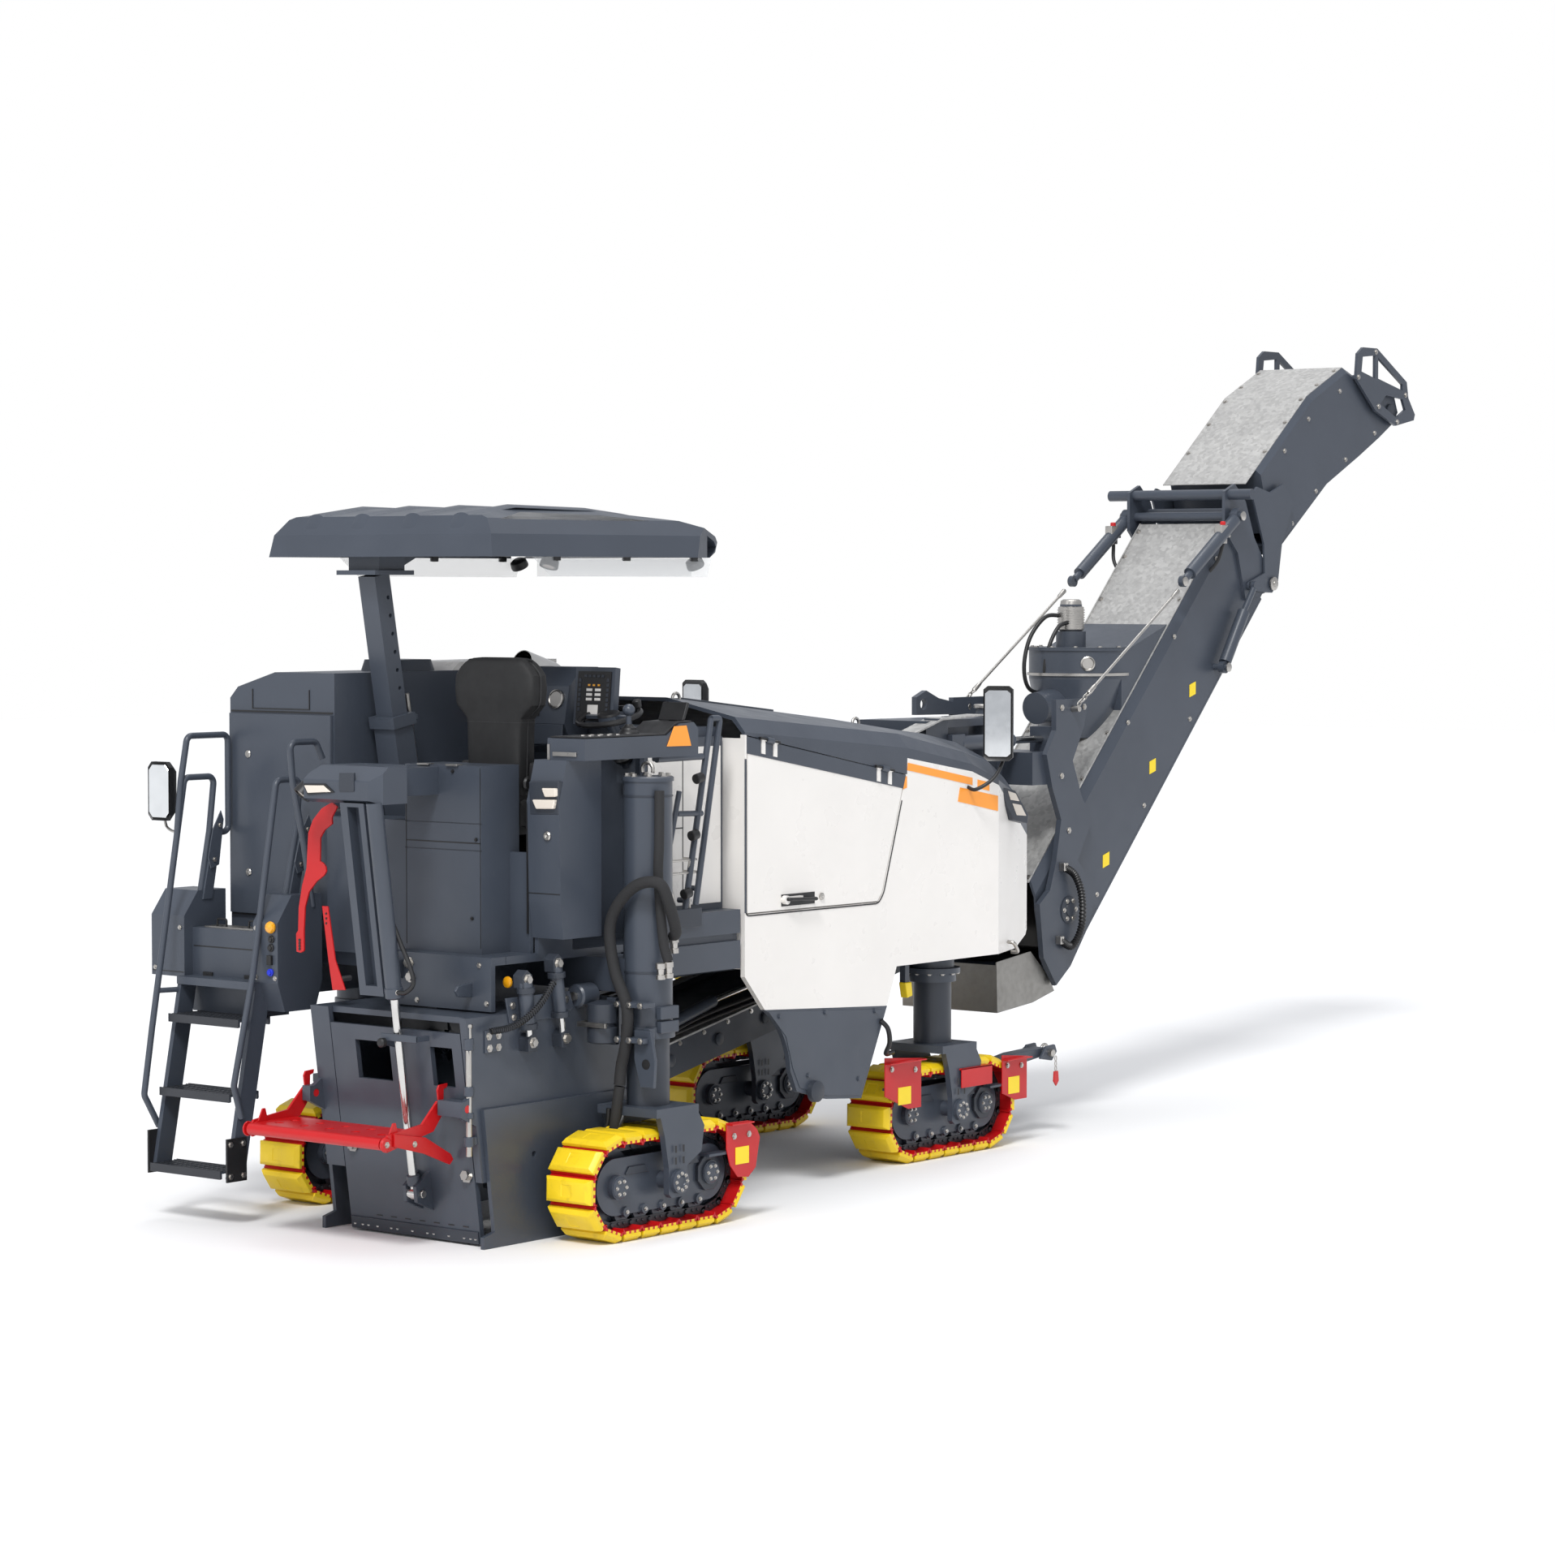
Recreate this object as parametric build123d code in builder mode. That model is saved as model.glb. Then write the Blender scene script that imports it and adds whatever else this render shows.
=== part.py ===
"""Cold planer with a front discharge conveyor, on four steered tracks.

Millimetres.  +X runs forward to the discharge conveyor, +Y to the left, +Z up.
Every piece is drawn in the machine frame: X is measured from the rear end of the
rear tracks, Y from the middle of the conveyor and Z from the ground.  The export
moves all of them together, so the origin ends under the middle of the machine.
"""
from build123d import *
import math
import os

# ---------------------------------------------------------------- origin
ORIGIN_X = 4487.5
ORIGIN_Y = -98.0

# ---------------------------------------------------------------- tracks
TRACK_HEIGHT = 550.0
TRACK_LENGTH = 1265.0
SHOE_WIDTH = 300.0
SHOE_COUNT = 21
PAD_THICKNESS = 42.0
PAD_GAP = 12.0
SHOE_PLATE = 14.0
LINK_HEIGHT = 24.0
TRACK_END_RADIUS = TRACK_HEIGHT / 2
TRACK_STRAIGHT = TRACK_LENGTH - TRACK_HEIGHT
PLATE_RADIUS = TRACK_END_RADIUS - PAD_THICKNESS
RING_RADIUS = PLATE_RADIUS - SHOE_PLATE - LINK_HEIGHT
TRACK_Z = TRACK_END_RADIUS
RUN_GAP = 0.3
ROLLER_RADIUS = 52.0
ROLLER_COUNT = 5
WHEEL_WIDTH = 70.0
FRAME_PLATE = 16.0
FRAME_PLATE_Y = 82.0

# ---------------------------------------------------------------- legs
REAR_X = TRACK_LENGTH / 2
FRONT_X = 3805.0
FRONT_Y = 728.0
REAR_LEFT_Y = 768.0
REAR_RIGHT_Y = -1285.0
COLUMN_RADIUS = 126.0
ROD_RADIUS = 110.0
CHEEK_THICKNESS = 35.0
CHEEK_GAP = 14.0
YOKE_BOTTOM = TRACK_HEIGHT + 60.0
YOKE_THICKNESS = 45.0
YOKE_LENGTH = 330.0
YOKE_TOP = YOKE_BOTTOM + YOKE_THICKNESS
HUB_RADIUS = 62.0
AXLE_RADIUS = 45.0

# ---------------------------------------------------------------- milling drum
DRUM_X = 420.0
DRUM_Y = -470.0
DRUM_Z = 560.0
DRUM_BODY_RADIUS = 360.0
DRUM_RADIUS = 450.0
DRUM_WIDTH = 1000.0
SHAFT_RADIUS = 90.0
SHAFT_GAP = 0.05
PICK_ROWS = 18
PICKS_IN_ROW = 3
SIDE_GAP = 12.0
WALL = 30.0
HOUSING_REAR = -240.0
HOUSING_FRONT = 1060.0
HOUSING_TOP = 1160.0
HOUSING_BOTTOM = 330.0
HOUSING_RIGHT = DRUM_Y - DRUM_WIDTH / 2 - SIDE_GAP
HOUSING_LEFT = DRUM_Y + DRUM_WIDTH / 2 + SIDE_GAP
LEAN = 8.0
SLIDE_GAP = 0.5
SCRAPER_THICKNESS = 30.0
SCRAPER_TOP = 1080.0
SCRAPER_RIGHT = -962.0
SCRAPER_LEFT = -62.0
SKID_THICKNESS = 24.0
SKID_TOP = 700.0

# ---------------------------------------------------------------- scraper cylinder
CYLINDER_Y = -610.0
BARREL_RADIUS = 42.0
ROD_END_RADIUS = 22.0
CYLINDER_BACK = 105.0
CYLINDER_TOP = 2215.0
BARREL_BOTTOM = 1250.0
ROD_EYE_Z = 250.0

# ---------------------------------------------------------------- folding step
STEP_PIN_X = -420.0
STEP_PIN_Z = 710.0
STEP_PIN_RADIUS = 20.0
STEP_EAR = 28.0
STEP_EARS = (HOUSING_RIGHT - WALL, HOUSING_LEFT + WALL - STEP_EAR)
STEP_REAR = -840.0
STEP_DEPTH = 330.0
STEP_RIGHT = -822.0
STEP_LEFT = 104.0
STEP_ARM = 14.0

# ---------------------------------------------------------------- frame
FRAME_Y = 560.0
FRAME_WEB = 60.0
FRAME_TOP = 1560.0
FRAME_REAR_TOP = 1400.0
FRAME_BOTTOM = 1180.0
FRAME_FRONT = 4540.0
CLAMP_BOTTOM = 1230.0
CLAMP_HALF = 180.0
OUTER_CLAMP_HALF = 110.0
TOW_X = 4800.0
TOW_Z = 1300.0
TOW_LUG_RADIUS = 70.0
TOW_HOLE_RADIUS = 30.0

# ---------------------------------------------------------------- machine body
SIDE_Y = 1000.0
SKIN = 30.0
BODY_REAR = 1760.0
NOSE_X = 4700.0
NOSE_Y = 760.0
CREASE_X = 4080.0
BELLY_Z = 1010.0
EDGE_REAR_Z = 2500.0
EDGE_FRONT_Z = 2235.0
EDGE_FRONT_X = 3200.0
HOOD_SHEET = 20.0
HOOD_BEVEL = 70.0
HOOD_FLAT = 450.0
VALLEY_X = 3800.0
VALLEY_HALF = 430.0
DOOR_GAP = 8.0
DOOR_THICKNESS = 22.0
HINGE_OUT = 10.0
HINGE_RADIUS = 9.0
HINGE_XS = (1960.0, 2980.0)
# x, half width, lower rim, crease, bevel top, roof
HOOD_STATIONS = [
    (1760.0, 1000.0, 2500.0, 2514.0, 2594.0, 2690.0),
    (3200.0, 1000.0, 2235.0, 2383.0, 2462.0, 2535.0),
    (3202.0, 1000.0, 2326.0, 2383.0, 2462.0, 2535.0),
    (3820.0, 1000.0, 2228.0, 2270.0, 2340.0, 2455.0),
    (4080.0, 1000.0, 2140.0, 2170.0, 2270.0, 2425.0),
    (4400.0, 876.0, 1974.0, 2085.0, 2165.0, 2365.0),
    (4700.0, 760.0, 1812.0, 1930.0, 1995.0, 2260.0),
]

# ---------------------------------------------------------------- operator stand
FLOOR_Z = 1440.0
STAND_TOP = 2390.0
CABINET_RIGHT = 320.0
CABINET_LEFT = 1100.0
CABINET_SIDE_TOP = 2700.0
CABINET_ROOF = 2840.0
CABINET_SKIN = 25.0
SEAT_Y = -615.0
DOOR_SILL = 1560.0
DOOR_HEAD = 2620.0
DOOR_LEFT = CABINET_LEFT - 12.0

# ---------------------------------------------------------------- access ladder
LADDER_FOOT_Z = 250.0
LADDER_TOP_Z = 1300.0
LADDER_TOP_X = -378.0
LADDER_LEAN = 0.2
LADDER_SIDES = (469.0, 1023.0)

# ---------------------------------------------------------------- canopy
CANOPY_LENGTH = 1990.0
CANOPY_WIDTH = 1600.0
CANOPY_BOTTOM = 3445.0
CANOPY_SHEET = 26.0
MAST_Y = 200.0
MAST_FOOT = (513.0, MAST_Y, FLOOR_Z)
MAST_HEAD = (175.0, MAST_Y, 3340.0)
MAST_WIDTH = 120.0
MAST_DEPTH = 110.0
MAST_TUBE = 15.0
MAST_COLLAR_Z = 2620.0

# ---------------------------------------------------------------- conveyors
LOAD_LOW = (1210.0, 470.0)
LOAD_HIGH = (4460.0, 1140.0)
LOAD_HALF = 400.0
LOAD_DEPTH = 190.0
BOOM_HALF = 360.0
BOOM_SHEET = 12.0
BOOM_BEVEL = 32.0
SLEW_X = 5300.0
SLEW_PIN_RADIUS = 45.0
NOSE_PLATE_LOW = 1930.0
NOSE_PLATE_HIGH = 2440.0
NOSE_PLATE = 45.0
TILT_X = 5640.0
TILT_Z = 1290.0
TILT_PIN_RADIUS = 40.0
ARM_INNER = BOOM_HALF + 14.0
ARM_OUTER = ARM_INNER + 36.0
BOOM_FOOT = (5570.0, 820.0)
BOOM_KNEE = (8060.0, 3360.0)
BOOM_DEPTH = 620.0
KNEE_PIN_X = 7990.0
KNEE_PIN_Z = 3300.0
KNEE_PIN_RADIUS = 30.0
KNEE_PLATE = 22.0
STAY_Y = 428.0
COVER_HALF = BOOM_HALF - BOOM_BEVEL - BOOM_SHEET
FAN_X = 6340.0
FAN_RADIUS = 320.0
HEAD_X = 9560.0
HEAD_Z = 4480.0
HEAD_RADIUS = 96.0
BELT = 12.0
UPPER_SOLE = [(8081.0, 3492.0), (8738.0, 3971.0), (9150.0, 4165.0), (9420.0, 4300.0)]
UPPER_TOP = [(9390.0, 4620.0), (8984.0, 4762.0), (8532.0, 4553.0), (7897.0, 4046.0)]
UPPER_SOLE_INNER = [(8060.0, 3545.0), (8712.0, 4015.0), (9128.0, 4211.0), (9440.0, 4322.0)]
UPPER_TOP_INNER = [(9440.0, 4568.0), (8978.0, 4716.0), (8556.0, 4510.0), (7925.0, 4005.0)]


def rear_x(z):
    """X of the leaning rear face of the drum housing at a height."""
    return HOUSING_REAR - z * math.tan(math.radians(LEAN))


def edge_z(x):
    """Height of the upper edge of the white side panels."""
    slope = (EDGE_REAR_Z - EDGE_FRONT_Z) / (EDGE_FRONT_X - BODY_REAR)
    return EDGE_REAR_Z - (x - BODY_REAR) * slope


def block(x_span, y_span, z_span, mode=Mode.ADD):
    """A box between three pairs of coordinates."""
    spans = (x_span, y_span, z_span)
    with Locations(tuple((low + high) / 2 for low, high in spans)):
        Box(*(high - low for low, high in spans), mode=mode)


def side_panel(points, y_span, mode=Mode.ADD):
    """A flat panel with its outline in X and Z, between two values of Y."""
    with BuildSketch(Plane.XZ.offset(-y_span[1])) as face:
        with BuildLine():
            Polyline(*points, close=True)
        make_face()
    extrude(face.sketch, amount=y_span[1] - y_span[0], mode=mode)


def floor_panel(points, z_span, mode=Mode.ADD):
    """A flat panel with its outline in X and Y, between two heights."""
    with BuildSketch(Plane.XY.offset(z_span[0])) as face:
        with BuildLine():
            Polyline(*points, close=True)
        make_face()
    extrude(face.sketch, amount=z_span[1] - z_span[0], mode=mode)


def end_panel(points, x_span, mode=Mode.ADD):
    """A flat panel with its outline in Y and Z, between two values of X."""
    with BuildSketch(Plane.YZ.offset(x_span[0])) as face:
        with BuildLine():
            Polyline(*points, close=True)
        make_face()
    extrude(face.sketch, amount=x_span[1] - x_span[0], mode=mode)


def cross_bar(x, z, radius, y_span, mode=Mode.ADD):
    """A round bar along Y."""
    with BuildSketch(Plane.XZ.offset(-y_span[1])) as face:
        with Locations((x, z)):
            Circle(radius)
    extrude(face.sketch, amount=y_span[1] - y_span[0], mode=mode)


def upright_bar(x, y, radius, z_span, mode=Mode.ADD):
    """A round bar along Z."""
    with BuildSketch(Plane.XY.offset(z_span[0])) as face:
        with Locations((x, y)):
            Circle(radius)
    extrude(face.sketch, amount=z_span[1] - z_span[0], mode=mode)


def bar_between(start, end, radius, mode=Mode.ADD):
    """A round bar from one point to another."""
    way = Vector(*end) - Vector(*start)
    with BuildSketch(Plane(origin=start, z_dir=way)) as face:
        Circle(radius)
    extrude(face.sketch, amount=way.length, mode=mode)


def box_bar(start, end, width, depth, mode=Mode.ADD):
    """A square bar from one point to another, with its width along Y."""
    way = Vector(*end) - Vector(*start)
    with BuildSketch(Plane(origin=start, x_dir=(0, 1, 0), z_dir=way)) as face:
        Rectangle(width, depth)
    extrude(face.sketch, amount=way.length, mode=mode)


def tube_rail(points, radius, bend):
    """A round rail along a route of straight runs with rounded bends."""
    with BuildLine() as route:
        FilletPolyline(*points, radius=bend)
    with BuildSketch(Plane(origin=route.line @ 0, z_dir=route.line % 0)) as face:
        Circle(radius)
    sweep(face.sketch, path=route.line)


def slot_hole(x, z, length, height, y_span):
    """A rounded slot cut through along Y."""
    with BuildSketch(Plane.XZ.offset(-y_span[1])) as face:
        with Locations((x, z)):
            SlotOverall(length, height)
    extrude(face.sketch, amount=y_span[1] - y_span[0], mode=Mode.SUBTRACT)


def mast_point(z):
    """The point of the leaning mast's axis at a height."""
    share = (z - MAST_FOOT[2]) / (MAST_HEAD[2] - MAST_FOOT[2])
    return (MAST_FOOT[0] + share * (MAST_HEAD[0] - MAST_FOOT[0]), MAST_Y, z)


def stadium_point(distance, radius, x_centre):
    """The point at a distance round the closed loop, read along the shoe plates."""
    arc = math.pi * PLATE_RADIUS
    half = TRACK_STRAIGHT / 2
    around = distance % (2 * TRACK_STRAIGHT + 2 * arc)
    if around < TRACK_STRAIGHT:
        return (x_centre - half + around, TRACK_Z + radius)
    around -= TRACK_STRAIGHT
    if around < arc:
        turn = math.pi / 2 - around / PLATE_RADIUS
        return (x_centre + half + radius * math.cos(turn), TRACK_Z + radius * math.sin(turn))
    around -= arc
    if around < TRACK_STRAIGHT:
        return (x_centre + half - around, TRACK_Z - radius)
    turn = -math.pi / 2 - (around - TRACK_STRAIGHT) / PLATE_RADIUS
    return (x_centre - half + radius * math.cos(turn), TRACK_Z + radius * math.sin(turn))


shapes = []


def keep(builder, name):
    """Names a finished piece and puts it on the list to export."""
    builder.part.label = name
    shapes.append((name, builder.part))


# ================================================================ legs
# name, x, y, top of the chrome rod, bottom and top of the outer column
LEGS = [
    ("rear_right", REAR_X, REAR_RIGHT_Y, 1900.0, 1000.0, 2310.0),
    ("rear_left", REAR_X, REAR_LEFT_Y, 1340.0, 1010.0, 1390.0),
    ("front_right", FRONT_X, -FRONT_Y, 1700.0, 1010.0, 1900.0),
    ("front_left", FRONT_X, FRONT_Y, 1700.0, 1010.0, 1900.0),
]
for name, leg_x, leg_y, rod_top, column_bottom, column_top in LEGS:
    shoe_low = leg_y - SHOE_WIDTH / 2
    shoe_high = leg_y + SHOE_WIDTH / 2
    perimeter = 2 * TRACK_STRAIGHT + 2 * math.pi * PLATE_RADIUS
    pitch = perimeter / SHOE_COUNT

    # The loop carries a raised pad on every shoe plate.
    outline = []
    for shoe in range(SHOE_COUNT):
        start = shoe * pitch + TRACK_STRAIGHT / 2
        for along, radius in (
            (PAD_GAP / 2, PLATE_RADIUS),
            (PAD_GAP, TRACK_END_RADIUS),
            (pitch - PAD_GAP, TRACK_END_RADIUS),
            (pitch - PAD_GAP / 2, PLATE_RADIUS),
        ):
            outline.append(stadium_point(start + along, radius, leg_x))
    with BuildPart() as track_loop:
        with BuildSketch(Plane.XZ.offset(-shoe_high)):
            with BuildLine():
                Polyline(*outline, close=True)
            make_face()
            with Locations((leg_x, TRACK_Z)):
                SlotCenterToCenter(TRACK_STRAIGHT, 2 * RING_RADIUS, mode=Mode.SUBTRACT)
        extrude(amount=SHOE_WIDTH)
    keep(track_loop, "track_loop_" + name)

    # Two frame plates hold the end wheels, the rollers and the axle of the yoke.
    with BuildPart() as leg_frame:
        for side in (-1, 1):
            middle = leg_y + side * FRAME_PLATE_Y
            with BuildSketch(Plane.XZ.offset(-(middle + FRAME_PLATE / 2))) as plate:
                with Locations((leg_x, TRACK_Z)):
                    SlotOverall(TRACK_STRAIGHT + 290.0, 290.0)
            extrude(plate.sketch, amount=FRAME_PLATE)
        for wheel_x in (leg_x - TRACK_STRAIGHT / 2, leg_x + TRACK_STRAIGHT / 2):
            wheel_span = (leg_y - WHEEL_WIDTH / 2, leg_y + WHEEL_WIDTH / 2)
            cross_bar(wheel_x, TRACK_Z, RING_RADIUS - RUN_GAP, wheel_span)
            cross_bar(wheel_x, TRACK_Z, 62.0, (leg_y - FRAME_PLATE_Y - 40, leg_y + FRAME_PLATE_Y + 40))
        for roller in range(ROLLER_COUNT):
            roller_x = leg_x + (roller - (ROLLER_COUNT - 1) / 2) * TRACK_STRAIGHT / ROLLER_COUNT
            roller_z = TRACK_Z - RING_RADIUS + RUN_GAP + ROLLER_RADIUS
            cross_bar(roller_x, roller_z, ROLLER_RADIUS, (leg_y - 66.0, leg_y + 66.0))
            cross_bar(roller_x, roller_z, 22.0, (leg_y - FRAME_PLATE_Y, leg_y + FRAME_PLATE_Y))
        cross_bar(leg_x, TRACK_Z, AXLE_RADIUS, (shoe_low - CHEEK_GAP - 4, shoe_high + CHEEK_GAP + 4))
        # The yoke straddles the track and ends in bolted hub plates.
        cheek = [
            (leg_x - YOKE_LENGTH / 2 + 30, YOKE_BOTTOM),
            (leg_x + YOKE_LENGTH / 2, YOKE_BOTTOM),
            (leg_x + YOKE_LENGTH / 2 + 45, YOKE_BOTTOM - 70),
            (leg_x + YOKE_LENGTH / 2 + 20, TRACK_Z + 135),
            (leg_x + 72, TRACK_Z + 75),
            (leg_x + 72, TRACK_Z - 60),
            (leg_x + 50, TRACK_Z - 80),
            (leg_x - 50, TRACK_Z - 80),
            (leg_x - 72, TRACK_Z - 60),
            (leg_x - 72, TRACK_Z + 75),
            (leg_x - 105, YOKE_BOTTOM - 90),
        ]
        outer_low = shoe_low - CHEEK_GAP - CHEEK_THICKNESS
        outer_high = shoe_high + CHEEK_GAP + CHEEK_THICKNESS
        side_panel(cheek, (outer_low, shoe_low - CHEEK_GAP))
        side_panel(cheek, (shoe_high + CHEEK_GAP, outer_high))
        for low, high in ((outer_low - 12, outer_low), (outer_high, outer_high + 12)):
            cross_bar(leg_x, TRACK_Z, HUB_RADIUS, (low, high))
        bridge = (leg_x - YOKE_LENGTH / 2, leg_x + YOKE_LENGTH / 2)
        block(bridge, (outer_low, outer_high), (YOKE_BOTTOM, YOKE_TOP))
    keep(leg_frame, "leg_frame_" + name)

    with BuildPart() as lift_rod:
        upright_bar(leg_x, leg_y, ROD_RADIUS, (YOKE_TOP, rod_top))
    keep(lift_rod, "lift_rod_" + name)

# ================================================================ main frame
with BuildPart() as main_frame:
    web = [
        (HOUSING_REAR + 80, HOUSING_TOP),
        (1500.0, HOUSING_TOP),
        (1800.0, FRAME_BOTTOM),
        (FRAME_FRONT, FRAME_BOTTOM),
        (FRAME_FRONT, FRAME_TOP),
        (BODY_REAR + 60, FRAME_TOP),
        (BODY_REAR, FRAME_REAR_TOP),
        (HOUSING_REAR + 80, FRAME_REAR_TOP),
    ]
    for side in (-1, 1):
        low, high = sorted((side * FRAME_Y, side * (FRAME_Y - FRAME_WEB)))
        side_panel(web, (low, high))
        # Tow lug at the front end of either rail.
        with BuildSketch(Plane.XZ.offset(-high)) as lug:
            with Locations((TOW_X, TOW_Z)):
                Circle(TOW_LUG_RADIUS)
            with Locations(((TOW_X + FRAME_FRONT) / 2 - 40, TOW_Z)):
                Rectangle(TOW_X - FRAME_FRONT + 80, 2 * TOW_LUG_RADIUS)
            with Locations((TOW_X, TOW_Z)):
                Circle(TOW_HOLE_RADIUS, mode=Mode.SUBTRACT)
        extrude(lug.sketch, amount=FRAME_WEB)
    for start, end, top in (
        (20.0, 120.0, FRAME_REAR_TOP),
        (1500.0, 1600.0, FRAME_REAR_TOP),
        (3560.0, 3660.0, FRAME_TOP),
        (4380.0, 4480.0, FRAME_TOP),
    ):
        block((start, end), (-FRAME_Y + FRAME_WEB, FRAME_Y - FRAME_WEB), (top - 80, top))
    # Clamps carry the outer columns of the legs.
    for name, leg_x, leg_y, rod_top, column_bottom, column_top in LEGS:
        side = 1 if leg_y > 0 else -1
        top = FRAME_REAR_TOP if leg_x == REAR_X else FRAME_TOP
        half = OUTER_CLAMP_HALF if leg_y == REAR_RIGHT_Y else CLAMP_HALF
        reach = leg_y if leg_y == REAR_RIGHT_Y else leg_y + side * (COLUMN_RADIUS + 24)
        block((leg_x - half, leg_x + half), tuple(sorted((side * FRAME_Y, reach))), (CLAMP_BOTTOM, top))
    for name, leg_x, leg_y, rod_top, column_bottom, column_top in LEGS:
        upright_bar(leg_x, leg_y, COLUMN_RADIUS, (column_bottom, column_top))
    for name, leg_x, leg_y, rod_top, column_bottom, column_top in LEGS:
        upright_bar(leg_x, leg_y, COLUMN_RADIUS + 12, (column_bottom, column_bottom + 60))
        bore_span = (column_bottom - 1, column_top - 30)
        upright_bar(leg_x, leg_y, ROD_RADIUS + SLIDE_GAP, bore_span, mode=Mode.SUBTRACT)
    # Closing plate with its flange under the rear edge of the floor.
    block((-190.0, -160.0), (-960.0, -250.0), (1170.0, FLOOR_Z))
    block((-190.0, -84.0), (-960.0, -250.0), (FRAME_REAR_TOP, FLOOR_Z))
    # Post and two nose plates take the slewing pin of the discharge conveyor.
    block((4380.0, 4600.0), (-250.0, 250.0), (FRAME_TOP - 80, NOSE_PLATE_HIGH + NOSE_PLATE))
    block((4410.0, 4570.0), (-220.0, 220.0), (FRAME_TOP, NOSE_PLATE_HIGH), mode=Mode.SUBTRACT)
    for low in (NOSE_PLATE_LOW, NOSE_PLATE_HIGH):
        floor_panel(
            [
                (4590.0, -240.0),
                (4900.0, -190.0),
                (SLEW_X, -110.0),
                (SLEW_X, 110.0),
                (4900.0, 190.0),
                (4590.0, 240.0),
            ],
            (low, low + NOSE_PLATE),
        )
        upright_bar(SLEW_X, 0.0, 110.0, (low, low + NOSE_PLATE))
        pin_hole = (low, low + NOSE_PLATE)
        upright_bar(SLEW_X, 0.0, SLEW_PIN_RADIUS + SLIDE_GAP, pin_hole, mode=Mode.SUBTRACT)
    for low in (-150.0, 130.0):
        block((4600.0, 4940.0), (low, low + 20.0), (NOSE_PLATE_LOW + NOSE_PLATE, NOSE_PLATE_HIGH))
keep(main_frame, "main_frame")

# ================================================================ milling drum
with BuildPart() as milling_drum:
    drum_span = (DRUM_Y - DRUM_WIDTH / 2 + 20, DRUM_Y + DRUM_WIDTH / 2 - 20)
    cross_bar(DRUM_X, DRUM_Z, DRUM_BODY_RADIUS, drum_span)
    cross_bar(DRUM_X, DRUM_Z, SHAFT_RADIUS - SHAFT_GAP, (HOUSING_RIGHT - WALL, HOUSING_LEFT + WALL))
    # Tool holders wind round the drum from both ends to the middle.
    for row in range(PICK_ROWS):
        share = (row + 0.5) / PICK_ROWS
        pick_y = DRUM_Y + (share - 0.5) * (DRUM_WIDTH - 50)
        for start in range(PICKS_IN_ROW):
            angle = 360.0 * start / PICKS_IN_ROW + 300.0 * abs(share - 0.5) * 2
            with Locations(Location((DRUM_X, pick_y, DRUM_Z), (0, angle, 0))):
                with Locations((DRUM_BODY_RADIUS + 12.0, 0, 0)):
                    Box(60.0, 34.0, 70.0)
                with Locations(Location((DRUM_BODY_RADIUS + 56.0, 0, 20.0), (0, 62, 0))):
                    Cone(13.0, 4.0, 78.0)
keep(milling_drum, "milling_drum")

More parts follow.
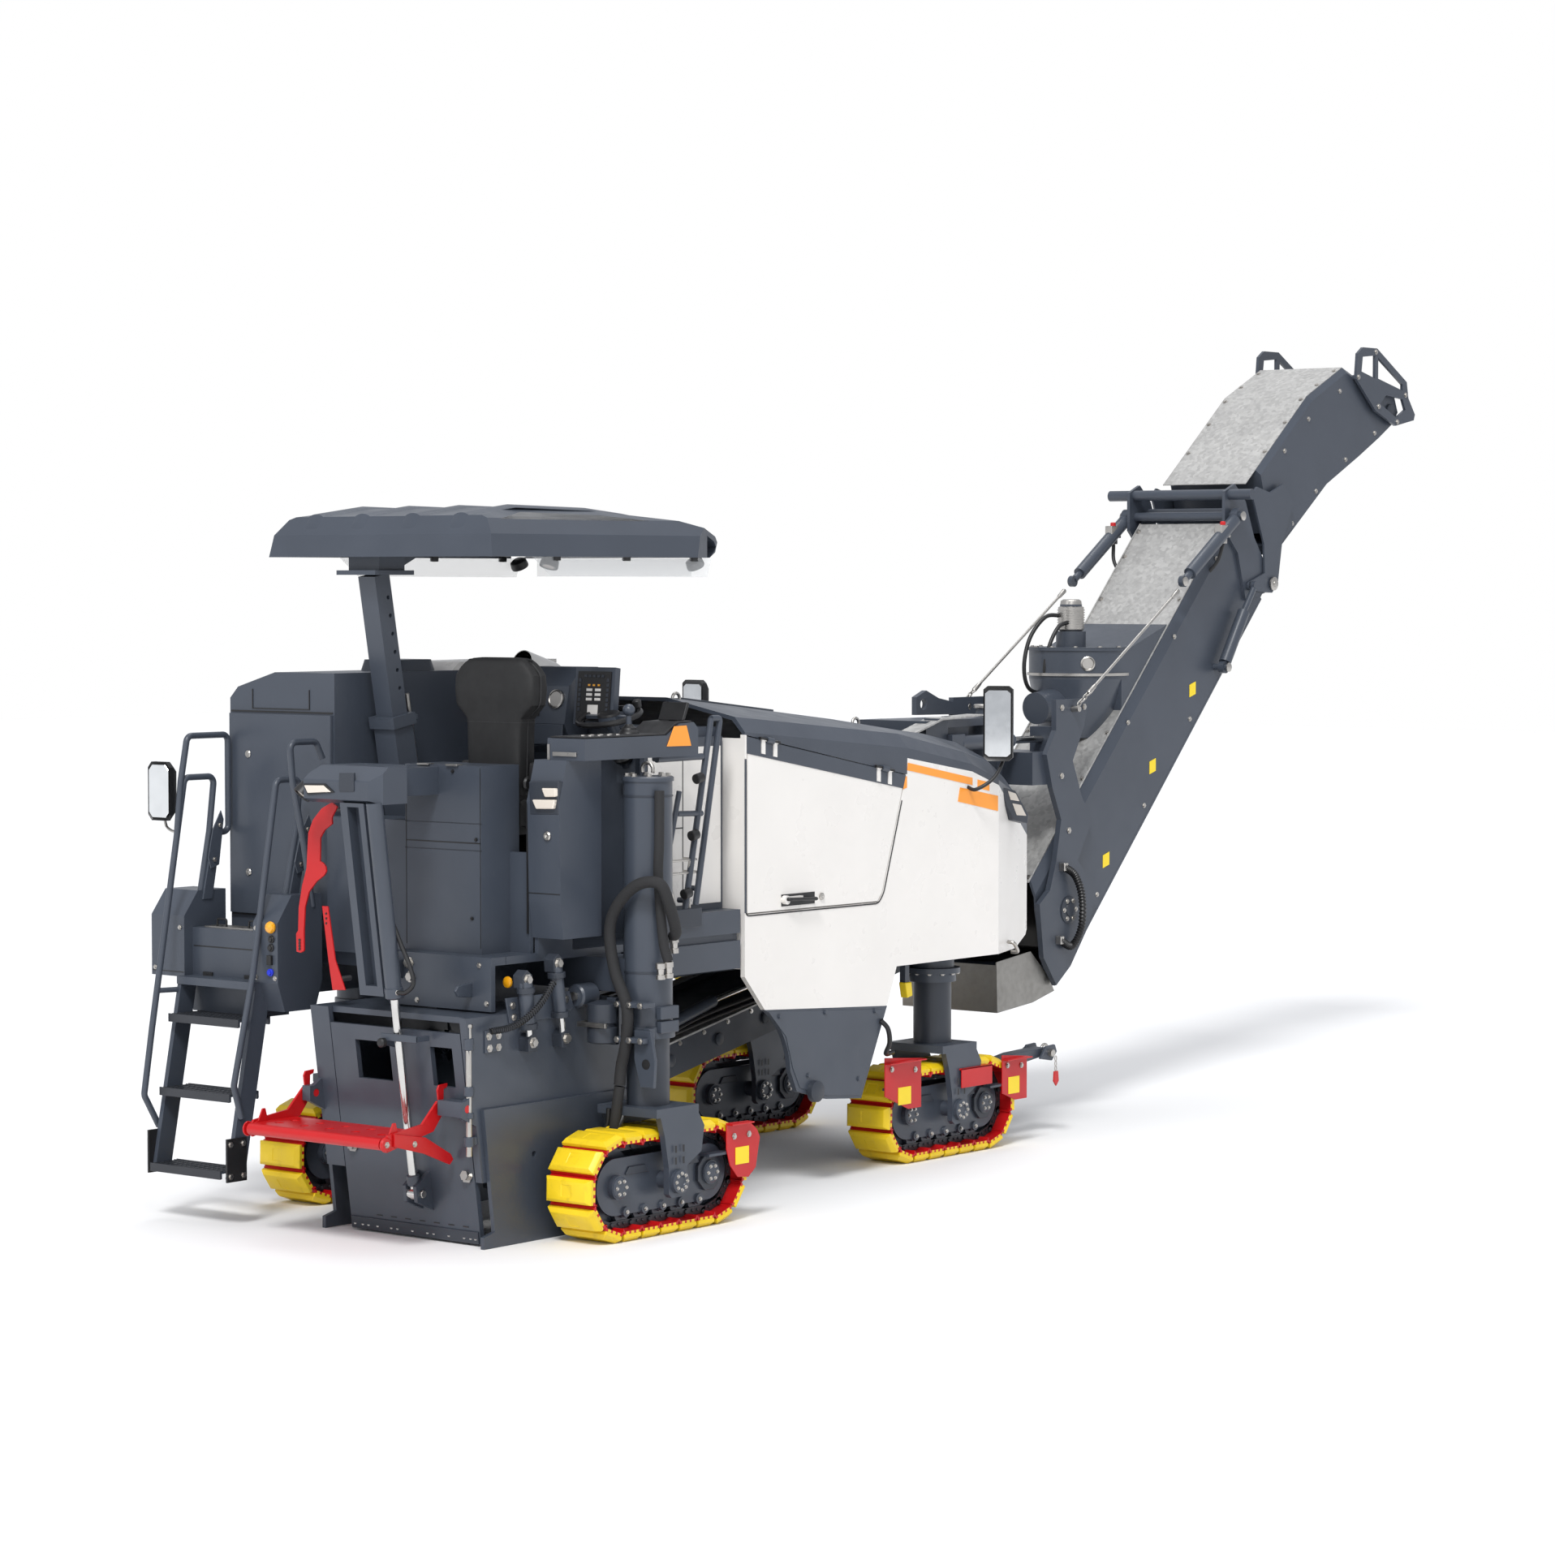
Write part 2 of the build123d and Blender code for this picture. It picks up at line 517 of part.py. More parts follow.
# ================================================================ drum housing
wall_outline = [
    (rear_x(HOUSING_BOTTOM), HOUSING_BOTTOM),
    (DRUM_X - 230, HOUSING_BOTTOM),
    (DRUM_X + 300, HOUSING_BOTTOM),
    (HOUSING_FRONT - 60, HOUSING_BOTTOM),
    (HOUSING_FRONT, HOUSING_BOTTOM + 160),
    (HOUSING_FRONT, HOUSING_TOP - 220),
    (HOUSING_FRONT - 200, HOUSING_TOP),
    (rear_x(HOUSING_TOP), HOUSING_TOP),
]
with BuildPart() as drum_housing:
    for low, high in ((HOUSING_RIGHT - WALL, HOUSING_RIGHT), (HOUSING_LEFT, HOUSING_LEFT + WALL)):
        side_panel(wall_outline, (low, high))
        cross_bar(DRUM_X, DRUM_Z, SHAFT_RADIUS, (low, high), mode=Mode.SUBTRACT)
    roof_span = (rear_x(HOUSING_TOP) + 6, HOUSING_FRONT - 200)
    block(roof_span, (HOUSING_RIGHT, HOUSING_LEFT), (HOUSING_TOP - WALL, HOUSING_TOP))
    # Strips close the rear on either side of the scraper.
    for low, high in ((HOUSING_RIGHT - WALL, SCRAPER_RIGHT - 6), (SCRAPER_LEFT + 6, HOUSING_LEFT + WALL)):
        side_panel(
            [
                (rear_x(HOUSING_BOTTOM), HOUSING_BOTTOM),
                (rear_x(HOUSING_TOP), HOUSING_TOP),
                (rear_x(HOUSING_TOP) - WALL, HOUSING_TOP),
                (rear_x(HOUSING_BOTTOM) - WALL, HOUSING_BOTTOM),
            ],
            (low, high),
        )
    side_panel(
        [
            (HOUSING_FRONT - 200, HOUSING_TOP),
            (HOUSING_FRONT - 236, HOUSING_TOP - WALL),
            (HOUSING_FRONT - WALL, HOUSING_TOP - 240),
            (HOUSING_FRONT, HOUSING_TOP - 220),
        ],
        (HOUSING_RIGHT, HOUSING_LEFT),
    )
    # Ears at the rear corners hold the pins of the folding step.
    for low in STEP_EARS:
        with BuildSketch(Plane.XZ.offset(-(low + STEP_EAR))) as ear:
            with BuildLine():
                Polyline(
                    (rear_x(STEP_PIN_Z + 90) + 4, STEP_PIN_Z + 90),
                    (STEP_PIN_X - 45, STEP_PIN_Z + 20),
                    (STEP_PIN_X - 45, STEP_PIN_Z - 40),
                    (rear_x(STEP_PIN_Z - 110) + 4, STEP_PIN_Z - 110),
                    close=True,
                )
            make_face()
        extrude(ear.sketch, amount=STEP_EAR)
    # Bosses carry the pins inwards on the right and outwards on the left.
    right_boss = (STEP_EARS[0], STEP_RIGHT - STEP_ARM - 14)
    left_boss = (STEP_EARS[1], STEP_LEFT - 4)
    block((STEP_PIN_X - 45, STEP_PIN_X + 32), right_boss, (STEP_PIN_Z - 38, STEP_PIN_Z + 38))
    block((STEP_PIN_X - 45, STEP_PIN_X + 70), left_boss, (STEP_PIN_Z - 38, STEP_PIN_Z + 38))
    for low, high in (right_boss, left_boss):
        bore = (low - 1, high + 1)
        cross_bar(STEP_PIN_X, STEP_PIN_Z, STEP_PIN_RADIUS + SLIDE_GAP, bore, mode=Mode.SUBTRACT)
keep(drum_housing, "drum_housing")

# ================================================================ skid plates
skid_right = HOUSING_RIGHT - WALL - SLIDE_GAP
skid_left = HOUSING_LEFT + WALL + SLIDE_GAP
for name, low, high in (
    ("side_plate_right", skid_right - SKID_THICKNESS, skid_right),
    ("side_plate_left", skid_left, skid_left + SKID_THICKNESS),
):
    with BuildPart() as side_plate:
        side_panel(
            [
                (rear_x(0) - 90, 0.0),
                (HOUSING_FRONT - 60, 0.0),
                (HOUSING_FRONT + 90, 110.0),
                (HOUSING_FRONT + 90, 300.0),
                (HOUSING_FRONT - 60, SKID_TOP),
                (rear_x(SKID_TOP) + 10, SKID_TOP),
                (rear_x(80), 80.0),
                (rear_x(0) - 90, 60.0),
            ],
            (low, high),
        )
        block((rear_x(0) - 90, HOUSING_FRONT - 80), (low, high), (0.0, 24.0))
        for x in (40.0, 300.0, 560.0, 820.0):
            cross_bar(x, 440.0, 16.0, (low, high), mode=Mode.SUBTRACT)
    keep(side_plate, name)

# ================================================================ scraper
with BuildPart() as scraper:
    side_panel(
        [
            (rear_x(12) - SLIDE_GAP - SCRAPER_THICKNESS, 12.0),
            (rear_x(12) - SLIDE_GAP, 12.0),
            (rear_x(SCRAPER_TOP) - SLIDE_GAP, SCRAPER_TOP),
            (rear_x(SCRAPER_TOP) - SLIDE_GAP - SCRAPER_THICKNESS, SCRAPER_TOP),
        ],
        (SCRAPER_RIGHT, SCRAPER_LEFT),
    )
    # Two windows look in on the drum.
    for low, high in ((-898.0, -748.0), (-466.0, -226.0)):
        block((-600.0, -200.0), (low, high), (805.0, 1003.0), mode=Mode.SUBTRACT)
keep(scraper, "scraper")

# Two ears behind the scraper take the rod of its cylinder.
with BuildPart() as scraper_ears:
    back = SLIDE_GAP + SCRAPER_THICKNESS
    for side in (-1, 1):
        low = CYLINDER_Y + side * 37 - 11
        side_panel(
            [
                (rear_x(160) - back, 160.0),
                (rear_x(360) - back, 360.0),
                (rear_x(290) - CYLINDER_BACK - 36, 290.0),
                (rear_x(210) - CYLINDER_BACK - 36, 210.0),
            ],
            (low, low + 22),
        )
keep(scraper_ears, "scraper_ears")

with BuildPart() as scraper_rod:
    eye_x = rear_x(ROD_EYE_Z) - CYLINDER_BACK
    cross_bar(eye_x, ROD_EYE_Z, 34.0, (CYLINDER_Y - 26, CYLINDER_Y + 26))
    rod_head = (rear_x(1900) - CYLINDER_BACK, CYLINDER_Y, 1900.0)
    bar_between((eye_x, CYLINDER_Y, ROD_EYE_Z), rod_head, ROD_END_RADIUS)
keep(scraper_rod, "scraper_rod")

# ================================================================ rear hood
with BuildPart() as rear_hood:
    # Moulded cover over the head of the scraper cylinder.
    side_panel(
        [
            (-690.0, 2235.0),
            (-640.0, 2215.0),
            (-330.0, 2215.0),
            (-330.0, 2400.0),
            (-600.0, 2400.0),
            (-690.0, 2330.0),
        ],
        (-655.0, -150.0),
    )
    fillet(rear_hood.edges().filter_by(Axis.Y).sort_by(Axis.X)[:1], radius=14.0)
    chamfer(rear_hood.faces().sort_by(Axis.Y)[-1].edges().sort_by(Axis.Z)[-1:], length=40.0)
    beak_plan = [
        (-690.0, -150.0),
        (-690.0, -600.0),
        (-640.0, -655.0),
        (-470.0, -655.0),
        (-330.0, -500.0),
        (-330.0, -150.0),
    ]
    floor_panel(beak_plan, (2200.0, 2420.0), mode=Mode.INTERSECT)
    block((-330.0, -80.0), (-500.0, -270.0), (2240.0, 2380.0))
    bar_between(
        (rear_x(CYLINDER_TOP) - CYLINDER_BACK, CYLINDER_Y, CYLINDER_TOP + 10),
        (rear_x(BARREL_BOTTOM) - CYLINDER_BACK, CYLINDER_Y, BARREL_BOTTOM),
        BARREL_RADIUS,
    )
    bar_between(
        (rear_x(2180) - CYLINDER_BACK, CYLINDER_Y, 2180.0),
        (rear_x(BARREL_BOTTOM - 20) - CYLINDER_BACK, CYLINDER_Y, BARREL_BOTTOM - 20),
        ROD_END_RADIUS + SLIDE_GAP,
        mode=Mode.SUBTRACT,
    )
    # Guide channel beside the cylinder.
    side_panel(
        [
            (rear_x(1250) - 40, 1250.0),
            (rear_x(2220) - 40, 2220.0),
            (rear_x(2220) - 130, 2220.0),
            (rear_x(1250) - 130, 1250.0),
        ],
        (-560.0, -395.0),
    )
    side_panel(
        [
            (rear_x(1300) - 70, 1300.0),
            (rear_x(2200) - 70, 2200.0),
            (rear_x(2200) - 160, 2200.0),
            (rear_x(1300) - 160, 1300.0),
        ],
        (-523.0, -443.0),
        mode=Mode.SUBTRACT,
    )
keep(rear_hood, "rear_hood")

# ================================================================ folding step
with BuildPart() as folding_step:
    cross_bar(STEP_REAR + 15, STEP_PIN_Z - 148, 30.0, (STEP_RIGHT, STEP_LEFT))
    tread = (STEP_REAR + 20, STEP_REAR + STEP_DEPTH)
    block(tread, (STEP_RIGHT, STEP_LEFT), (STEP_PIN_Z - 128, STEP_PIN_Z - 118))
    for column_index in range(5):
        for row_index in range(2):
            with BuildSketch(Plane.XY.offset(STEP_PIN_Z - 130)) as grip:
                with Locations((STEP_REAR + 110 + row_index * 110, STEP_RIGHT + 100 + column_index * 180)):
                    Circle(24.0)
            extrude(grip.sketch, amount=20.0, mode=Mode.SUBTRACT)
keep(folding_step, "folding_step")

# An arm at either end of the step with its pin.
step_arm = [
    (STEP_PIN_X - 30, STEP_PIN_Z + 28),
    (STEP_PIN_X + 10, STEP_PIN_Z + 32),
    (STEP_PIN_X + 22, STEP_PIN_Z + 20),
    (STEP_PIN_X + 24, STEP_PIN_Z - 18),
    (STEP_PIN_X - 60, STEP_PIN_Z - 118),
    (STEP_REAR + 30, STEP_PIN_Z - 190),
    (STEP_REAR, STEP_PIN_Z - 150),
    (STEP_REAR + 40, STEP_PIN_Z - 105),
    (STEP_PIN_X - 140, STEP_PIN_Z - 76),
]
with BuildPart() as step_arms:
    for low, pin in (
        (STEP_RIGHT - STEP_ARM, (STEP_EARS[0] + 2, STEP_RIGHT - STEP_ARM)),
        (STEP_LEFT, (STEP_EARS[1] + 2, STEP_LEFT)),
    ):
        side_panel(step_arm, (low, low + STEP_ARM))
        cross_bar(STEP_PIN_X, STEP_PIN_Z, STEP_PIN_RADIUS, pin)
keep(step_arms, "step_arms")

# ================================================================ engine and loading conveyor
with BuildPart() as engine_block:
    engine_half = FRAME_Y - FRAME_WEB
    block((2000.0, 3500.0), (-engine_half, engine_half), (FRAME_TOP - 130, FRAME_TOP + 480))
keep(engine_block, "engine_block")

load_way = Vector(LOAD_HIGH[0] - LOAD_LOW[0], 0, LOAD_HIGH[1] - LOAD_LOW[1])
load_plane = Plane(
    origin=(LOAD_LOW[0], 0, LOAD_LOW[1]),
    x_dir=load_way,
    z_dir=Vector(-load_way.Z, 0, load_way.X),
)
with BuildPart() as loading_conveyor:
    # Trough: two side beams, the carrying run, the return run and the end rollers.
    with BuildSketch(load_plane) as beams:
        for side in (-1, 1):
            with Locations((load_way.length / 2, side * (LOAD_HALF - 15))):
                Rectangle(load_way.length, 30.0)
    extrude(beams.sketch, amount=LOAD_DEPTH)
    for lift in (28.0, LOAD_DEPTH - 50):
        with BuildSketch(load_plane.offset(lift)) as run:
            with Locations((load_way.length / 2, 0)):
                Rectangle(load_way.length - 120, 2 * LOAD_HALF - 60)
        extrude(run.sketch, amount=14.0)
    # Hangers reach out to the frame rails.
    for side in (-1, 1):
        low, high = sorted((side * (LOAD_HALF - 2), side * (FRAME_Y - FRAME_WEB)))
        for x in (1560.0, 4250.0):
            share = (x - LOAD_LOW[0]) / load_way.X
            z = LOAD_LOW[1] + share * load_way.Z
            block((x - 40, x + 40), (low, high), (z + 60, max(z + 170, FRAME_BOTTOM + 60)))
keep(loading_conveyor, "loading_conveyor")

# ================================================================ body sides
door_outline = [
    (BODY_REAR + 16, edge_z(BODY_REAR + 16)),
    (3190.0, edge_z(3190.0)),
    (2975.0, 1580.0),
    (2930.0, 1530.0),
    (BODY_REAR + 16, 1535.0),
]
for side, word in ((-1, "right"), (1, "left")):
    low, high = sorted((side * (SIDE_Y - SKIN), side * SIDE_Y))
    inner_low, inner_high = sorted((side * (SIDE_Y - SKIN), side * (SIDE_Y - SKIN - 12)))
    with BuildPart() as body_side:
        side_panel(
            [
                (BODY_REAR, BELLY_Z + 190),
                (BODY_REAR + 170, BELLY_Z),
                (3017.0, BELLY_Z - 65),
                (3105.0, BELLY_Z + 150),
                (CREASE_X, BELLY_Z + 150),
                (CREASE_X, 2140.0),
                (3820.0, 2228.0),
                (3202.0, 2326.0),
                (3200.0, 2235.0),
                (BODY_REAR, EDGE_REAR_Z),
            ],
            (low, high),
        )
        fillet(body_side.edges().filter_by(Axis.Y).group_by(Axis.Z)[0], radius=30.0)
        side_panel(door_outline, (low, high), mode=Mode.SUBTRACT)
        # Rebate behind the door that it closes against.
        side_panel(
            [
                (BODY_REAR, EDGE_REAR_Z - 30),
                (3190.0, edge_z(3190.0) - 30),
                (3010.0, 1490.0),
                (BODY_REAR, 1490.0),
            ],
            (inner_low, inner_high),
        )
        side_panel(
            [
                (BODY_REAR + 70, EDGE_REAR_Z - 110),
                (3100.0, edge_z(3100.0) - 70),
                (2930.0, 1600.0),
                (BODY_REAR + 70, 1600.0),
            ],
            (inner_low, inner_high),
            mode=Mode.SUBTRACT,
        )
        # Nose panel turns in towards the conveyor.
        floor_panel(
            [
                (CREASE_X, side * SIDE_Y),
                (NOSE_X, side * NOSE_Y),
                (NOSE_X - 14, side * (NOSE_Y - SKIN)),
                (CREASE_X, side * (SIDE_Y - SKIN)),
            ],
            (BELLY_Z + 150, 2140.0),
        )
        side_panel(
            [
                (CREASE_X, 2140.0),
                (4400.0, 1974.0),
                (NOSE_X, 1812.0),
                (NOSE_X + 20, 1812.0),
                (NOSE_X + 20, 2160.0),
                (CREASE_X, 2160.0),
            ],
            tuple(sorted((side * (SIDE_Y + 40), side * 500))),
            mode=Mode.SUBTRACT,
        )
        side_panel(
            [
                (CREASE_X + 330, BELLY_Z + 140),
                (NOSE_X + 20, BELLY_Z + 140),
                (NOSE_X + 20, BELLY_Z + 260),
                (NOSE_X - 30, BELLY_Z + 210),
            ],
            tuple(sorted((side * (SIDE_Y + 40), side * 500))),
            mode=Mode.SUBTRACT,
        )
        # Bulkheads at the rear and behind the column tie the skin to the rail.
        rear_span = (BELLY_Z + 230, EDGE_REAR_Z - 20)
        for x, z_span in ((BODY_REAR, rear_span), (3180.0, (BELLY_Z + 190, 2180.0))):
            block((x, x + 12), tuple(sorted((side * (SIDE_Y - 5), side * FRAME_Y))), z_span)
    keep(body_side, "body_side_" + word)

    # The door hangs from two pins that turn in rings on the hood.
    door_low, door_high = sorted((side * (SIDE_Y - DOOR_THICKNESS), side * SIDE_Y))
    hinge_y = side * (SIDE_Y + HINGE_OUT)
    with BuildPart() as service_door:
        with BuildSketch(Plane.XZ.offset(-door_high)) as leaf:
            with BuildLine():
                Polyline(*door_outline, close=True)
            make_face()
            offset(amount=-DOOR_GAP, kind=Kind.INTERSECTION)
        extrude(leaf.sketch, amount=DOOR_THICKNESS)
        # Notches keep the leaf clear of the rings when it swings up.
        for x in HINGE_XS:
            side_panel(
                [
                    (x - 34, edge_z(x - 34) - 26),
                    (x + 34, edge_z(x + 34) - 26),
                    (x + 34, edge_z(x + 34) + 10),
                    (x - 34, edge_z(x - 34) + 10),
                ],
                (door_low - 1, door_high + 1),
                mode=Mode.SUBTRACT,
            )
        for x in HINGE_XS:
            pin_start = (x - 70, hinge_y, edge_z(x - 70))
            bar_between(pin_start, (x + 70, hinge_y, edge_z(x + 70)), HINGE_RADIUS)
            for start in (x - 66, x + 36):
                side_panel(
                    [
                        (start, edge_z(start) - 80),
                        (start + 30, edge_z(start + 30) - 80),
                        (start + 30, edge_z(start + 30)),
                        (start, edge_z(start)),
                    ],
                    tuple(sorted((side * SIDE_Y, hinge_y))),
                )
        # Pull handle near the foot of the door.
        block((2080.0, 2230.0), tuple(sorted((side * SIDE_Y, side * (SIDE_Y + 26)))), (1590.0, 1612.0))
        cross_bar(2090.0, 1596.0, 24.0, tuple(sorted((side * SIDE_Y, side * (SIDE_Y + 30)))))
    keep(service_door, "service_door_" + word)

    # Dark apron under the belly, arched over the beam behind it.
    with BuildPart() as apron:
        with BuildSketch(Plane.XZ.offset(-high)) as skirt:
            with BuildLine():
                Line((3017.0, BELLY_Z - 65), (BODY_REAR + 170, BELLY_Z))
                ThreePointArc((BODY_REAR + 170, BELLY_Z), (2080.0, 870.0), (2150.0, 660.0))
                Polyline((2150.0, 660.0), (2208.0, 541.0), (2466.0, 475.0))
                Polyline((2466.0, 475.0), (2780.0, 448.0), (3017.0, BELLY_Z - 65))
            make_face()
        extrude(skirt.sketch, amount=SKIN)
        side_panel(
            [
                (2000.0, BELLY_Z - 40),
                (2960.0, BELLY_Z - 90),
                (2980.0, BELLY_Z + 40),
                (2000.0, BELLY_Z + 90),
            ],
            (inner_low, inner_high),
        )
    keep(apron, "apron_" + word)

# ================================================================ engine hood
def hood_outline(station, inset):
    """Cross section of the hood at a station, drawn in by the thickness of the sheet."""
    x, half, rim, crease, bevel, roof = station
    half -= inset
    crease -= 0.4 * inset
    bevel -= 0.9 * inset
    roof -= inset
    return [
        (-half, rim),
        (-half, crease),
        (-half + HOOD_BEVEL, bevel),
        (-HOOD_FLAT, roof),
        (HOOD_FLAT, roof),
        (half - HOOD_BEVEL, bevel),
        (half, crease),
        (half, rim),
    ]


with BuildPart() as engine_hood:
    # Rings that take the hinge pins of the service doors.
    for side in (-1, 1):
        hinge_y = side * (SIDE_Y + HINGE_OUT)
        for x in HINGE_XS:
            ring_start = (x - 28, hinge_y, edge_z(x - 28))
            bar_between(ring_start, (x + 28, hinge_y, edge_z(x + 28)), HINGE_RADIUS + 8)
        skin_span = tuple(sorted((side * (SIDE_Y - 30), side * SIDE_Y)))
        block((BODY_REAR, 3200.0), skin_span, (2200.0, 2520.0), mode=Mode.SUBTRACT)
        for x in HINGE_XS:
            bar_between(
                (x - 40, hinge_y, edge_z(x - 40)),
                (x + 40, hinge_y, edge_z(x + 40)),
                HINGE_RADIUS + SLIDE_GAP,
                mode=Mode.SUBTRACT,
            )
    for inset, mode in ((0.0, Mode.ADD), (HOOD_SHEET, Mode.SUBTRACT)):
        for back, front in zip(HOOD_STATIONS[:-1], HOOD_STATIONS[1:]):
            for station in (back, front):
                with BuildSketch(Plane.YZ.offset(station[0])):
                    with BuildLine():
                        Polyline(*hood_outline(station, inset), close=True)
                    make_face()
            loft(ruled=True, mode=mode)
    # Valley over the loading conveyor opens the hood towards the front.
    floor_panel(
        [
            (VALLEY_X, -200.0),
            (VALLEY_X, 200.0),
            (VALLEY_X + 300, VALLEY_HALF),
            (NOSE_X + 60, VALLEY_HALF),
            (NOSE_X + 60, -VALLEY_HALF),
            (VALLEY_X + 300, -VALLEY_HALF),
        ],
        (1700.0, 2800.0),
        mode=Mode.SUBTRACT,
    )
keep(engine_hood, "engine_hood")

# ================================================================ operator stand
with BuildPart() as operator_stand:
    block((-80.0, 1740.0), (-960.0, 300.0), (FRAME_REAR_TOP, FLOOR_Z))
    # Rear wall with the tall box to the left of the seat.
    block((-80.0, -56.0), (-795.0, 300.0), (FLOOR_Z, 2100.0))
    block((-80.0, 200.0), (-795.0, -265.0), (FLOOR_Z, STAND_TOP))
    block((-56.0, 176.0), (-771.0, -289.0), (FLOOR_Z, STAND_TOP - 24), mode=Mode.SUBTRACT)
    for z in (2096.0, 1960.0):
        block((-81.0, -76.0), (-795.0, -265.0), (z, z + 6), mode=Mode.SUBTRACT)
    block((-56.0, 176.0), (-265.0, 300.0), (2076.0, 2100.0))
    # Plate that closes the gap between the two boxes.
    block((132.0, 156.0), (-930.0, -790.0), (FLOOR_Z, 1950.0))
    # Box to the right of the seat carries the rear lamps.
    side_panel(
        [
            (150.0, 1520.0),
            (440.0, 1520.0),
            (440.0, 2420.0),
            (180.0, 2420.0),
            (120.0, 2210.0),
            (130.0, 1700.0),
        ],
        (-1140.0, -920.0),
    )
    side_panel(
        [
            (176.0, 1544.0),
            (416.0, 1544.0),
            (416.0, 2396.0),
            (200.0, 2396.0),
            (146.0, 2208.0),
            (156.0, 1702.0),
        ],
        (-1116.0, -944.0),
        mode=Mode.SUBTRACT,
    )
    block((160.0, 420.0), (-960.0, -936.0), (FLOOR_Z, 1560.0))
    # Front bulkhead under the dash, and the recess beside the entrance.
    block((1290.0, 1740.0), (-830.0, 300.0), (FLOOR_Z, 2540.0))
    block((1314.0, 1716.0), (-806.0, 276.0), (FLOOR_Z, 2516.0), mode=Mode.SUBTRACT)
    block((1100.0, 1740.0), (-860.0, -830.0), (1560.0, 2490.0))
    block((1080.0, 1740.0), (-985.0, -800.0), (FLOOR_Z, 1566.0))
    # Beam that runs forward under the floor to the body.
    block((REAR_X + CLAMP_HALF + 8, 1740.0), (-985.0, -940.0), (1250.0, FRAME_REAR_TOP))
keep(operator_stand, "operator_stand")

with BuildPart() as operator_consoles:
    # Dash with its slanted face.
    side_panel(
        [
            (1100.0, 2560.0),
            (1140.0, 2760.0),
            (1250.0, 2860.0),
            (1380.0, 2860.0),
            (1380.0, 2540.0),
            (1290.0, 2540.0),
            (1270.0, 2400.0),
            (1160.0, 2440.0),
        ],
        (-300.0, 290.0),
    )
    fillet(operator_consoles.edges().filter_by(Axis.X).group_by(Axis.Z)[-1], radius=12.0)
    # Recess under the mouth of the exhaust.
    block((1235.0, 1390.0), (76.0, 300.0), (2735.0, 2870.0), mode=Mode.SUBTRACT)
    # Display on its stalk.
    side_panel(
        [(1130.0, 2560.0), (1170.0, 2556.0), (1198.0, 2858.0), (1158.0, 2864.0)],
        (-612.0, -335.0),
    )
    block((1140.0, 1400.0), (-480.0, -440.0), (2560.0, 2640.0))
    block((1290.0, 1420.0), (-500.0, -380.0), (2540.0, 2580.0))
    # Steering column and wheel.
    block((1230.0, 1290.0), (SEAT_Y - 70, SEAT_Y + 60), (2250.0, 2420.0))
    wheel_way = Vector(-0.25, 0, 0.968)
    column_foot = Vector(1250.0, SEAT_Y, 2345.0)
    column_head = Vector(1105.0, SEAT_Y, 2590.0)
    bar_between(tuple(column_foot), tuple(column_head), 34.0)
    bar_between(tuple(column_head), tuple(column_head + wheel_way * 24.0), 60.0)
    wheel_plane = Plane(origin=column_head + wheel_way * 6.0, x_dir=(0, 1, 0), z_dir=wheel_way)
    with BuildSketch(wheel_plane) as wheel:
        Circle(178.0)
        Circle(156.0, mode=Mode.SUBTRACT)
        Rectangle(336.0, 26.0)
    extrude(wheel.sketch, amount=18.0)
    # Right armrest console with its travel lever, on top of the lamp box.
    side_panel(
        [
            (190.0, 2420.0),
            (1075.0, 2420.0),
            (1075.0, 2560.0),
            (1040.0, 2592.0),
            (930.0, 2588.0),
            (830.0, 2530.0),
            (190.0, 2530.0),
        ],
        (-1250.0, -1000.0),
    )
    upright_bar(700.0, -1100.0, 14.0, (2530.0, 2640.0))
    with Locations((700.0, -1100.0, 2660.0)):
        Sphere(32.0)
keep(operator_consoles, "operator_consoles")

with BuildPart() as operator_seat:
    block((330.0, 640.0), (SEAT_Y - 150, SEAT_Y + 150), (FLOOR_Z, 2030.0))
    block((215.0, 750.0), (SEAT_Y - 160, SEAT_Y + 160), (2030.0, 2075.0))
    block((215.0, 745.0), (SEAT_Y - 172, SEAT_Y + 200), (2075.0, 2200.0))
    fillet(operator_seat.edges().group_by(Axis.Z)[-1], radius=40.0)
    end_panel(
        [
            (SEAT_Y - 150, 2030.0),
            (SEAT_Y + 150, 2030.0),
            (SEAT_Y + 168, 2440.0),
            (SEAT_Y + 174, 2620.0),
            (SEAT_Y + 258, 2690.0),
            (SEAT_Y + 258, 2845.0),
            (SEAT_Y + 185, 2912.0),
            (SEAT_Y - 185, 2912.0),
            (SEAT_Y - 258, 2845.0),
            (SEAT_Y - 258, 2690.0),
            (SEAT_Y - 174, 2620.0),
            (SEAT_Y - 168, 2440.0),
        ],
        (208.0, 316.0),
    )
    fillet(operator_seat.faces().sort_by(Axis.Z)[-1].edges().filter_by(Axis.Y), radius=30.0)
keep(operator_seat, "operator_seat")

# ================================================================ rear cabinet
cabinet_section = [
    (CABINET_RIGHT, FLOOR_Z - 40),
    (CABINET_LEFT, FLOOR_Z - 40),
    (CABINET_LEFT, CABINET_SIDE_TOP),
    (CABINET_LEFT - 60, CABINET_SIDE_TOP + 60),
    (760.0, CABINET_ROOF),
    (CABINET_RIGHT, CABINET_ROOF),
]
cabinet_inside = [
    (CABINET_RIGHT + CABINET_SKIN, FLOOR_Z),
    (CABINET_LEFT - CABINET_SKIN, FLOOR_Z),
    (CABINET_LEFT - CABINET_SKIN, CABINET_SIDE_TOP - 12),
    (CABINET_LEFT - 72, CABINET_SIDE_TOP + 36),
    (752.0, CABINET_ROOF - CABINET_SKIN),
    (CABINET_RIGHT + CABINET_SKIN, CABINET_ROOF - CABINET_SKIN),
]
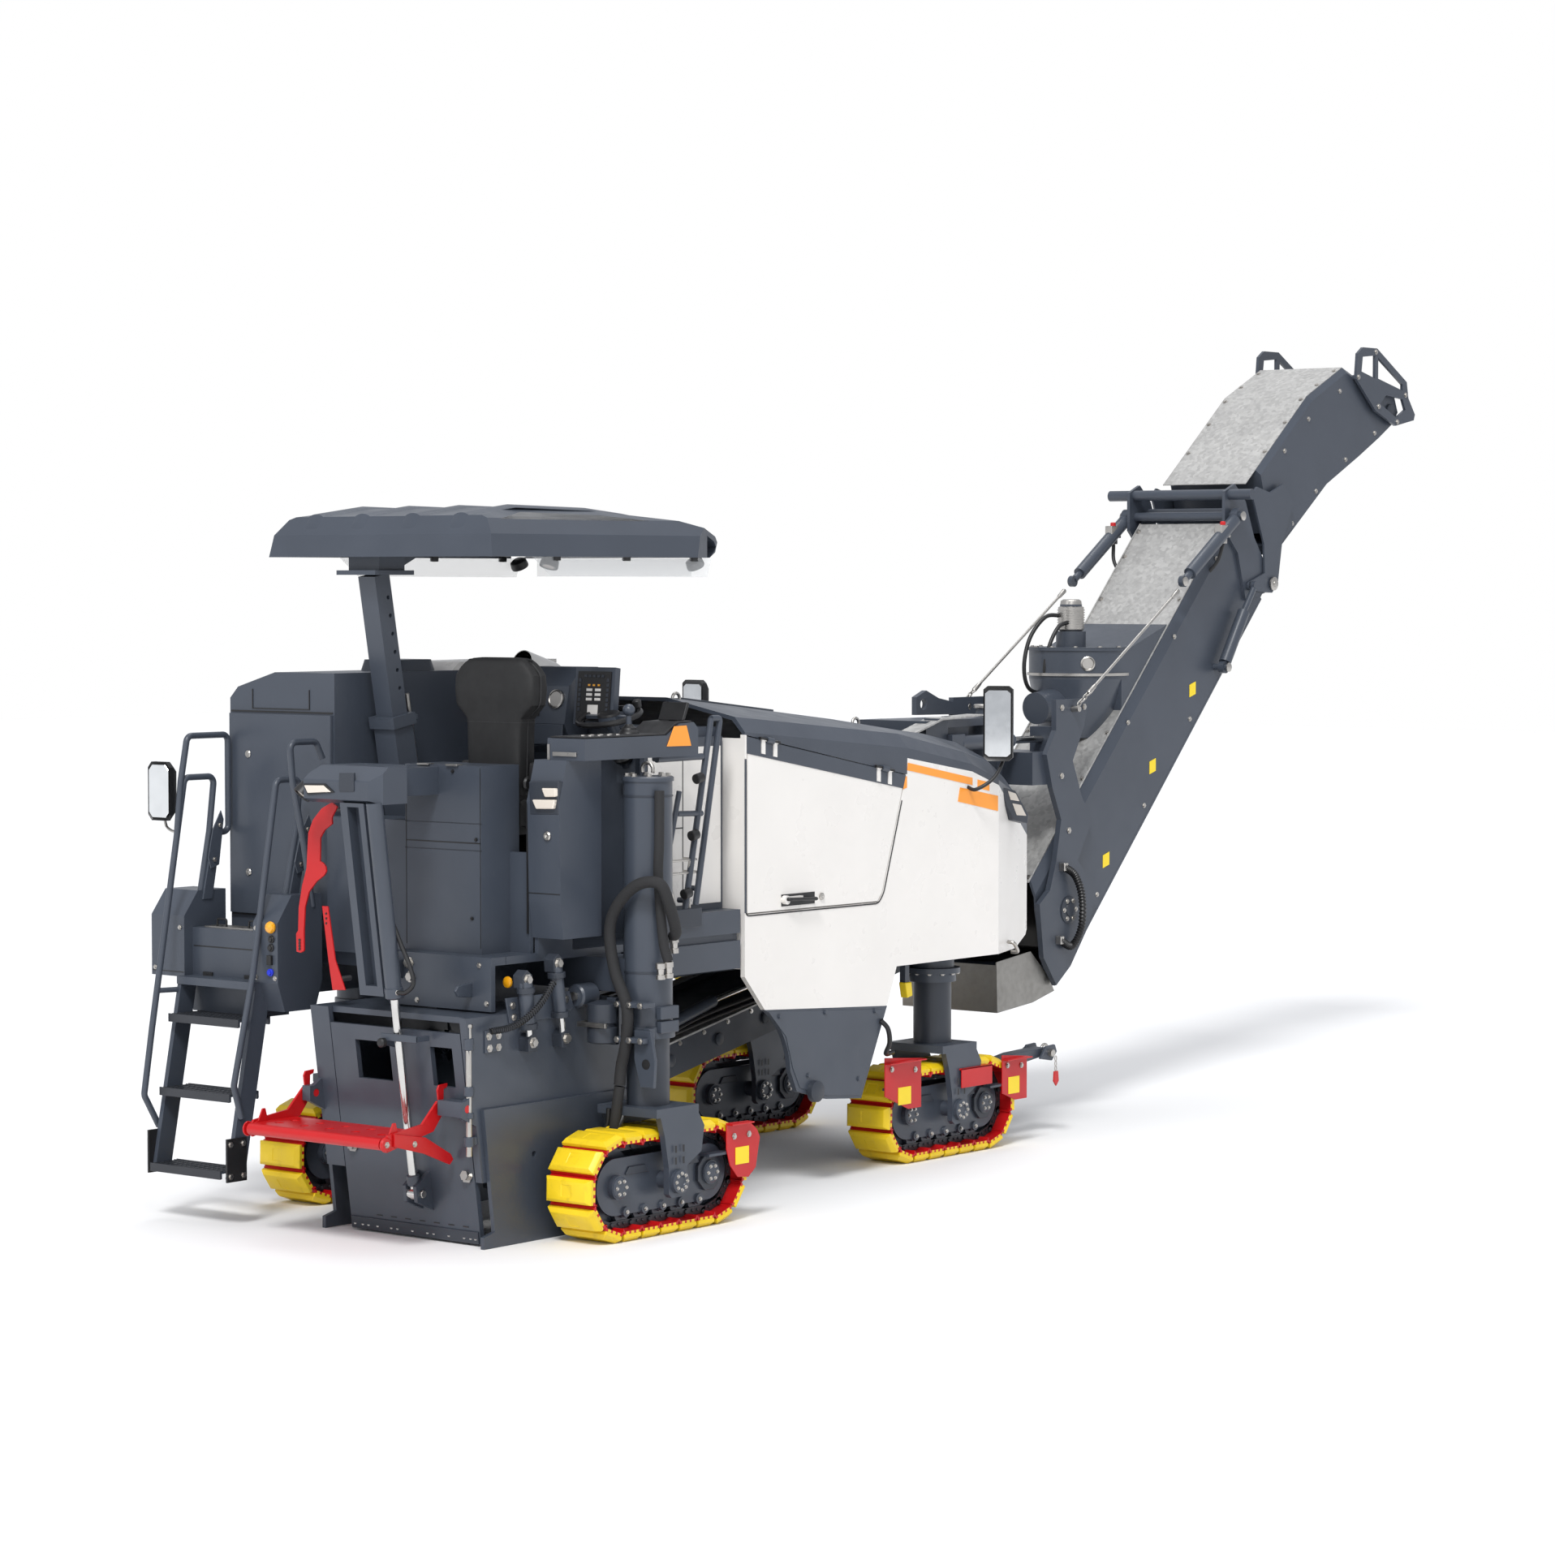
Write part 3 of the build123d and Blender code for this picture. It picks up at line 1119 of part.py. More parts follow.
with BuildPart() as rear_cabinet:
    end_panel(cabinet_section, (0.0, 1740.0))
    end_panel(cabinet_inside, (CABINET_SKIN, 1740.0 - CABINET_SKIN), mode=Mode.SUBTRACT)
    doorway = (CABINET_RIGHT + 40, DOOR_LEFT - 30)
    block((-1.0, CABINET_SKIN + 1), doorway, (DOOR_SILL + 30, DOOR_HEAD - 30), mode=Mode.SUBTRACT)
    # Air intake hump.
    with BuildSketch(Plane.XY.offset(CABINET_ROOF - 1)):
        with Locations((700.0, 540.0)):
            RectangleRounded(330.0, 300.0, 60.0)
    extrude(amount=61.0, taper=18.0)
keep(rear_cabinet, "rear_cabinet")

# The panel over the rear of the cabinet lifts off.
with BuildPart() as cabinet_panel:
    block((-24.0, 0.0), (CABINET_RIGHT + 10, DOOR_LEFT), (DOOR_SILL, DOOR_HEAD))
    fillet(cabinet_panel.edges().filter_by(Axis.Z).group_by(Axis.X)[0], radius=8.0)
keep(cabinet_panel, "cabinet_panel")

# ================================================================ light covers and the exhaust
with BuildPart() as exhaust_cover:
    block((1390.0, 1740.0), (30.0, CABINET_RIGHT), (2540.0, 2660.0))
    block((1414.0, 1716.0), (54.0, CABINET_RIGHT - 24), (2540.0, 2636.0), mode=Mode.SUBTRACT)
    side_panel(
        [(900.0, CABINET_ROOF), (960.0, 2884.0), (1740.0, 2890.0), (1740.0, CABINET_ROOF)],
        (CABINET_RIGHT + 10, 740.0),
    )
keep(exhaust_cover, "exhaust_cover")

with BuildPart() as exhaust_pipe:
    tube_rail([(1560.0, 160.0, 2660.0), (1560.0, 160.0, 2790.0), (1270.0, 160.0, 2875.0)], 74.0, 100.0)
    faces = exhaust_pipe.faces().sort_by(Axis.X)
    offset(amount=-4.0, openings=[faces[0]])
keep(exhaust_pipe, "exhaust_pipe")

# ================================================================ mast and canopy
def roof_outline(inset):
    """Side profile of the canopy roof, drawn in by a wall thickness."""
    return [
        (0.0 + inset, CANOPY_BOTTOM),
        (18.0 + inset, 3560.0 - inset),
        (70.0 + inset, 3655.0 - inset),
        (420.0, 3700.0 - inset),
        (1000.0, 3690.0 - inset),
        (1560.0, 3640.0 - inset),
        (CANOPY_LENGTH - 40.0 - inset, 3560.0 - inset),
        (CANOPY_LENGTH - inset, 3530.0 - inset),
        (CANOPY_LENGTH - 40.0 - inset, CANOPY_BOTTOM + 30.0),
        (1840.0, CANOPY_BOTTOM),
    ]


def between(start, end, x):
    """Height at X on the straight line between two points."""
    return start[1] + (x - start[0]) * (end[1] - start[1]) / (end[0] - start[0])


with BuildPart() as mast_base:
    box_bar(MAST_FOOT, mast_point(MAST_COLLAR_Z), MAST_WIDTH + 2 * MAST_TUBE, MAST_DEPTH + 2 * MAST_TUBE)
    box_bar(mast_point(MAST_COLLAR_Z - 60), mast_point(MAST_COLLAR_Z), MAST_WIDTH + 60, MAST_DEPTH + 60)
    box_bar(
        mast_point(1600.0),
        mast_point(MAST_COLLAR_Z + 5),
        MAST_WIDTH + 2 * SLIDE_GAP,
        MAST_DEPTH + 2 * SLIDE_GAP,
        mode=Mode.SUBTRACT,
    )
    block((-200.0, 2000.0), (0.0, 400.0), (1300.0, FLOOR_Z), mode=Mode.SUBTRACT)
    block((410.0, 620.0), (MAST_Y - 90, MAST_Y + 90), (FLOOR_Z, FLOOR_Z + 24))
keep(mast_base, "mast_base")

with BuildPart() as canopy_mast:
    box_bar(mast_point(2050.0), mast_point(3352.0), MAST_WIDTH, MAST_DEPTH)
    for row in range(6):
        z = 2760.0 + 95.0 * row
        hole_span = (MAST_Y - MAST_WIDTH / 2 - 1, MAST_Y - MAST_WIDTH / 2 + 20)
        cross_bar(mast_point(z)[0] + 24, z, 11.0, hole_span, mode=Mode.SUBTRACT)
    block((40.0, 330.0), (MAST_Y - 140, MAST_Y + 140), (3352.0, 3376.0))
    # Box and gusset arm reach up to the inside of the roof.
    crown = roof_outline(CANOPY_SHEET)[2:5]
    side_panel(
        [
            (100.0, 3376.0),
            (290.0, 3376.0),
            (290.0, between(crown[0], crown[1], 290.0)),
            (100.0, between(crown[0], crown[1], 100.0)),
        ],
        (MAST_Y - 110, MAST_Y + 110),
    )
    side_panel(
        [
            (280.0, 3376.0),
            (560.0, 3500.0),
            (560.0, between(crown[1], crown[2], 560.0)),
            crown[1],
            (280.0, between(crown[0], crown[1], 280.0)),
        ],
        (MAST_Y - 60, MAST_Y + 60),
    )
keep(canopy_mast, "canopy_mast")


half_width = CANOPY_WIDTH / 2
with BuildPart() as canopy_roof:
    side_panel(roof_outline(0.0), (-half_width, half_width))
    # Sides lean in towards the top, with a longer bevel along the crown.
    for side in (-1, 1):
        end_panel(
            [
                (side * half_width, CANOPY_BOTTOM - 5),
                (side * (half_width - 22), 3560.0),
                (side * (half_width - 90), 3640.0),
                (side * (half_width - 300), 3710.0),
                (side * (half_width + 60), 3710.0),
                (side * (half_width + 60), CANOPY_BOTTOM - 5),
            ],
            (-20.0, CANOPY_LENGTH + 20),
            mode=Mode.SUBTRACT,
        )
        # Corners cut back at the front.
        floor_panel(
            [
                (CANOPY_LENGTH + 20, side * (half_width - 190)),
                (CANOPY_LENGTH + 20, side * (half_width + 60)),
                (CANOPY_LENGTH - 420, side * (half_width + 60)),
                (CANOPY_LENGTH - 380, side * half_width),
            ],
            (3400.0, 3750.0),
            mode=Mode.SUBTRACT,
        )
    # Scoops along the rear crown.
    for scoop in range(5):
        y = (scoop - 2) * 300.0
        scoop_plane = Plane(origin=(0.0, y, 3745.0), x_dir=(0, 1, 0), z_dir=(1, 0, -0.06))
        with BuildSketch(scoop_plane) as hollow:
            Ellipse(105.0, 62.0)
        extrude(hollow.sketch, amount=330.0, mode=Mode.SUBTRACT, taper=5.0)
    inner_half = half_width - CANOPY_SHEET - 60
    side_panel(roof_outline(CANOPY_SHEET), (-inner_half, inner_half), mode=Mode.SUBTRACT)
keep(canopy_roof, "canopy_roof")

# ================================================================ access ladder and rails

def ladder_x(z):
    """X of the leaning plane of the access ladder at a height."""
    return LADDER_TOP_X - (LADDER_TOP_Z - z) * LADDER_LEAN


with BuildPart() as access_ladder:
    # Stringers end in boxes that stand off the cabinet.
    for y in LADDER_SIDES:
        low, high = (y - 14, y + 14)
        side_panel(
            [
                (ladder_x(LADDER_FOOT_Z) - 55, LADDER_FOOT_Z),
                (ladder_x(LADDER_FOOT_Z) + 55, LADDER_FOOT_Z),
                (ladder_x(1250.0) + 55, 1250.0),
                (ladder_x(1250.0) - 55, 1250.0),
            ],
            (low, high),
        )
    for z, depth in ((270.0, 180.0), (660.0, 200.0), (1040.0, 220.0)):
        block(
            (ladder_x(z) - depth / 2, ladder_x(z) + depth / 2),
            (LADDER_SIDES[0] + 14, LADDER_SIDES[1] - 14),
            (z - 18, z + 18),
        )
        block(
            (ladder_x(z) - depth / 2 + 8, ladder_x(z) + depth / 2 - 8),
            (LADDER_SIDES[0] + 14, LADDER_SIDES[1] - 14),
            (z - 19, z + 10),
            mode=Mode.SUBTRACT,
        )
    # Chest at the head of the ladder with a box at either side, tied to the floor by a shelf.
    block((-330.0, -165.0), (500.0, 1050.0), (1060.0, 1500.0))
    side_panel(
        [(-390.0, 1240.0), (-90.0, 1240.0), (-90.0, 1690.0), (-290.0, 1690.0), (-390.0, 1560.0)],
        (1050.0, 1300.0),
    )
    side_panel(
        [
            (-420.0, 1250.0),
            (-370.0, 1100.0),
            (-150.0, 1100.0),
            (-100.0, 1250.0),
            (-100.0, 1700.0),
            (-320.0, 1700.0),
            (-420.0, 1560.0),
        ],
        (320.0, 500.0),
    )
    block((-457.0, -320.0), (LADDER_SIDES[0] - 14, LADDER_SIDES[1] + 14), (1210.0, 1250.0))
    block((-240.0, 20.0), (FRAME_Y, 1290.0), (1350.0, FRAME_REAR_TOP))
    # Hand rails rise from the stringers past the boxes and loop over beside the cabinet.
    for route in (
        [
            (-560.0, 1070.0, 470.0),
            (-662.0, 1070.0, 640.0),
            (-603.0, 1070.0, 987.0),
            (-362.0, 1070.0, 2288.0),
            (-150.0, 1070.0, 2288.0),
            (-187.0, 1070.0, 2000.0),
            (-262.0, 1070.0, 1640.0),
        ],
        [
            (-419.0, 1070.0, 1976.0),
            (-388.0, 1070.0, 2269.0),
            (-340.0, 1070.0, 2506.0),
            (-49.0, 1070.0, 2506.0),
            (-49.0, 1070.0, 1990.0),
            (-188.0, 1070.0, 1990.0),
        ],
        [
            (-560.0, 450.0, 560.0),
            (-611.0, 450.0, 730.0),
            (-470.0, 450.0, 1295.0),
            (-296.0, 450.0, 2291.0),
            (-130.0, 450.0, 2291.0),
            (-150.0, 450.0, 2045.0),
            (-235.0, 450.0, 1680.0),
        ],
        [
            (-160.0, 330.0, 1634.0),
            (-217.0, 330.0, 1957.0),
            (-295.0, 330.0, 2280.0),
            (-315.0, 330.0, 2490.0),
            (-130.0, 330.0, 2490.0),
            (-80.0, 330.0, 2400.0),
        ],
    ):
        tube_rail(route, 17.0, 38.0)
    cross_bar(-566.0, 480.0, 14.0, (1030.0, 1072.0))
    bar_between((-568.0, 1070.0, 1180.0), (-440.0, 1030.0, 1180.0), 14.0)
keep(access_ladder, "access_ladder")

# ================================================================ discharge conveyor swivel
with BuildPart() as conveyor_swivel:
    # Slewing pin with its hub between the two nose plates.
    upright_bar(SLEW_X, 0.0, SLEW_PIN_RADIUS, (NOSE_PLATE_LOW - 60, NOSE_PLATE_HIGH + NOSE_PLATE + 50))
    upright_bar(SLEW_X, 0.0, 105.0, (NOSE_PLATE_LOW + NOSE_PLATE + 1, NOSE_PLATE_HIGH - 1))
    block((SLEW_X, 5650.0), (-ARM_INNER, ARM_INNER), (2070.0, 2270.0))
    block((SLEW_X - 60, 5650.0), (-150.0, 150.0), (2110.0, 2230.0))
    arm = [
        (5500.0, 2590.0),
        (5850.0, 2590.0),
        (5800.0, 2418.0),
        (5680.0, 2210.0),
        (5776.0, 1990.0),
        (5890.0, 1834.0),
        (5740.0, 1590.0),
        (5940.0, 1380.0),
        (5861.0, 1178.0),
        (5664.0, 939.0),
        (5512.0, 830.0),
        (5375.0, 1011.0),
        (5330.0, 1340.0),
        (5440.0, 1420.0),
        (5507.0, 1600.0),
        (5558.0, 1850.0),
        (5461.0, 2054.0),
        (5400.0, 2256.0),
        (5500.0, 2402.0),
    ]
    for side in (-1, 1):
        low, high = sorted((side * ARM_INNER, side * ARM_OUTER))
        side_panel(arm, (low, high))
        cross_bar(TILT_X, TILT_Z, TILT_PIN_RADIUS + 45, (low, high))
        cross_bar(TILT_X, TILT_Z, TILT_PIN_RADIUS + SLIDE_GAP, (low, high), mode=Mode.SUBTRACT)
        # Hole that takes the stay rope.
        cross_bar(5676.0, 2530.0, 20.0, (low, high), mode=Mode.SUBTRACT)
    # Lifting lug on the left arm.
    side_panel(
        [
            (5115.0, 2490.0),
            (5520.0, 2485.0),
            (5520.0, 2560.0),
            (5346.0, 2590.0),
            (5219.0, 2640.0),
            (5115.0, 2600.0),
        ],
        (ARM_INNER, ARM_OUTER),
    )
    cross_bar(5190.0, 2555.0, 34.0, (ARM_INNER, ARM_OUTER), mode=Mode.SUBTRACT)
    # Clevis plates for the slewing cylinders.
    for side in (-1, 1):
        low, high = sorted((side * 170, side * 330))
        block((5560.0, 5650.0), (low, high), (2270.0, 2420.0))
keep(conveyor_swivel, "conveyor_swivel")

# ================================================================ lower boom
boom_way = Vector(BOOM_KNEE[0] - BOOM_FOOT[0], 0, BOOM_KNEE[1] - BOOM_FOOT[1])
boom_length = boom_way.length
boom_up = Vector(-boom_way.Z, 0, boom_way.X).normalized()


def boom_point(along, depth):
    """Machine X and Z of a point on the lower boom: run from its foot, height over its sole."""
    point = boom_way.normalized() * along + boom_up * depth
    return (BOOM_FOOT[0] + point.X, BOOM_FOOT[1] + point.Z)


def boom_section(half, sole, top, bevel):
    """Outline across the boom: flat sole, upright sides and a bevel along the upper edges."""
    return [
        (-half, sole),
        (half, sole),
        (half, top - 2 * bevel),
        (half - bevel, top),
        (-half + bevel, top),
        (-half, top - 2 * bevel),
    ]


boom_plane = Plane(origin=(BOOM_FOOT[0], 0, BOOM_FOOT[1]), x_dir=(0, 1, 0), z_dir=boom_way)
boom_sign = 1 if boom_plane.y_dir.dot(boom_up) > 0 else -1


def boom_run(points, start, length, mode=Mode.ADD):
    """Extrudes an outline across the boom over a length of its run."""
    with BuildSketch(boom_plane.offset(start)) as face:
        with BuildLine():
            Polyline(*[(y, boom_sign * depth) for y, depth in points], close=True)
        make_face()
    extrude(face.sketch, amount=length, mode=mode)


with BuildPart() as lower_boom:
    boom_run(boom_section(BOOM_HALF, 0.0, BOOM_DEPTH, BOOM_BEVEL), 0.0, boom_length)
    boom_run(
        boom_section(BOOM_HALF - BOOM_SHEET, 60.0, BOOM_DEPTH - BOOM_SHEET, BOOM_BEVEL),
        -1.0,
        boom_length + 2,
        mode=Mode.SUBTRACT,
    )
    slot = [
        (-COVER_HALF, 300.0),
        (COVER_HALF, 300.0),
        (COVER_HALF, BOOM_DEPTH + 5),
        (-COVER_HALF, BOOM_DEPTH + 5),
    ]
    boom_run(slot, 120.0, boom_length - 240, mode=Mode.SUBTRACT)
    # The return run of the belt shows in the open sole.
    sole_half = BOOM_HALF - 50
    open_sole = [(-sole_half, -5.0), (sole_half, -5.0), (sole_half, 70.0), (-sole_half, 70.0)]
    boom_run(open_sole, 260.0, boom_length - 420, mode=Mode.SUBTRACT)
    # Foot and knee ends are cut to the machine's own lines.
    side_panel(
        [(4900.0, 600.0), (5520.0, 600.0), (5360.0, 1300.0), (5330.0, 1800.0), (4900.0, 1800.0)],
        (-BOOM_HALF - 5, BOOM_HALF + 5),
        mode=Mode.SUBTRACT,
    )
    side_panel(
        [
            (BOOM_KNEE[0] + 40, BOOM_KNEE[1] - 40),
            (KNEE_PIN_X - 60, KNEE_PIN_Z + 120),
            (7780.0, 3780.0),
            (7640.0, 4100.0),
            (8300.0, 4100.0),
            (8300.0, 3300.0),
        ],
        (-BOOM_HALF - 5, BOOM_HALF + 5),
        mode=Mode.SUBTRACT,
    )
    for side in (-1, 1):
        # Tilt pins at the foot.
        low, high = sorted((side * (BOOM_HALF - BOOM_SHEET), side * (ARM_OUTER + 10)))
        cross_bar(TILT_X, TILT_Z, TILT_PIN_RADIUS, (low, high))
        low, high = sorted((side * BOOM_HALF, side * (ARM_INNER - 6)))
        cross_bar(TILT_X, TILT_Z, TILT_PIN_RADIUS + 40, (low, high))
        # Knee plates with the bore of the folding pin.
        low, high = sorted((side * BOOM_HALF, side * (BOOM_HALF + KNEE_PLATE)))
        side_panel(
            [
                (7440.0, 3900.0),
                (7560.0, 3950.0),
                (7690.0, 3840.0),
                (7800.0, 3600.0),
                (8010.0, 3340.0),
                (8030.0, 3290.0),
                (7980.0, 3250.0),
                (7700.0, 3190.0),
                (7600.0, 3500.0),
                (7440.0, 3650.0),
            ],
            (low, high),
        )
        cross_bar(KNEE_PIN_X, KNEE_PIN_Z, KNEE_PIN_RADIUS + 30, (low, high))
        cross_bar(KNEE_PIN_X, KNEE_PIN_Z, KNEE_PIN_RADIUS + SLIDE_GAP, (low, high), mode=Mode.SUBTRACT)
        # Ear that takes the folding cylinder.
        low, high = sorted((side * BOOM_HALF, side * (STAY_Y + 40)))
        cross_bar(7360.0, 2760.0, 22.0, (low, high))
    cross_bar(7500.0, 3880.0, 35.0, (-555.0, 555.0))
    cross_bar(7520.0, 3740.0, 30.0, (-470.0, 470.0))
keep(lower_boom, "lower_boom")

with BuildPart() as lower_cover:
    plate = [
        (-COVER_HALF - 8, BOOM_DEPTH),
        (COVER_HALF + 8, BOOM_DEPTH),
        (COVER_HALF + 8, BOOM_DEPTH + 4),
        (-COVER_HALF - 8, BOOM_DEPTH + 4),
    ]
    boom_run(plate, 300.0, 3110.0)
keep(lower_cover, "lower_cover")

# Receiving hopper and tail under the swivel.
with BuildPart() as conveyor_tail:
    side_panel(
        [
            (4950.0, 1010.0),
            (4960.0, 700.0),
            (5330.0, 735.0),
            (5560.0, 790.0),
            (5380.0, 1060.0),
        ],
        (-BOOM_HALF, BOOM_HALF),
    )
    side_panel(
        [
            (4900.0, 1030.0),
            (4900.0, 990.0),
            (4972.0, 990.0),
            (4975.0, 716.0),
            (5330.0, 751.0),
            (5590.0, 812.0),
            (5380.0, 1100.0),
            (4950.0, 1100.0),
        ],
        (-BOOM_HALF + 8, BOOM_HALF - 8),
        mode=Mode.SUBTRACT,
    )
    side_panel(
        [BOOM_FOOT, (BOOM_FOOT[0] + 300, BOOM_FOOT[1] + 290), (5440.0, 1400.0), (5250.0, 1100.0)],
        (-BOOM_HALF - 5, BOOM_HALF + 5),
        mode=Mode.SUBTRACT,
    )
keep(conveyor_tail, "conveyor_tail")

with BuildPart() as lower_belt:
    for depth in (80.0, 240.0):
        run = [(-310.0, depth), (310.0, depth), (310.0, depth + 12), (-310.0, depth + 12)]
        boom_run(run, 100.0, boom_length - 240)
    # Idlers hold the belt between the sides of the boom.
    for along in (220.0, 900.0, 1580.0, 2260.0, 2940.0):
        for depth in (104.0, 228.0):
            x, z = boom_point(along, depth)
            cross_bar(x, z, 24.0, (-BOOM_HALF + BOOM_SHEET, BOOM_HALF - BOOM_SHEET))
keep(lower_belt, "lower_belt")

# Dust extractor on the lower cover.
with BuildPart() as dust_extractor:
    upright_bar(FAN_X, 0.0, FAN_RADIUS, (2700.0, 2900.0))
    upright_bar(FAN_X, 0.0, FAN_RADIUS + 10, (2880.0, 2892.0))
    with BuildSketch(Plane.XY.offset(2701.0)):
        with Locations((FAN_X, 0.0)):
            Circle(FAN_RADIUS)
    with BuildSketch(Plane.XY.offset(2330.0)):
        with Locations((FAN_X - 60, 0.0)):
            Circle(210.0)
    loft(ruled=True)
    upright_bar(FAN_X - 60, 24.0, 95.0, (2900.0, 3000.0))
    upright_bar(FAN_X - 60, 24.0, 70.0, (3000.0, 3170.0))
    side_panel([(FAN_X, 2860.0), (6860.0, 3040.0), (6860.0, 2750.0), (6350.0, 2250.0)], (-320.0, 320.0))
    # Inlet duct reaches back to the swivel.
    bar_between((6240.0, 0.0, 2560.0), (5860.0, 0.0, 2520.0), 100.0)
    # The lower side follows the cover of the boom.
    side_panel(
        [
            boom_point(-600.0, BOOM_DEPTH + 4),
            boom_point(3600.0, BOOM_DEPTH + 4),
            boom_point(3600.0, -200.0),
            boom_point(-600.0, -200.0),
        ],
        (-500.0, 500.0),
        mode=Mode.SUBTRACT,
    )
keep(dust_extractor, "dust_extractor")

# Stay cylinders at the knee and folding cylinders under it, each with its eyes.
with BuildPart() as knee_cylinders:
    for side in (-1, 1):
        y = side * STAY_Y
        bar_between((7483.0, y, 3715.0), (6960.0, y, 3366.0), 42.0)
        bar_between((6960.0, y, 3366.0), (6890.0, y, 3322.0), 24.0)
        cross_bar(6880.0, 3316.0, 36.0, (y - 16, y + 16))
        cross_bar(7520.0, 3740.0, 52.0, (y - 24, y + 24))
        cross_bar(7520.0, 3740.0, 30.0 + 0.05, (y - 24, y + 24), mode=Mode.SUBTRACT)
        cross_bar(7360.0, 2760.0, 40.0, (y - 20, y + 20))
        cross_bar(7360.0, 2760.0, 22.05, (y - 20, y + 20), mode=Mode.SUBTRACT)
        bar_between((7378.0, y, 2789.0), (7600.0, y, 3116.0), 40.0)
        bar_between((7600.0, y, 3116.0), (7720.0, y, 3270.0), 20.0)
        cross_bar(7732.0, 3286.0, 30.0, (y - 14, y + 14))
keep(knee_cylinders, "knee_cylinders")

# ================================================================ upper boom
top_runs = zip(UPPER_TOP[:-1], UPPER_TOP[1:])
top_middles = [Vector((a[0] + b[0]) / 2, 0, (a[1] + b[1]) / 2) for a, b in top_runs]
with BuildPart() as upper_boom:
    side_panel(UPPER_SOLE + UPPER_TOP, (-BOOM_HALF, BOOM_HALF))
    long_edges = [
        edge
        for edge in upper_boom.edges()
        for middle in top_middles
        if (edge.center() - middle - Vector(0, edge.center().Y, 0)).length < 1.0
        if abs(edge.center().Y) > BOOM_HALF - 1
    ]
    chamfer(long_edges, length=BOOM_BEVEL)
    side_panel(
        UPPER_SOLE_INNER + UPPER_TOP_INNER,
        (-BOOM_HALF + BOOM_SHEET, BOOM_HALF - BOOM_SHEET),
        mode=Mode.SUBTRACT,
    )
    # Opening under the cover sheet.
    side_panel(
        [
            (7960.0, 3980.0),
            (8537.0, 4440.0),
            (8940.0, 4640.0),
            (8900.0, 4760.0),
            (8500.0, 4600.0),
            (7920.0, 4130.0),
        ],
        (-COVER_HALF, COVER_HALF),
        mode=Mode.SUBTRACT,
    )
    for side in (-1, 1):
        # Cheeks of the head roller.
        low, high = sorted((side * (BOOM_HALF - BOOM_SHEET), side * BOOM_HALF))
        side_panel(
            [
                (9380.0, 4284.0),
                (9420.0, 4300.0),
                (9600.0, 4400.0),
                (9670.0, 4480.0),
                (9620.0, 4590.0),
                (9385.0, 4622.0),
            ],
            (low, high),
        )
        # Knee plate with the folding pin and the lever of the folding cylinder.
        plate_low = BOOM_HALF + KNEE_PLATE + 5
        low, high = sorted((side * plate_low, side * (plate_low + KNEE_PLATE - 8)))
        side_panel(
            [
                (7745.0, 3880.0),
                (7800.0, 3935.0),
                (7960.0, 3900.0),
                (8120.0, 3960.0),
                (8260.0, 3840.0),
                (8110.0, 3560.0),
                (8060.0, 3290.0),
                (7990.0, 3240.0),
                (7732.0, 3256.0),
                (7732.0, 3316.0),
                (7900.0, 3370.0),
                (7890.0, 3560.0),
            ],
            (low, high),
        )
        cross_bar(7732.0, 3286.0, 30.0, (low, high))
        low, high = sorted((side * BOOM_HALF, side * (plate_low + 2)))
        side_panel([(8110.0, 3560.0), (8260.0, 3680.0), (8230.0, 3820.0), (8110.0, 3780.0)], (low, high))
        low, high = sorted((side * (BOOM_HALF + 2), side * (plate_low + KNEE_PLATE + 4)))
        cross_bar(KNEE_PIN_X, KNEE_PIN_Z, KNEE_PIN_RADIUS, (low, high))
keep(upper_boom, "upper_boom")

with BuildPart() as upper_cover:
    side_panel(
        [
            (7780.0, 3952.6),
            (8532.0, 4553.0),
            (8984.0, 4762.0),
            (8982.0, 4766.0),
            (8530.0, 4557.0),
            (7778.0, 3956.6),
        ],
        (-COVER_HALF - 8, COVER_HALF + 8),
    )
keep(upper_cover, "upper_cover")

with BuildPart() as upper_belt:
    cross_bar(HEAD_X, HEAD_Z, HEAD_RADIUS + BELT, (-310.0, 310.0))
    cross_bar(HEAD_X, HEAD_Z, 30.0, (-BOOM_HALF + BOOM_SHEET, BOOM_HALF - BOOM_SHEET))
    side_panel(
        [
            (8060.0, 3760.0),
            (8640.0, 4240.0),
            (9050.0, 4440.0),
            (HEAD_X - 20, HEAD_Z + HEAD_RADIUS + BELT - 2),
            (HEAD_X - 20, HEAD_Z + HEAD_RADIUS - 4),
            (9054.0, 4428.0),
            (8644.0, 4228.0),
            (8064.0, 3748.0),
        ],
        (-310.0, 310.0),
    )
    side_panel(
        [
            (8130.0, 3620.0),
            (8720.0, 4070.0),
            (9140.0, 4270.0),
            (HEAD_X - 20, HEAD_Z - HEAD_RADIUS + 4),
            (HEAD_X - 20, HEAD_Z - HEAD_RADIUS - BELT + 2),
            (9144.0, 4258.0),
            (8724.0, 4058.0),
            (8134.0, 3608.0),
        ],
        (-310.0, 310.0),
    )
    for x, z in (
        (8270.0, 3905.0),
        (8640.0, 4212.0),
        (9050.0, 4412.0),
        (8300.0, 3758.0),
        (8720.0, 4084.0),
        (9140.0, 4286.0),
    ):
        cross_bar(x, z, 22.0, (-BOOM_HALF + BOOM_SHEET, BOOM_HALF - BOOM_SHEET))
keep(upper_belt, "upper_belt")

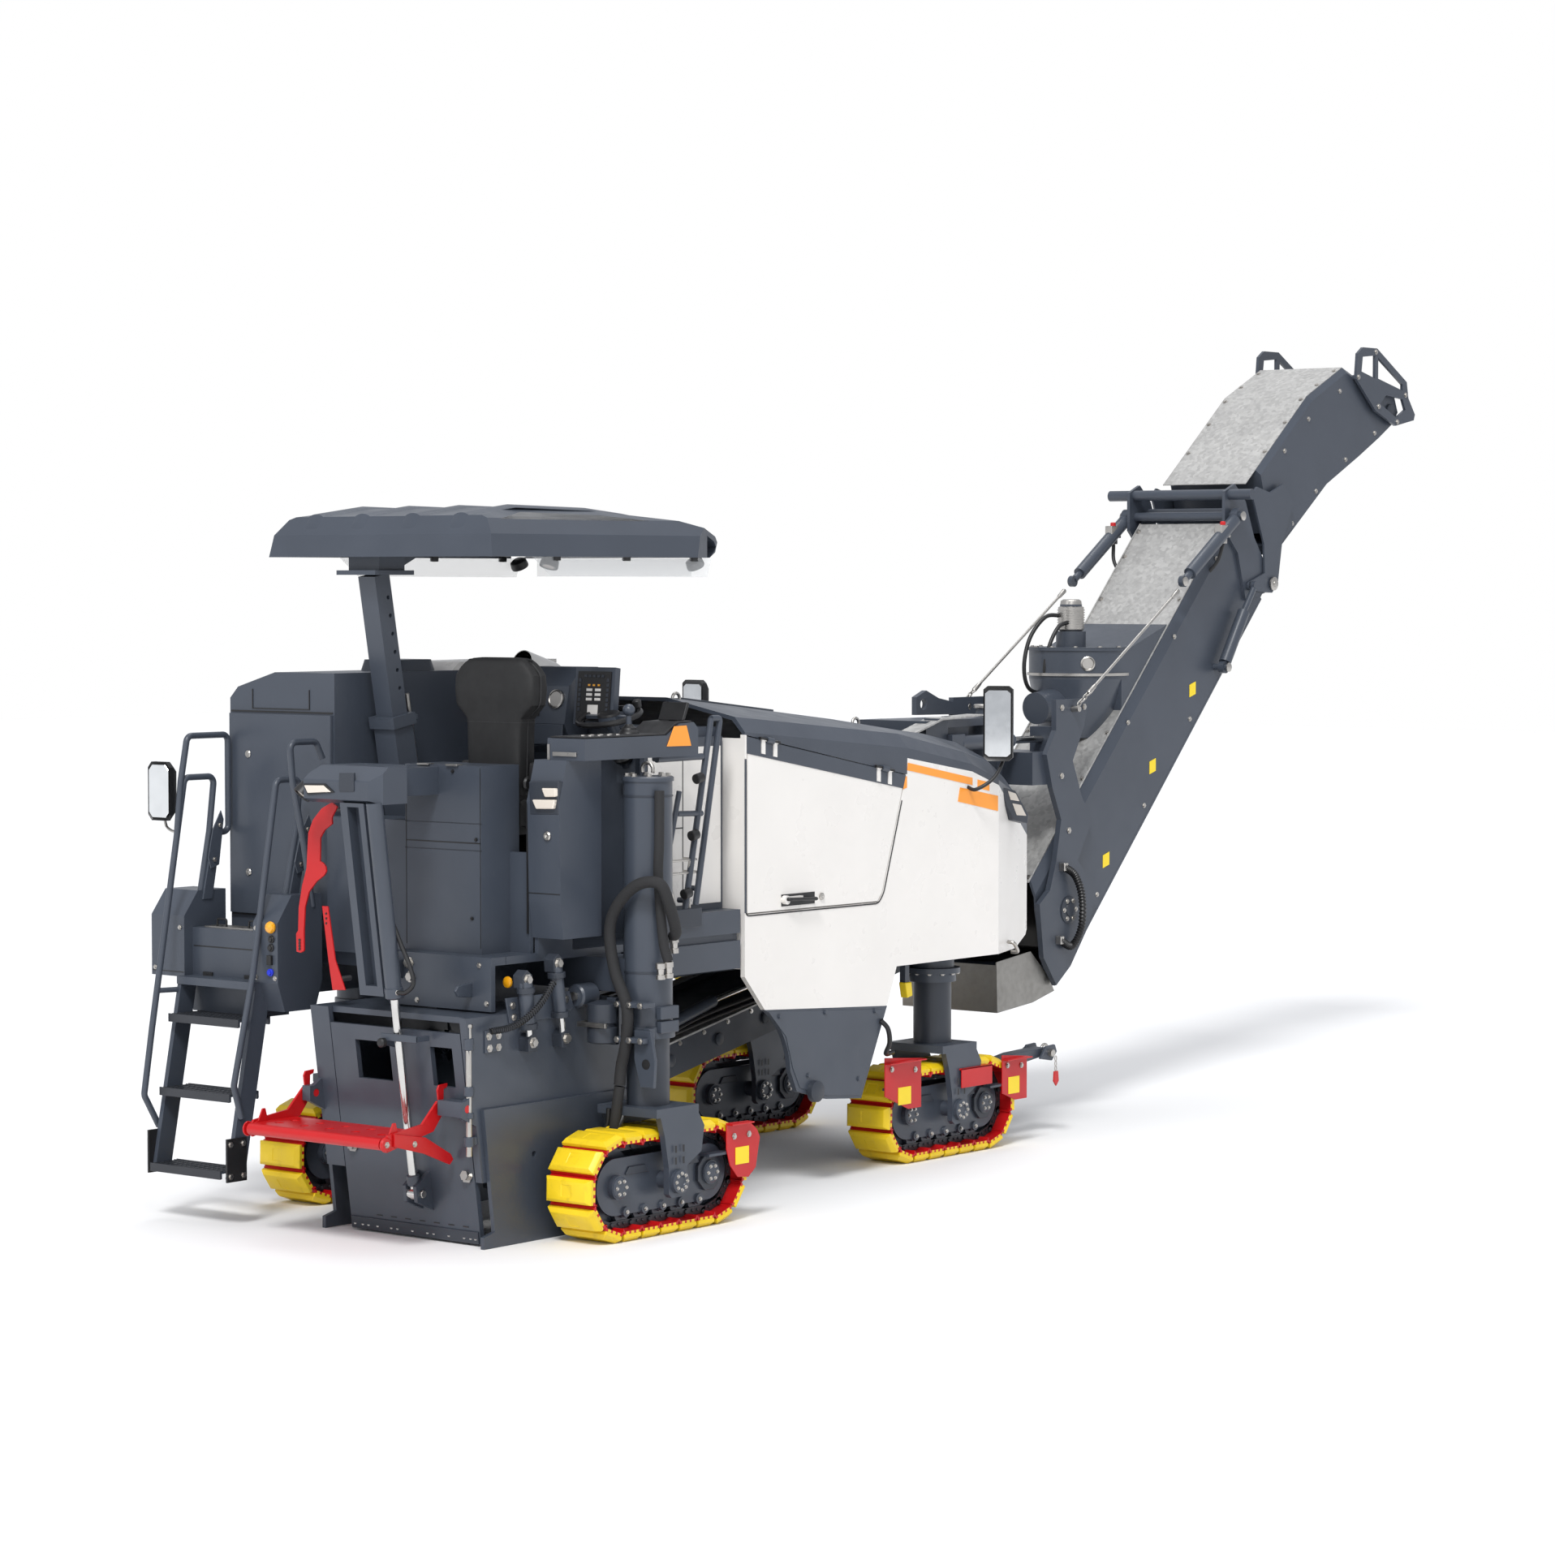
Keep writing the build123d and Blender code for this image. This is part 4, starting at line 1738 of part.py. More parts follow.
with BuildPart() as head_guards:
    for side in (-1, 1):
        low, high = sorted((side * (BOOM_HALF + 24), side * (BOOM_HALF + 44)))
        side_panel(
            [
                (9040.0, 4690.0),
                (9060.0, 4860.0),
                (9130.0, 4905.0),
                (9315.0, 4905.0),
                (9716.0, 4690.0),
                (9740.0, 4580.0),
                (9830.0, 4470.0),
                (9815.0, 4430.0),
                (9570.0, 4385.0),
                (9300.0, 4480.0),
            ],
            (low, high),
        )
        for hole in (
            [(9110.0, 4740.0), (9125.0, 4840.0), (9290.0, 4855.0), (9290.0, 4700.0)],
            [(9330.0, 4700.0), (9330.0, 4842.0), (9660.0, 4670.0), (9660.0, 4630.0)],
            [(9360.0, 4530.0), (9440.0, 4590.0), (9660.0, 4570.0), (9700.0, 4500.0), (9580.0, 4440.0)],
        ):
            side_panel(hole, (low - 1, high + 1), mode=Mode.SUBTRACT)
        # Stand-offs tie the guard to the side of the boom.
        low, high = sorted((side * BOOM_HALF, side * (BOOM_HALF + 30)))
        for x, z in ((9070.0, 4700.0), (9340.0, 4510.0), (9590.0, 4412.0)):
            cross_bar(x, z, 16.0, (low, high))
keep(head_guards, "head_guards")

os.makedirs("parts", exist_ok=True)
to_origin = Location((-ORIGIN_X, -ORIGIN_Y, 0))
for name, shape in shapes:
    export_step(shape.moved(to_origin), "parts/" + name + ".step")
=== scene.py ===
"""Dressed model of a compact cold planer on four steered tracks.

Metres.  Places are given in the machine's own frame: X from the rear end of the
rear tracks, Y to the left of the middle of the discharge boom, Z from the ground.
place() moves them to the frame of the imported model.
"""

import bpy
import numpy as np
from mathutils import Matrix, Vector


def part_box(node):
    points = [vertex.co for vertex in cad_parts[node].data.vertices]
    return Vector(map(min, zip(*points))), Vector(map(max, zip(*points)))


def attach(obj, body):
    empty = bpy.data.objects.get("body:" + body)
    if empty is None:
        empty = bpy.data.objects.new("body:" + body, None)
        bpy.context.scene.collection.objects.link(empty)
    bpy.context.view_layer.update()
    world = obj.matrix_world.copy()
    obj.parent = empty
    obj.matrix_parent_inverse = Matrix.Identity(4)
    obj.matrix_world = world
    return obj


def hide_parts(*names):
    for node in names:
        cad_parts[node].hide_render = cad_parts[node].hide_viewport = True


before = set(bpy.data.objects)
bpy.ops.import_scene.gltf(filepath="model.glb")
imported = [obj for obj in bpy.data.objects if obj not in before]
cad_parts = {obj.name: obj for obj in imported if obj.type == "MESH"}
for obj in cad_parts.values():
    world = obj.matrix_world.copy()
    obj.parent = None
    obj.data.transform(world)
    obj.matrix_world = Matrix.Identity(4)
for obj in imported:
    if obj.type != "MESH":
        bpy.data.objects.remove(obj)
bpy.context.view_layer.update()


# ---------------------------------------------------------------- places
def middle(node, axis):
    """Half way between the lowest and highest corner of a CAD node along an axis."""
    low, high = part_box(node)
    return (low[axis] + high[axis]) / 2


TRACK_HALF = 0.6325
DATUM = np.array([middle("track_loop_rear_right", 0) - TRACK_HALF, middle("lower_boom", 1), 0.0])
LEGS = ("rear_right", "rear_left", "front_right", "front_left")
SIDES = ((-1, "right"), (1, "left"))
FRONT_AXLE = 3.805
FRONT_TRACK_Y = 0.728
REAR_COLUMN_Y = -1.285
SEAT_Y = -0.615


def place(points):
    """Machine places plus the datum."""
    return np.asarray(points, float) + DATUM


def machine(node):
    """Lowest and highest corner of a CAD node in the machine's frame."""
    low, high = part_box(node)
    return np.array(low) - DATUM, np.array(high) - DATUM


# ---------------------------------------------------------------- shapes
# A shape is a pair: an array of points and a list of faces, each a list of indices.
def joined(*shapes):
    """Shapes put one after another, each face index raised by the points before it."""
    points = np.concatenate([np.asarray(shape[0], float) for shape in shapes])
    starts = np.cumsum([0] + [len(shape[0]) for shape in shapes[:-1]])
    faces = [[index + start for index in face] for shape, start in zip(shapes, starts) for face in shape[1]]
    return points, faces


def repeated(shape, turns, offsets):
    """Copies of a shape: point times turn matrix plus offset, for every turn and offset pair."""
    points = np.asarray(shape[0], float)
    turns = np.asarray(turns, float)
    offsets = np.asarray(offsets, float)
    every = np.einsum("kij,nj->kni", turns, points) + offsets[:, None, :]
    faces = [
        [index + copy * len(points) for index in face] for copy in range(len(offsets)) for face in shape[1]
    ]
    return every.reshape(-1, 3), faces


def block(low, high):
    """A box between two corners."""
    low, high = np.minimum(low, high), np.maximum(low, high)
    picks = np.array([[0, 0, 0], [1, 0, 0], [1, 1, 0], [0, 1, 0], [0, 0, 1], [1, 0, 1], [1, 1, 1], [0, 1, 1]])
    faces = [[0, 3, 2, 1], [4, 5, 6, 7], [0, 1, 5, 4], [1, 2, 6, 5], [2, 3, 7, 6], [3, 0, 4, 7]]
    return np.where(picks, high, low).astype(float), faces


def slab(outline, low, high, axis=1):
    """An outline in the two other axes, in order, drawn out along the axis from low to high."""
    outline = np.asarray(outline, float)
    turn = (outline[:, 0] * np.roll(outline[:, 1], -1) - np.roll(outline[:, 0], -1) * outline[:, 1]).sum()
    if (turn < 0) != (axis == 1):
        outline = outline[::-1]
    count = len(outline)
    near = np.insert(outline, axis, low, axis=1)
    far = np.insert(outline, axis, high, axis=1)
    ring = np.arange(count)
    after = np.roll(ring, -1)
    sides = np.stack([ring, after, after + count, ring + count], axis=1)
    return np.concatenate([near, far]), sides.tolist() + [ring[::-1].tolist(), (ring + count).tolist()]


def side_sheet(outline, side, near, far):
    """An outline in X and Z, drawn out between two distances from the middle plane on one side of it."""
    return slab(outline, *sorted((side * near, side * far)))


def skin(grid, closed=False, caps=False):
    """A grid of points, rows by columns, as four-sided faces; closed joins the last column to the first."""
    rows, columns = grid.shape[:2]
    index = np.arange(rows * columns).reshape(rows, columns)
    right = np.roll(index, -1, axis=1) if closed else index[:, 1:]
    here = index if closed else index[:, :-1]
    faces = np.stack([here[:-1], right[:-1], right[1:], here[1:]], axis=-1).reshape(-1, 4).tolist()
    if caps:
        faces += [index[0][::-1].tolist(), index[-1].tolist()]
    return grid.reshape(-1, 3), faces


def unit(vectors):
    """Vectors divided by their lengths."""
    vectors = np.asarray(vectors, float)
    return vectors / np.linalg.norm(vectors, axis=-1, keepdims=True)


def tube(path, radius, sides=12):
    """A round section carried along a path: path + radius times (cos a across + sin a up).

    Across is the run's direction crossed with the direction the path spreads in least.
    """
    path = np.asarray(path, float)
    run = unit(np.gradient(path, axis=0))
    spread = np.linalg.svd(path - path.mean(axis=0))[2]
    flat = spread[2] if len(path) > 2 else unit(np.cross(run[0], (0.31, 0.52, 0.79)))
    across = unit(np.cross(run, flat))
    up = np.cross(run, across)
    angle = np.arange(sides) * 2 * np.pi / sides
    radius = np.broadcast_to(np.asarray(radius, float), len(path))[:, None, None]
    ring = np.cos(angle)[None, :, None] * across[:, None, :] + np.sin(angle)[None, :, None] * up[:, None, :]
    return skin((path[:, None, :] + radius * ring)[:, ::-1], closed=True, caps=True)


def bent(points, bend, steps=6):
    """A route of straight runs whose corners are quadratic curves that start a bend's length before each."""
    points = np.asarray(points, float)
    before = points[1:-1] + unit(points[:-2] - points[1:-1]) * bend
    after = points[1:-1] + unit(points[2:] - points[1:-1]) * bend
    share = np.linspace(0, 1, steps)[None, :, None]
    curve = (1 - share) ** 2 * before[:, None] + 2 * share * (1 - share) * points[
        1:-1, None
    ] + share**2 * after[:, None]
    return np.concatenate([points[:1], curve.reshape(-1, 3), points[-1:]])


def flowing(points, steps=8):
    """A smooth curve through the points: each stretch is a cubic with the slopes of its neighbours."""
    points = np.asarray(points, float)
    ends = np.concatenate([2 * points[:1] - points[1:2], points, 2 * points[-1:] - points[-2:-1]])
    slope = (ends[2:] - ends[:-2]) / 2
    share = np.linspace(0, 1, steps, endpoint=False)[None, :, None]
    start, end = points[:-1, None], points[1:, None]
    first, last = slope[:-1, None], slope[1:, None]
    curve = (
        (2 * share**3 - 3 * share**2 + 1) * start
        + (share**3 - 2 * share**2 + share) * first
        + (3 * share**2 - 2 * share**3) * end
        + (share**3 - share**2) * last
    )
    return np.concatenate([curve.reshape(-1, 3), points[-1:]])


def turned(profile, start, way, sides=24):
    """A profile of (distance along, radius) pairs turned round a line from a start point."""
    profile = np.asarray(profile, float)
    way = unit(way)
    across = unit(np.cross(way, (0.0, 0.0, 1.0) if abs(way[2]) < 0.9 else (0.0, 1.0, 0.0)))
    up = np.cross(way, across)
    angle = np.arange(sides) * 2 * np.pi / sides
    ring = np.cos(angle)[:, None] * across + np.sin(angle)[:, None] * up
    grid = np.asarray(start, float) + profile[:, 0, None, None] * way + profile[:, 1, None, None] * ring[None]
    return skin(grid, closed=True, caps=True)


def turned_each(profile, spots, way, sides=24):
    """The same turned form at every spot."""
    return joined(*[turned(profile, spot, way, sides) for spot in spots])


def arc(centre, wide, high, start, end, count):
    """Points along an arc in the X-Z plane: centre plus wide times cosine and high times sine."""
    angle = np.linspace(start, end, count)
    offsets = [wide * np.cos(angle), 0 * angle, high * np.sin(angle)]
    return np.asarray(centre, float) + np.stack(offsets, axis=1)


def rod(start, end, radius, sides=16):
    """A round bar with softened ends between two points."""
    start, end = np.asarray(start, float), np.asarray(end, float)
    length = np.linalg.norm(end - start)
    soft = min(radius * 0.15, length * 0.2)
    profile = [(0, radius - soft), (soft, radius), (length - soft, radius), (length, radius - soft)]
    return turned(profile, start, end - start, sides)


def bolts(places, way, radius=0.012, height=0.009):
    """Six-sided bolt heads on washers, all standing up along one way."""
    head = turned(
        [(0, radius * 1.5), (0.003, radius * 1.5), (0.003, radius), (height, radius), (height, 0.001)],
        (0, 0, 0), way, 6,
    )
    places = np.asarray(places, float)
    return repeated(head, np.repeat(np.eye(3)[None], len(places), axis=0), places)


def ring_of(centre, radius, count, level=False):
    """Points round a centre in the X-Z plane, or at one height."""
    angle = np.arange(count) * 2 * np.pi / count
    across, up, none = np.cos(angle), np.sin(angle), 0 * angle
    offsets = [across, up, none] if level else [across, none, up]
    return np.asarray(centre, float) + radius * np.stack(offsets, axis=1)


def piece(name, shape, finish, round_edges=0.0, body="machine", stand_for=()):
    """Puts a shape into a mesh at its machine place, finishes it and lets it ride on a body."""
    mesh = bpy.data.meshes.new(name)
    mesh.from_pydata(place(shape[0]).tolist(), [], shape[1])
    mesh.materials.append(finish)
    mesh.validate()
    mesh.shade_smooth()
    mesh.set_sharp_from_angle(angle=np.radians(32))
    thing = bpy.data.objects.new(name, mesh)
    bpy.context.scene.collection.objects.link(thing)
    if round_edges:
        bevel = thing.modifiers.new("rounded", "BEVEL")
        bevel.width = round_edges
        bevel.segments = 2
        bevel.limit_method = "ANGLE"
        bevel.angle_limit = np.radians(35)
        bevel.harden_normals = True
    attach(thing, body)
    if stand_for:
        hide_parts(*stand_for)
    return thing


# ---------------------------------------------------------------- finishes
class Nodes:
    """Short names for the nodes that the finishes share."""

    def __init__(self, name):
        self.material = bpy.data.materials.new(name)
        self.material.use_nodes = True
        self.tree = self.material.node_tree
        self.shader = self.tree.nodes["Principled BSDF"]
        self.output = self.tree.nodes["Material Output"]
        self.coordinate = self.tree.nodes.new("ShaderNodeTexCoord").outputs["Object"]

    def link(self, source, target):
        """Joins two sockets."""
        self.tree.links.new(source, target)

    def put(self, socket, value):
        """Joins a socket to a node's output, or sets it to a plain value."""
        if isinstance(value, bpy.types.NodeSocket):
            self.link(value, socket)
        else:
            socket.default_value = value

    def shade(self, name, value):
        """Gives one input of the shader its value."""
        self.put(self.shader.inputs[name], value)

    def node(self, kind, **settings):
        """A node with its properties set."""
        made = self.tree.nodes.new(kind)
        for key, value in settings.items():
            setattr(made, key, value)
        return made

    def noise(self, scale, detail=4.0, stretch=(1.0, 1.0, 1.0)):
        """Noise on object coordinates, stretched along the axes."""
        mapping = self.node("ShaderNodeMapping")
        mapping.inputs["Scale"].default_value = stretch
        self.link(self.coordinate, mapping.inputs["Vector"])
        noise = self.node("ShaderNodeTexNoise")
        noise.inputs["Scale"].default_value = scale
        noise.inputs["Detail"].default_value = detail
        self.link(mapping.outputs["Vector"], noise.inputs["Vector"])
        return noise.outputs["Fac"]

    def ramp(self, value, stops):
        """Colours or greys set along a value."""
        ramp = self.node("ShaderNodeValToRGB")
        while len(ramp.color_ramp.elements) < len(stops):
            ramp.color_ramp.elements.new(0.5)
        for element, (where, colour) in zip(ramp.color_ramp.elements, stops):
            element.position = where
            element.color = (*colour, 1.0) if isinstance(colour, tuple) else (colour, colour, colour, 1.0)
        self.link(value, ramp.inputs["Fac"])
        return ramp.outputs["Color"]

    def mix(self, share, first, second, blend="MIX"):
        """One colour over another by a share."""
        mixer = self.node("ShaderNodeMix", data_type="RGBA", blend_type=blend)
        for socket, value in (
            (mixer.inputs["Factor"], share), (mixer.inputs["A"], first), (mixer.inputs["B"], second)
        ):
            self.put(socket, (*value, 1.0) if isinstance(value, tuple) else value)
        return mixer.outputs["Result"]

    def bump(self, value, strength, distance=0.002):
        """Raises the surface by a value."""
        bump = self.node("ShaderNodeBump")
        bump.inputs["Strength"].default_value = strength
        bump.inputs["Distance"].default_value = distance
        self.link(value, bump.inputs["Height"])
        self.shade("Normal", bump.outputs["Normal"])


def painted(name, colour, roughness=0.38, variation=0.06, grain=0.1, metallic=0.0):
    """Sprayed paint: a faint drift of tone, dust that dulls the gloss in patches and a fine orange peel."""
    make = Nodes(name)
    drift = make.noise(2.2, 5.0)
    dark = tuple(channel * (1 - variation) for channel in colour)
    light = tuple(min(1.0, channel * (1 + variation)) for channel in colour)
    tone = make.ramp(drift, [(0.3, dark), (0.7, light)])
    scuff = make.ramp(make.noise(38.0, 8.0, (1.0, 1.0, 0.35)), [(0.62, 0.0), (0.8, 0.09)])
    dusty = tuple(0.85 * channel + 0.15 * 0.35 for channel in colour)
    make.shade("Base Color", make.mix(scuff, tone, dusty))
    gloss = make.ramp(make.noise(7.0, 6.0), [(0.3, roughness - 0.05), (0.75, roughness + 0.09)])
    make.shade("Roughness", gloss)
    make.shade("Metallic", metallic)
    make.bump(make.noise(420.0, 2.0), grain, 0.0006)
    return make.material


def plated(name, colour, roughness=0.25, grain=0.08, stretch=(1.0, 1.0, 1.0)):
    """Bare or plated metal with fine drawn lines and patches of duller tone."""
    make = Nodes(name)
    tone = make.ramp(make.noise(9.0, 6.0), [(0.3, tuple(0.88 * c for c in colour)), (0.7, colour)])
    make.shade("Base Color", tone)
    make.shade("Metallic", 1.0)
    gloss = make.ramp(make.noise(26.0, 8.0, stretch), [(0.3, roughness * 0.8), (0.75, roughness * 1.35)])
    make.shade("Roughness", gloss)
    make.bump(make.noise(260.0, 3.0, stretch), grain, 0.0005)
    return make.material


def galvanised(name):
    """Zinc sheet: crystals of slightly different grey, each cell of its own tone."""
    make = Nodes(name)
    cells = make.node("ShaderNodeTexVoronoi")
    cells.inputs["Scale"].default_value = 42.0
    make.link(make.coordinate, cells.inputs["Vector"])
    crystal = make.node("ShaderNodeSeparateColor")
    make.link(cells.outputs["Color"], crystal.inputs["Color"])
    tone = make.ramp(crystal.outputs["Red"], [(0.0, (0.4, 0.395, 0.385)), (1.0, (0.53, 0.525, 0.51))])
    cloud = make.ramp(make.noise(3.0, 6.0), [(0.3, (0.86, 0.86, 0.86)), (0.7, (1.0, 1.0, 1.0))])
    make.shade("Base Color", make.mix(1.0, tone, cloud, "MULTIPLY"))
    make.shade("Metallic", 0.55)
    make.shade("Roughness", make.ramp(crystal.outputs["Green"], [(0.0, 0.42), (1.0, 0.6)]))
    make.bump(make.noise(55.0, 5.0), 0.25, 0.001)
    return make.material


def moulded(name, colour, roughness=0.5, grain=0.35, scale=330.0, dirt=0.25):
    """Moulded rubber or plastic with a leathery grain and grime in broad patches."""
    make = Nodes(name)
    tone = make.ramp(make.noise(5.0, 6.0), [(0.3, tuple(0.93 * c for c in colour)), (0.7, colour)])
    grime = make.ramp(make.noise(17.0, 9.0), [(0.58, 0.0), (0.74, dirt)])
    make.shade("Base Color", make.mix(grime, tone, tuple(0.45 * c + 0.01 for c in colour)))
    gloss = make.ramp(make.noise(12.0, 6.0), [(0.3, roughness - 0.06), (0.7, roughness + 0.08)])
    make.shade("Roughness", gloss)
    make.bump(make.noise(scale, 3.0), grain, 0.0008)
    return make.material


def woven(name, colour):
    """Braided sleeve: two sets of fine threads that cross."""
    make = Nodes(name)
    waves = []
    for turn in (0.7, -0.7):
        mapping = make.node("ShaderNodeMapping")
        mapping.inputs["Rotation"].default_value = (turn, 0.4, turn)
        make.link(make.coordinate, mapping.inputs["Vector"])
        wave = make.node("ShaderNodeTexWave")
        wave.inputs["Scale"].default_value = 130.0
        wave.inputs["Distortion"].default_value = 1.5
        make.link(mapping.outputs["Vector"], wave.inputs["Vector"])
        waves.append(wave.outputs["Fac"])
    weave = make.mix(0.5, waves[0], waves[1])
    light = tuple(2.2 * channel for channel in colour)
    make.shade("Base Color", make.mix(make.ramp(weave, [(0.3, 0.0), (0.8, 0.6)]), colour, light))
    make.shade("Roughness", 0.82)
    make.bump(weave, 0.5, 0.001)
    return make.material


def clear(name, colour, alpha):
    """Clear sheet that lets most of the light through."""
    make = Nodes(name)
    make.shade("Base Color", (*colour, 1.0))
    make.shade("Roughness", 0.06)
    make.shade("IOR", 1.49)
    make.shade("Alpha", alpha)
    make.bump(make.noise(3.0, 2.0), 0.05, 0.001)
    return make.material


def glowing(name, colour, roughness=0.18):
    """Lens plastic with ribs that run across it."""
    make = Nodes(name)
    wave = make.node("ShaderNodeTexWave", bands_direction="Y")
    wave.inputs["Scale"].default_value = 60.0
    make.link(make.coordinate, wave.inputs["Vector"])
    shade = tuple(0.7 * channel for channel in colour)
    make.shade("Base Color", make.mix(wave.outputs["Fac"], shade, colour))
    make.shade("Roughness", roughness)
    make.shade("Coat Weight", 0.6)
    make.bump(wave.outputs["Fac"], 0.3, 0.001)
    return make.material


SLATE = painted("slate_paint", (0.05, 0.06, 0.079), 0.34)
SLATE_DARK = painted("dark_slate_paint", (0.03, 0.036, 0.048), 0.42)
WHITE = painted("white_paint", (0.8, 0.775, 0.74), 0.3, 0.02, 0.05)
RED = painted("red_paint", (0.5, 0.006, 0.008), 0.33, 0.08)
ORANGE = painted("orange_film", (0.93, 0.33, 0.035), 0.35, 0.03)
YELLOW = moulded("yellow_pad", (0.86, 0.6, 0.012), 0.4, 0.25, 300.0, 0.28)
YELLOW_SIGN = painted("yellow_film", (0.9, 0.66, 0.01), 0.35, 0.02)
BLACK = moulded("black_plastic", (0.012, 0.012, 0.013), 0.42)
RUBBER = moulded("belt_rubber", (0.017, 0.016, 0.015), 0.66, 0.5, 160.0)
SLEEVE = woven("hose_sleeve", (0.014, 0.014, 0.015))
VINYL = moulded("seat_vinyl", (0.0065, 0.0065, 0.007), 0.66, 0.6, 420.0, 0.05)
CHROME = plated("hard_chrome", (0.66, 0.65, 0.63), 0.16, 0.04, (1.0, 1.0, 0.1))
STEEL = plated("plain_steel", (0.52, 0.5, 0.47), 0.32)
BARE = plated("bare_sheet", (0.34, 0.33, 0.31), 0.44, 0.2)
CHAIN = painted("chain_steel", (0.04, 0.043, 0.05), 0.34, 0.12, 0.2, 0.4)
ZINC = galvanised("zinc_sheet")
GLASS = clear("clear_visor", (0.92, 0.94, 0.95), 0.22)
MIRROR = plated("mirror_glass", (0.83, 0.85, 0.86), 0.05, 0.0)
LAMP = glowing("lamp_lens", (0.84, 0.76, 0.66))
AMBER = glowing("amber_lens", (0.95, 0.42, 0.01))
BLUE = moulded("blue_button", (0.01, 0.03, 0.55), 0.35)

NODE_FINISH = {
    "body_side": WHITE,
    "service_door": WHITE,
    "exhaust_cover": WHITE,
    "exhaust_pipe": CHROME,
    "lift_rod": SLATE_DARK,
    "scraper_rod": CHROME,
    "track_loop": YELLOW,
    "lower_cover": ZINC,
    "upper_cover": ZINC,
    "conveyor_tail": BARE,
    "lower_belt": RUBBER,
    "upper_belt": RUBBER,
    "folding_step": RED,
    "step_arms": RED,
    "operator_seat": VINYL,
    "operator_consoles": SLATE,
    "engine_block": SLATE_DARK,
    "loading_conveyor": SLATE_DARK,
}
for node_name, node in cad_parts.items():
    finish = next((value for key, value in NODE_FINISH.items() if node_name.startswith(key)), SLATE)
    node.data.materials.clear()
    node.data.materials.append(finish)


# ---------------------------------------------------------------- stage, light and camera
CAMERA = (-15.182, -14.869, 3.33)
HEADING = 0.678
DIP = 0.0499
LENS = 94.18
SENSOR = 36.0


def floor_finish():
    """Pale matt floor that keeps the shadow."""
    make = Nodes("studio_floor")
    make.shade("Base Color", (0.86, 0.86, 0.86, 1.0))
    make.shade("Roughness", 0.9)
    return make.material


def lamp(name, kind, spot, way, strength):
    """A lamp at a place, turned so that it shines along a way."""
    light = bpy.data.lights.new(name, kind)
    light.energy = strength
    holder = bpy.data.objects.new(name, light)
    holder.location = place(spot)
    way = unit(way)
    holder.rotation_euler = (np.arccos(-way[2]), 0.0, np.arctan2(way[1], way[0]) - np.pi / 2)
    bpy.context.scene.collection.objects.link(holder)
    return light


def studio():
    """Floor, soft lamps, pale world and the camera."""
    scene = bpy.context.scene
    scene.view_settings.view_transform = "Standard"
    floor_mesh = bpy.data.meshes.new("floor")
    reach = 60.0
    floor_mesh.from_pydata(
        [(-reach, -reach, 0), (reach, -reach, 0), (reach, reach, 0), (-reach, reach, 0)], [], [(0, 1, 2, 3)]
    )
    floor = bpy.data.objects.new("floor", floor_mesh)
    floor_mesh.materials.append(floor_finish())
    scene.collection.objects.link(floor)

    world = bpy.data.worlds.new("studio")
    scene.world = world
    world.use_nodes = True
    tree = world.node_tree
    backdrop = tree.nodes["Background"]
    backdrop.inputs["Color"].default_value = (1.0, 1.0, 1.0, 1.0)
    backdrop.inputs["Strength"].default_value = 1.0
    soft = tree.nodes.new("ShaderNodeBackground")
    soft.inputs["Color"].default_value = (0.93, 0.95, 1.0, 1.0)
    soft.inputs["Strength"].default_value = 0.62
    rays = tree.nodes.new("ShaderNodeLightPath")
    seen = tree.nodes.new("ShaderNodeMath")
    seen.operation = "MAXIMUM"
    tree.links.new(rays.outputs["Is Camera Ray"], seen.inputs[0])
    tree.links.new(rays.outputs["Is Transmission Ray"], seen.inputs[1])
    mix = tree.nodes.new("ShaderNodeMixShader")
    tree.links.new(seen.outputs["Value"], mix.inputs["Fac"])
    tree.links.new(soft.outputs["Background"], mix.inputs[1])
    tree.links.new(backdrop.outputs["Background"], mix.inputs[2])
    tree.links.new(mix.outputs["Shader"], tree.nodes["World Output"].inputs["Surface"])

    # name, place, aim, size, power
    lamps = (
        ("key", (-9.0, -13.0, 12.0), (3.0, 0.0, 1.5), 7.0, 620.0),
        ("fill", (-14.0, 3.0, 7.0), (1.0, 0.0, 1.5), 8.0, 260.0),
        ("top", (4.0, -1.0, 14.0), (4.0, 0.0, 1.0), 10.0, 240.0),
    )
    for name, spot, aim, size, power in lamps:
        lamp(name, "AREA", spot, np.subtract(aim, spot), power).size = size

    # name, travel of the light, strength, angle of the disc in degrees
    suns = (("sun_main", (0.58, 0.3, -0.76), 1.95, 13.0), ("sun_second", (-0.36, -0.22, -0.91), 0.6, 24.0))
    for name, travel, strength, disc in suns:
        lamp(name, "SUN", (0, 0, 0), travel, strength).angle = np.radians(disc)

    camera = bpy.data.cameras.new("camera")
    camera.lens = LENS
    camera.sensor_width = SENSOR
    camera.clip_end = 200.0
    eye = bpy.data.objects.new("camera", camera)
    eye.location = place(CAMERA)
    eye.rotation_euler = (np.pi / 2 - DIP, 0.0, HEADING - np.pi / 2)
    scene.collection.objects.link(eye)
    scene.camera = eye


studio()


# ---------------------------------------------------------------- tracks
SHOE_COUNT = 20
WHEEL_SPAN = 0.715
PLATE_RADIUS = 0.233
TRACK_Z = 0.275
SHOE_HALF_WIDTH = 0.15


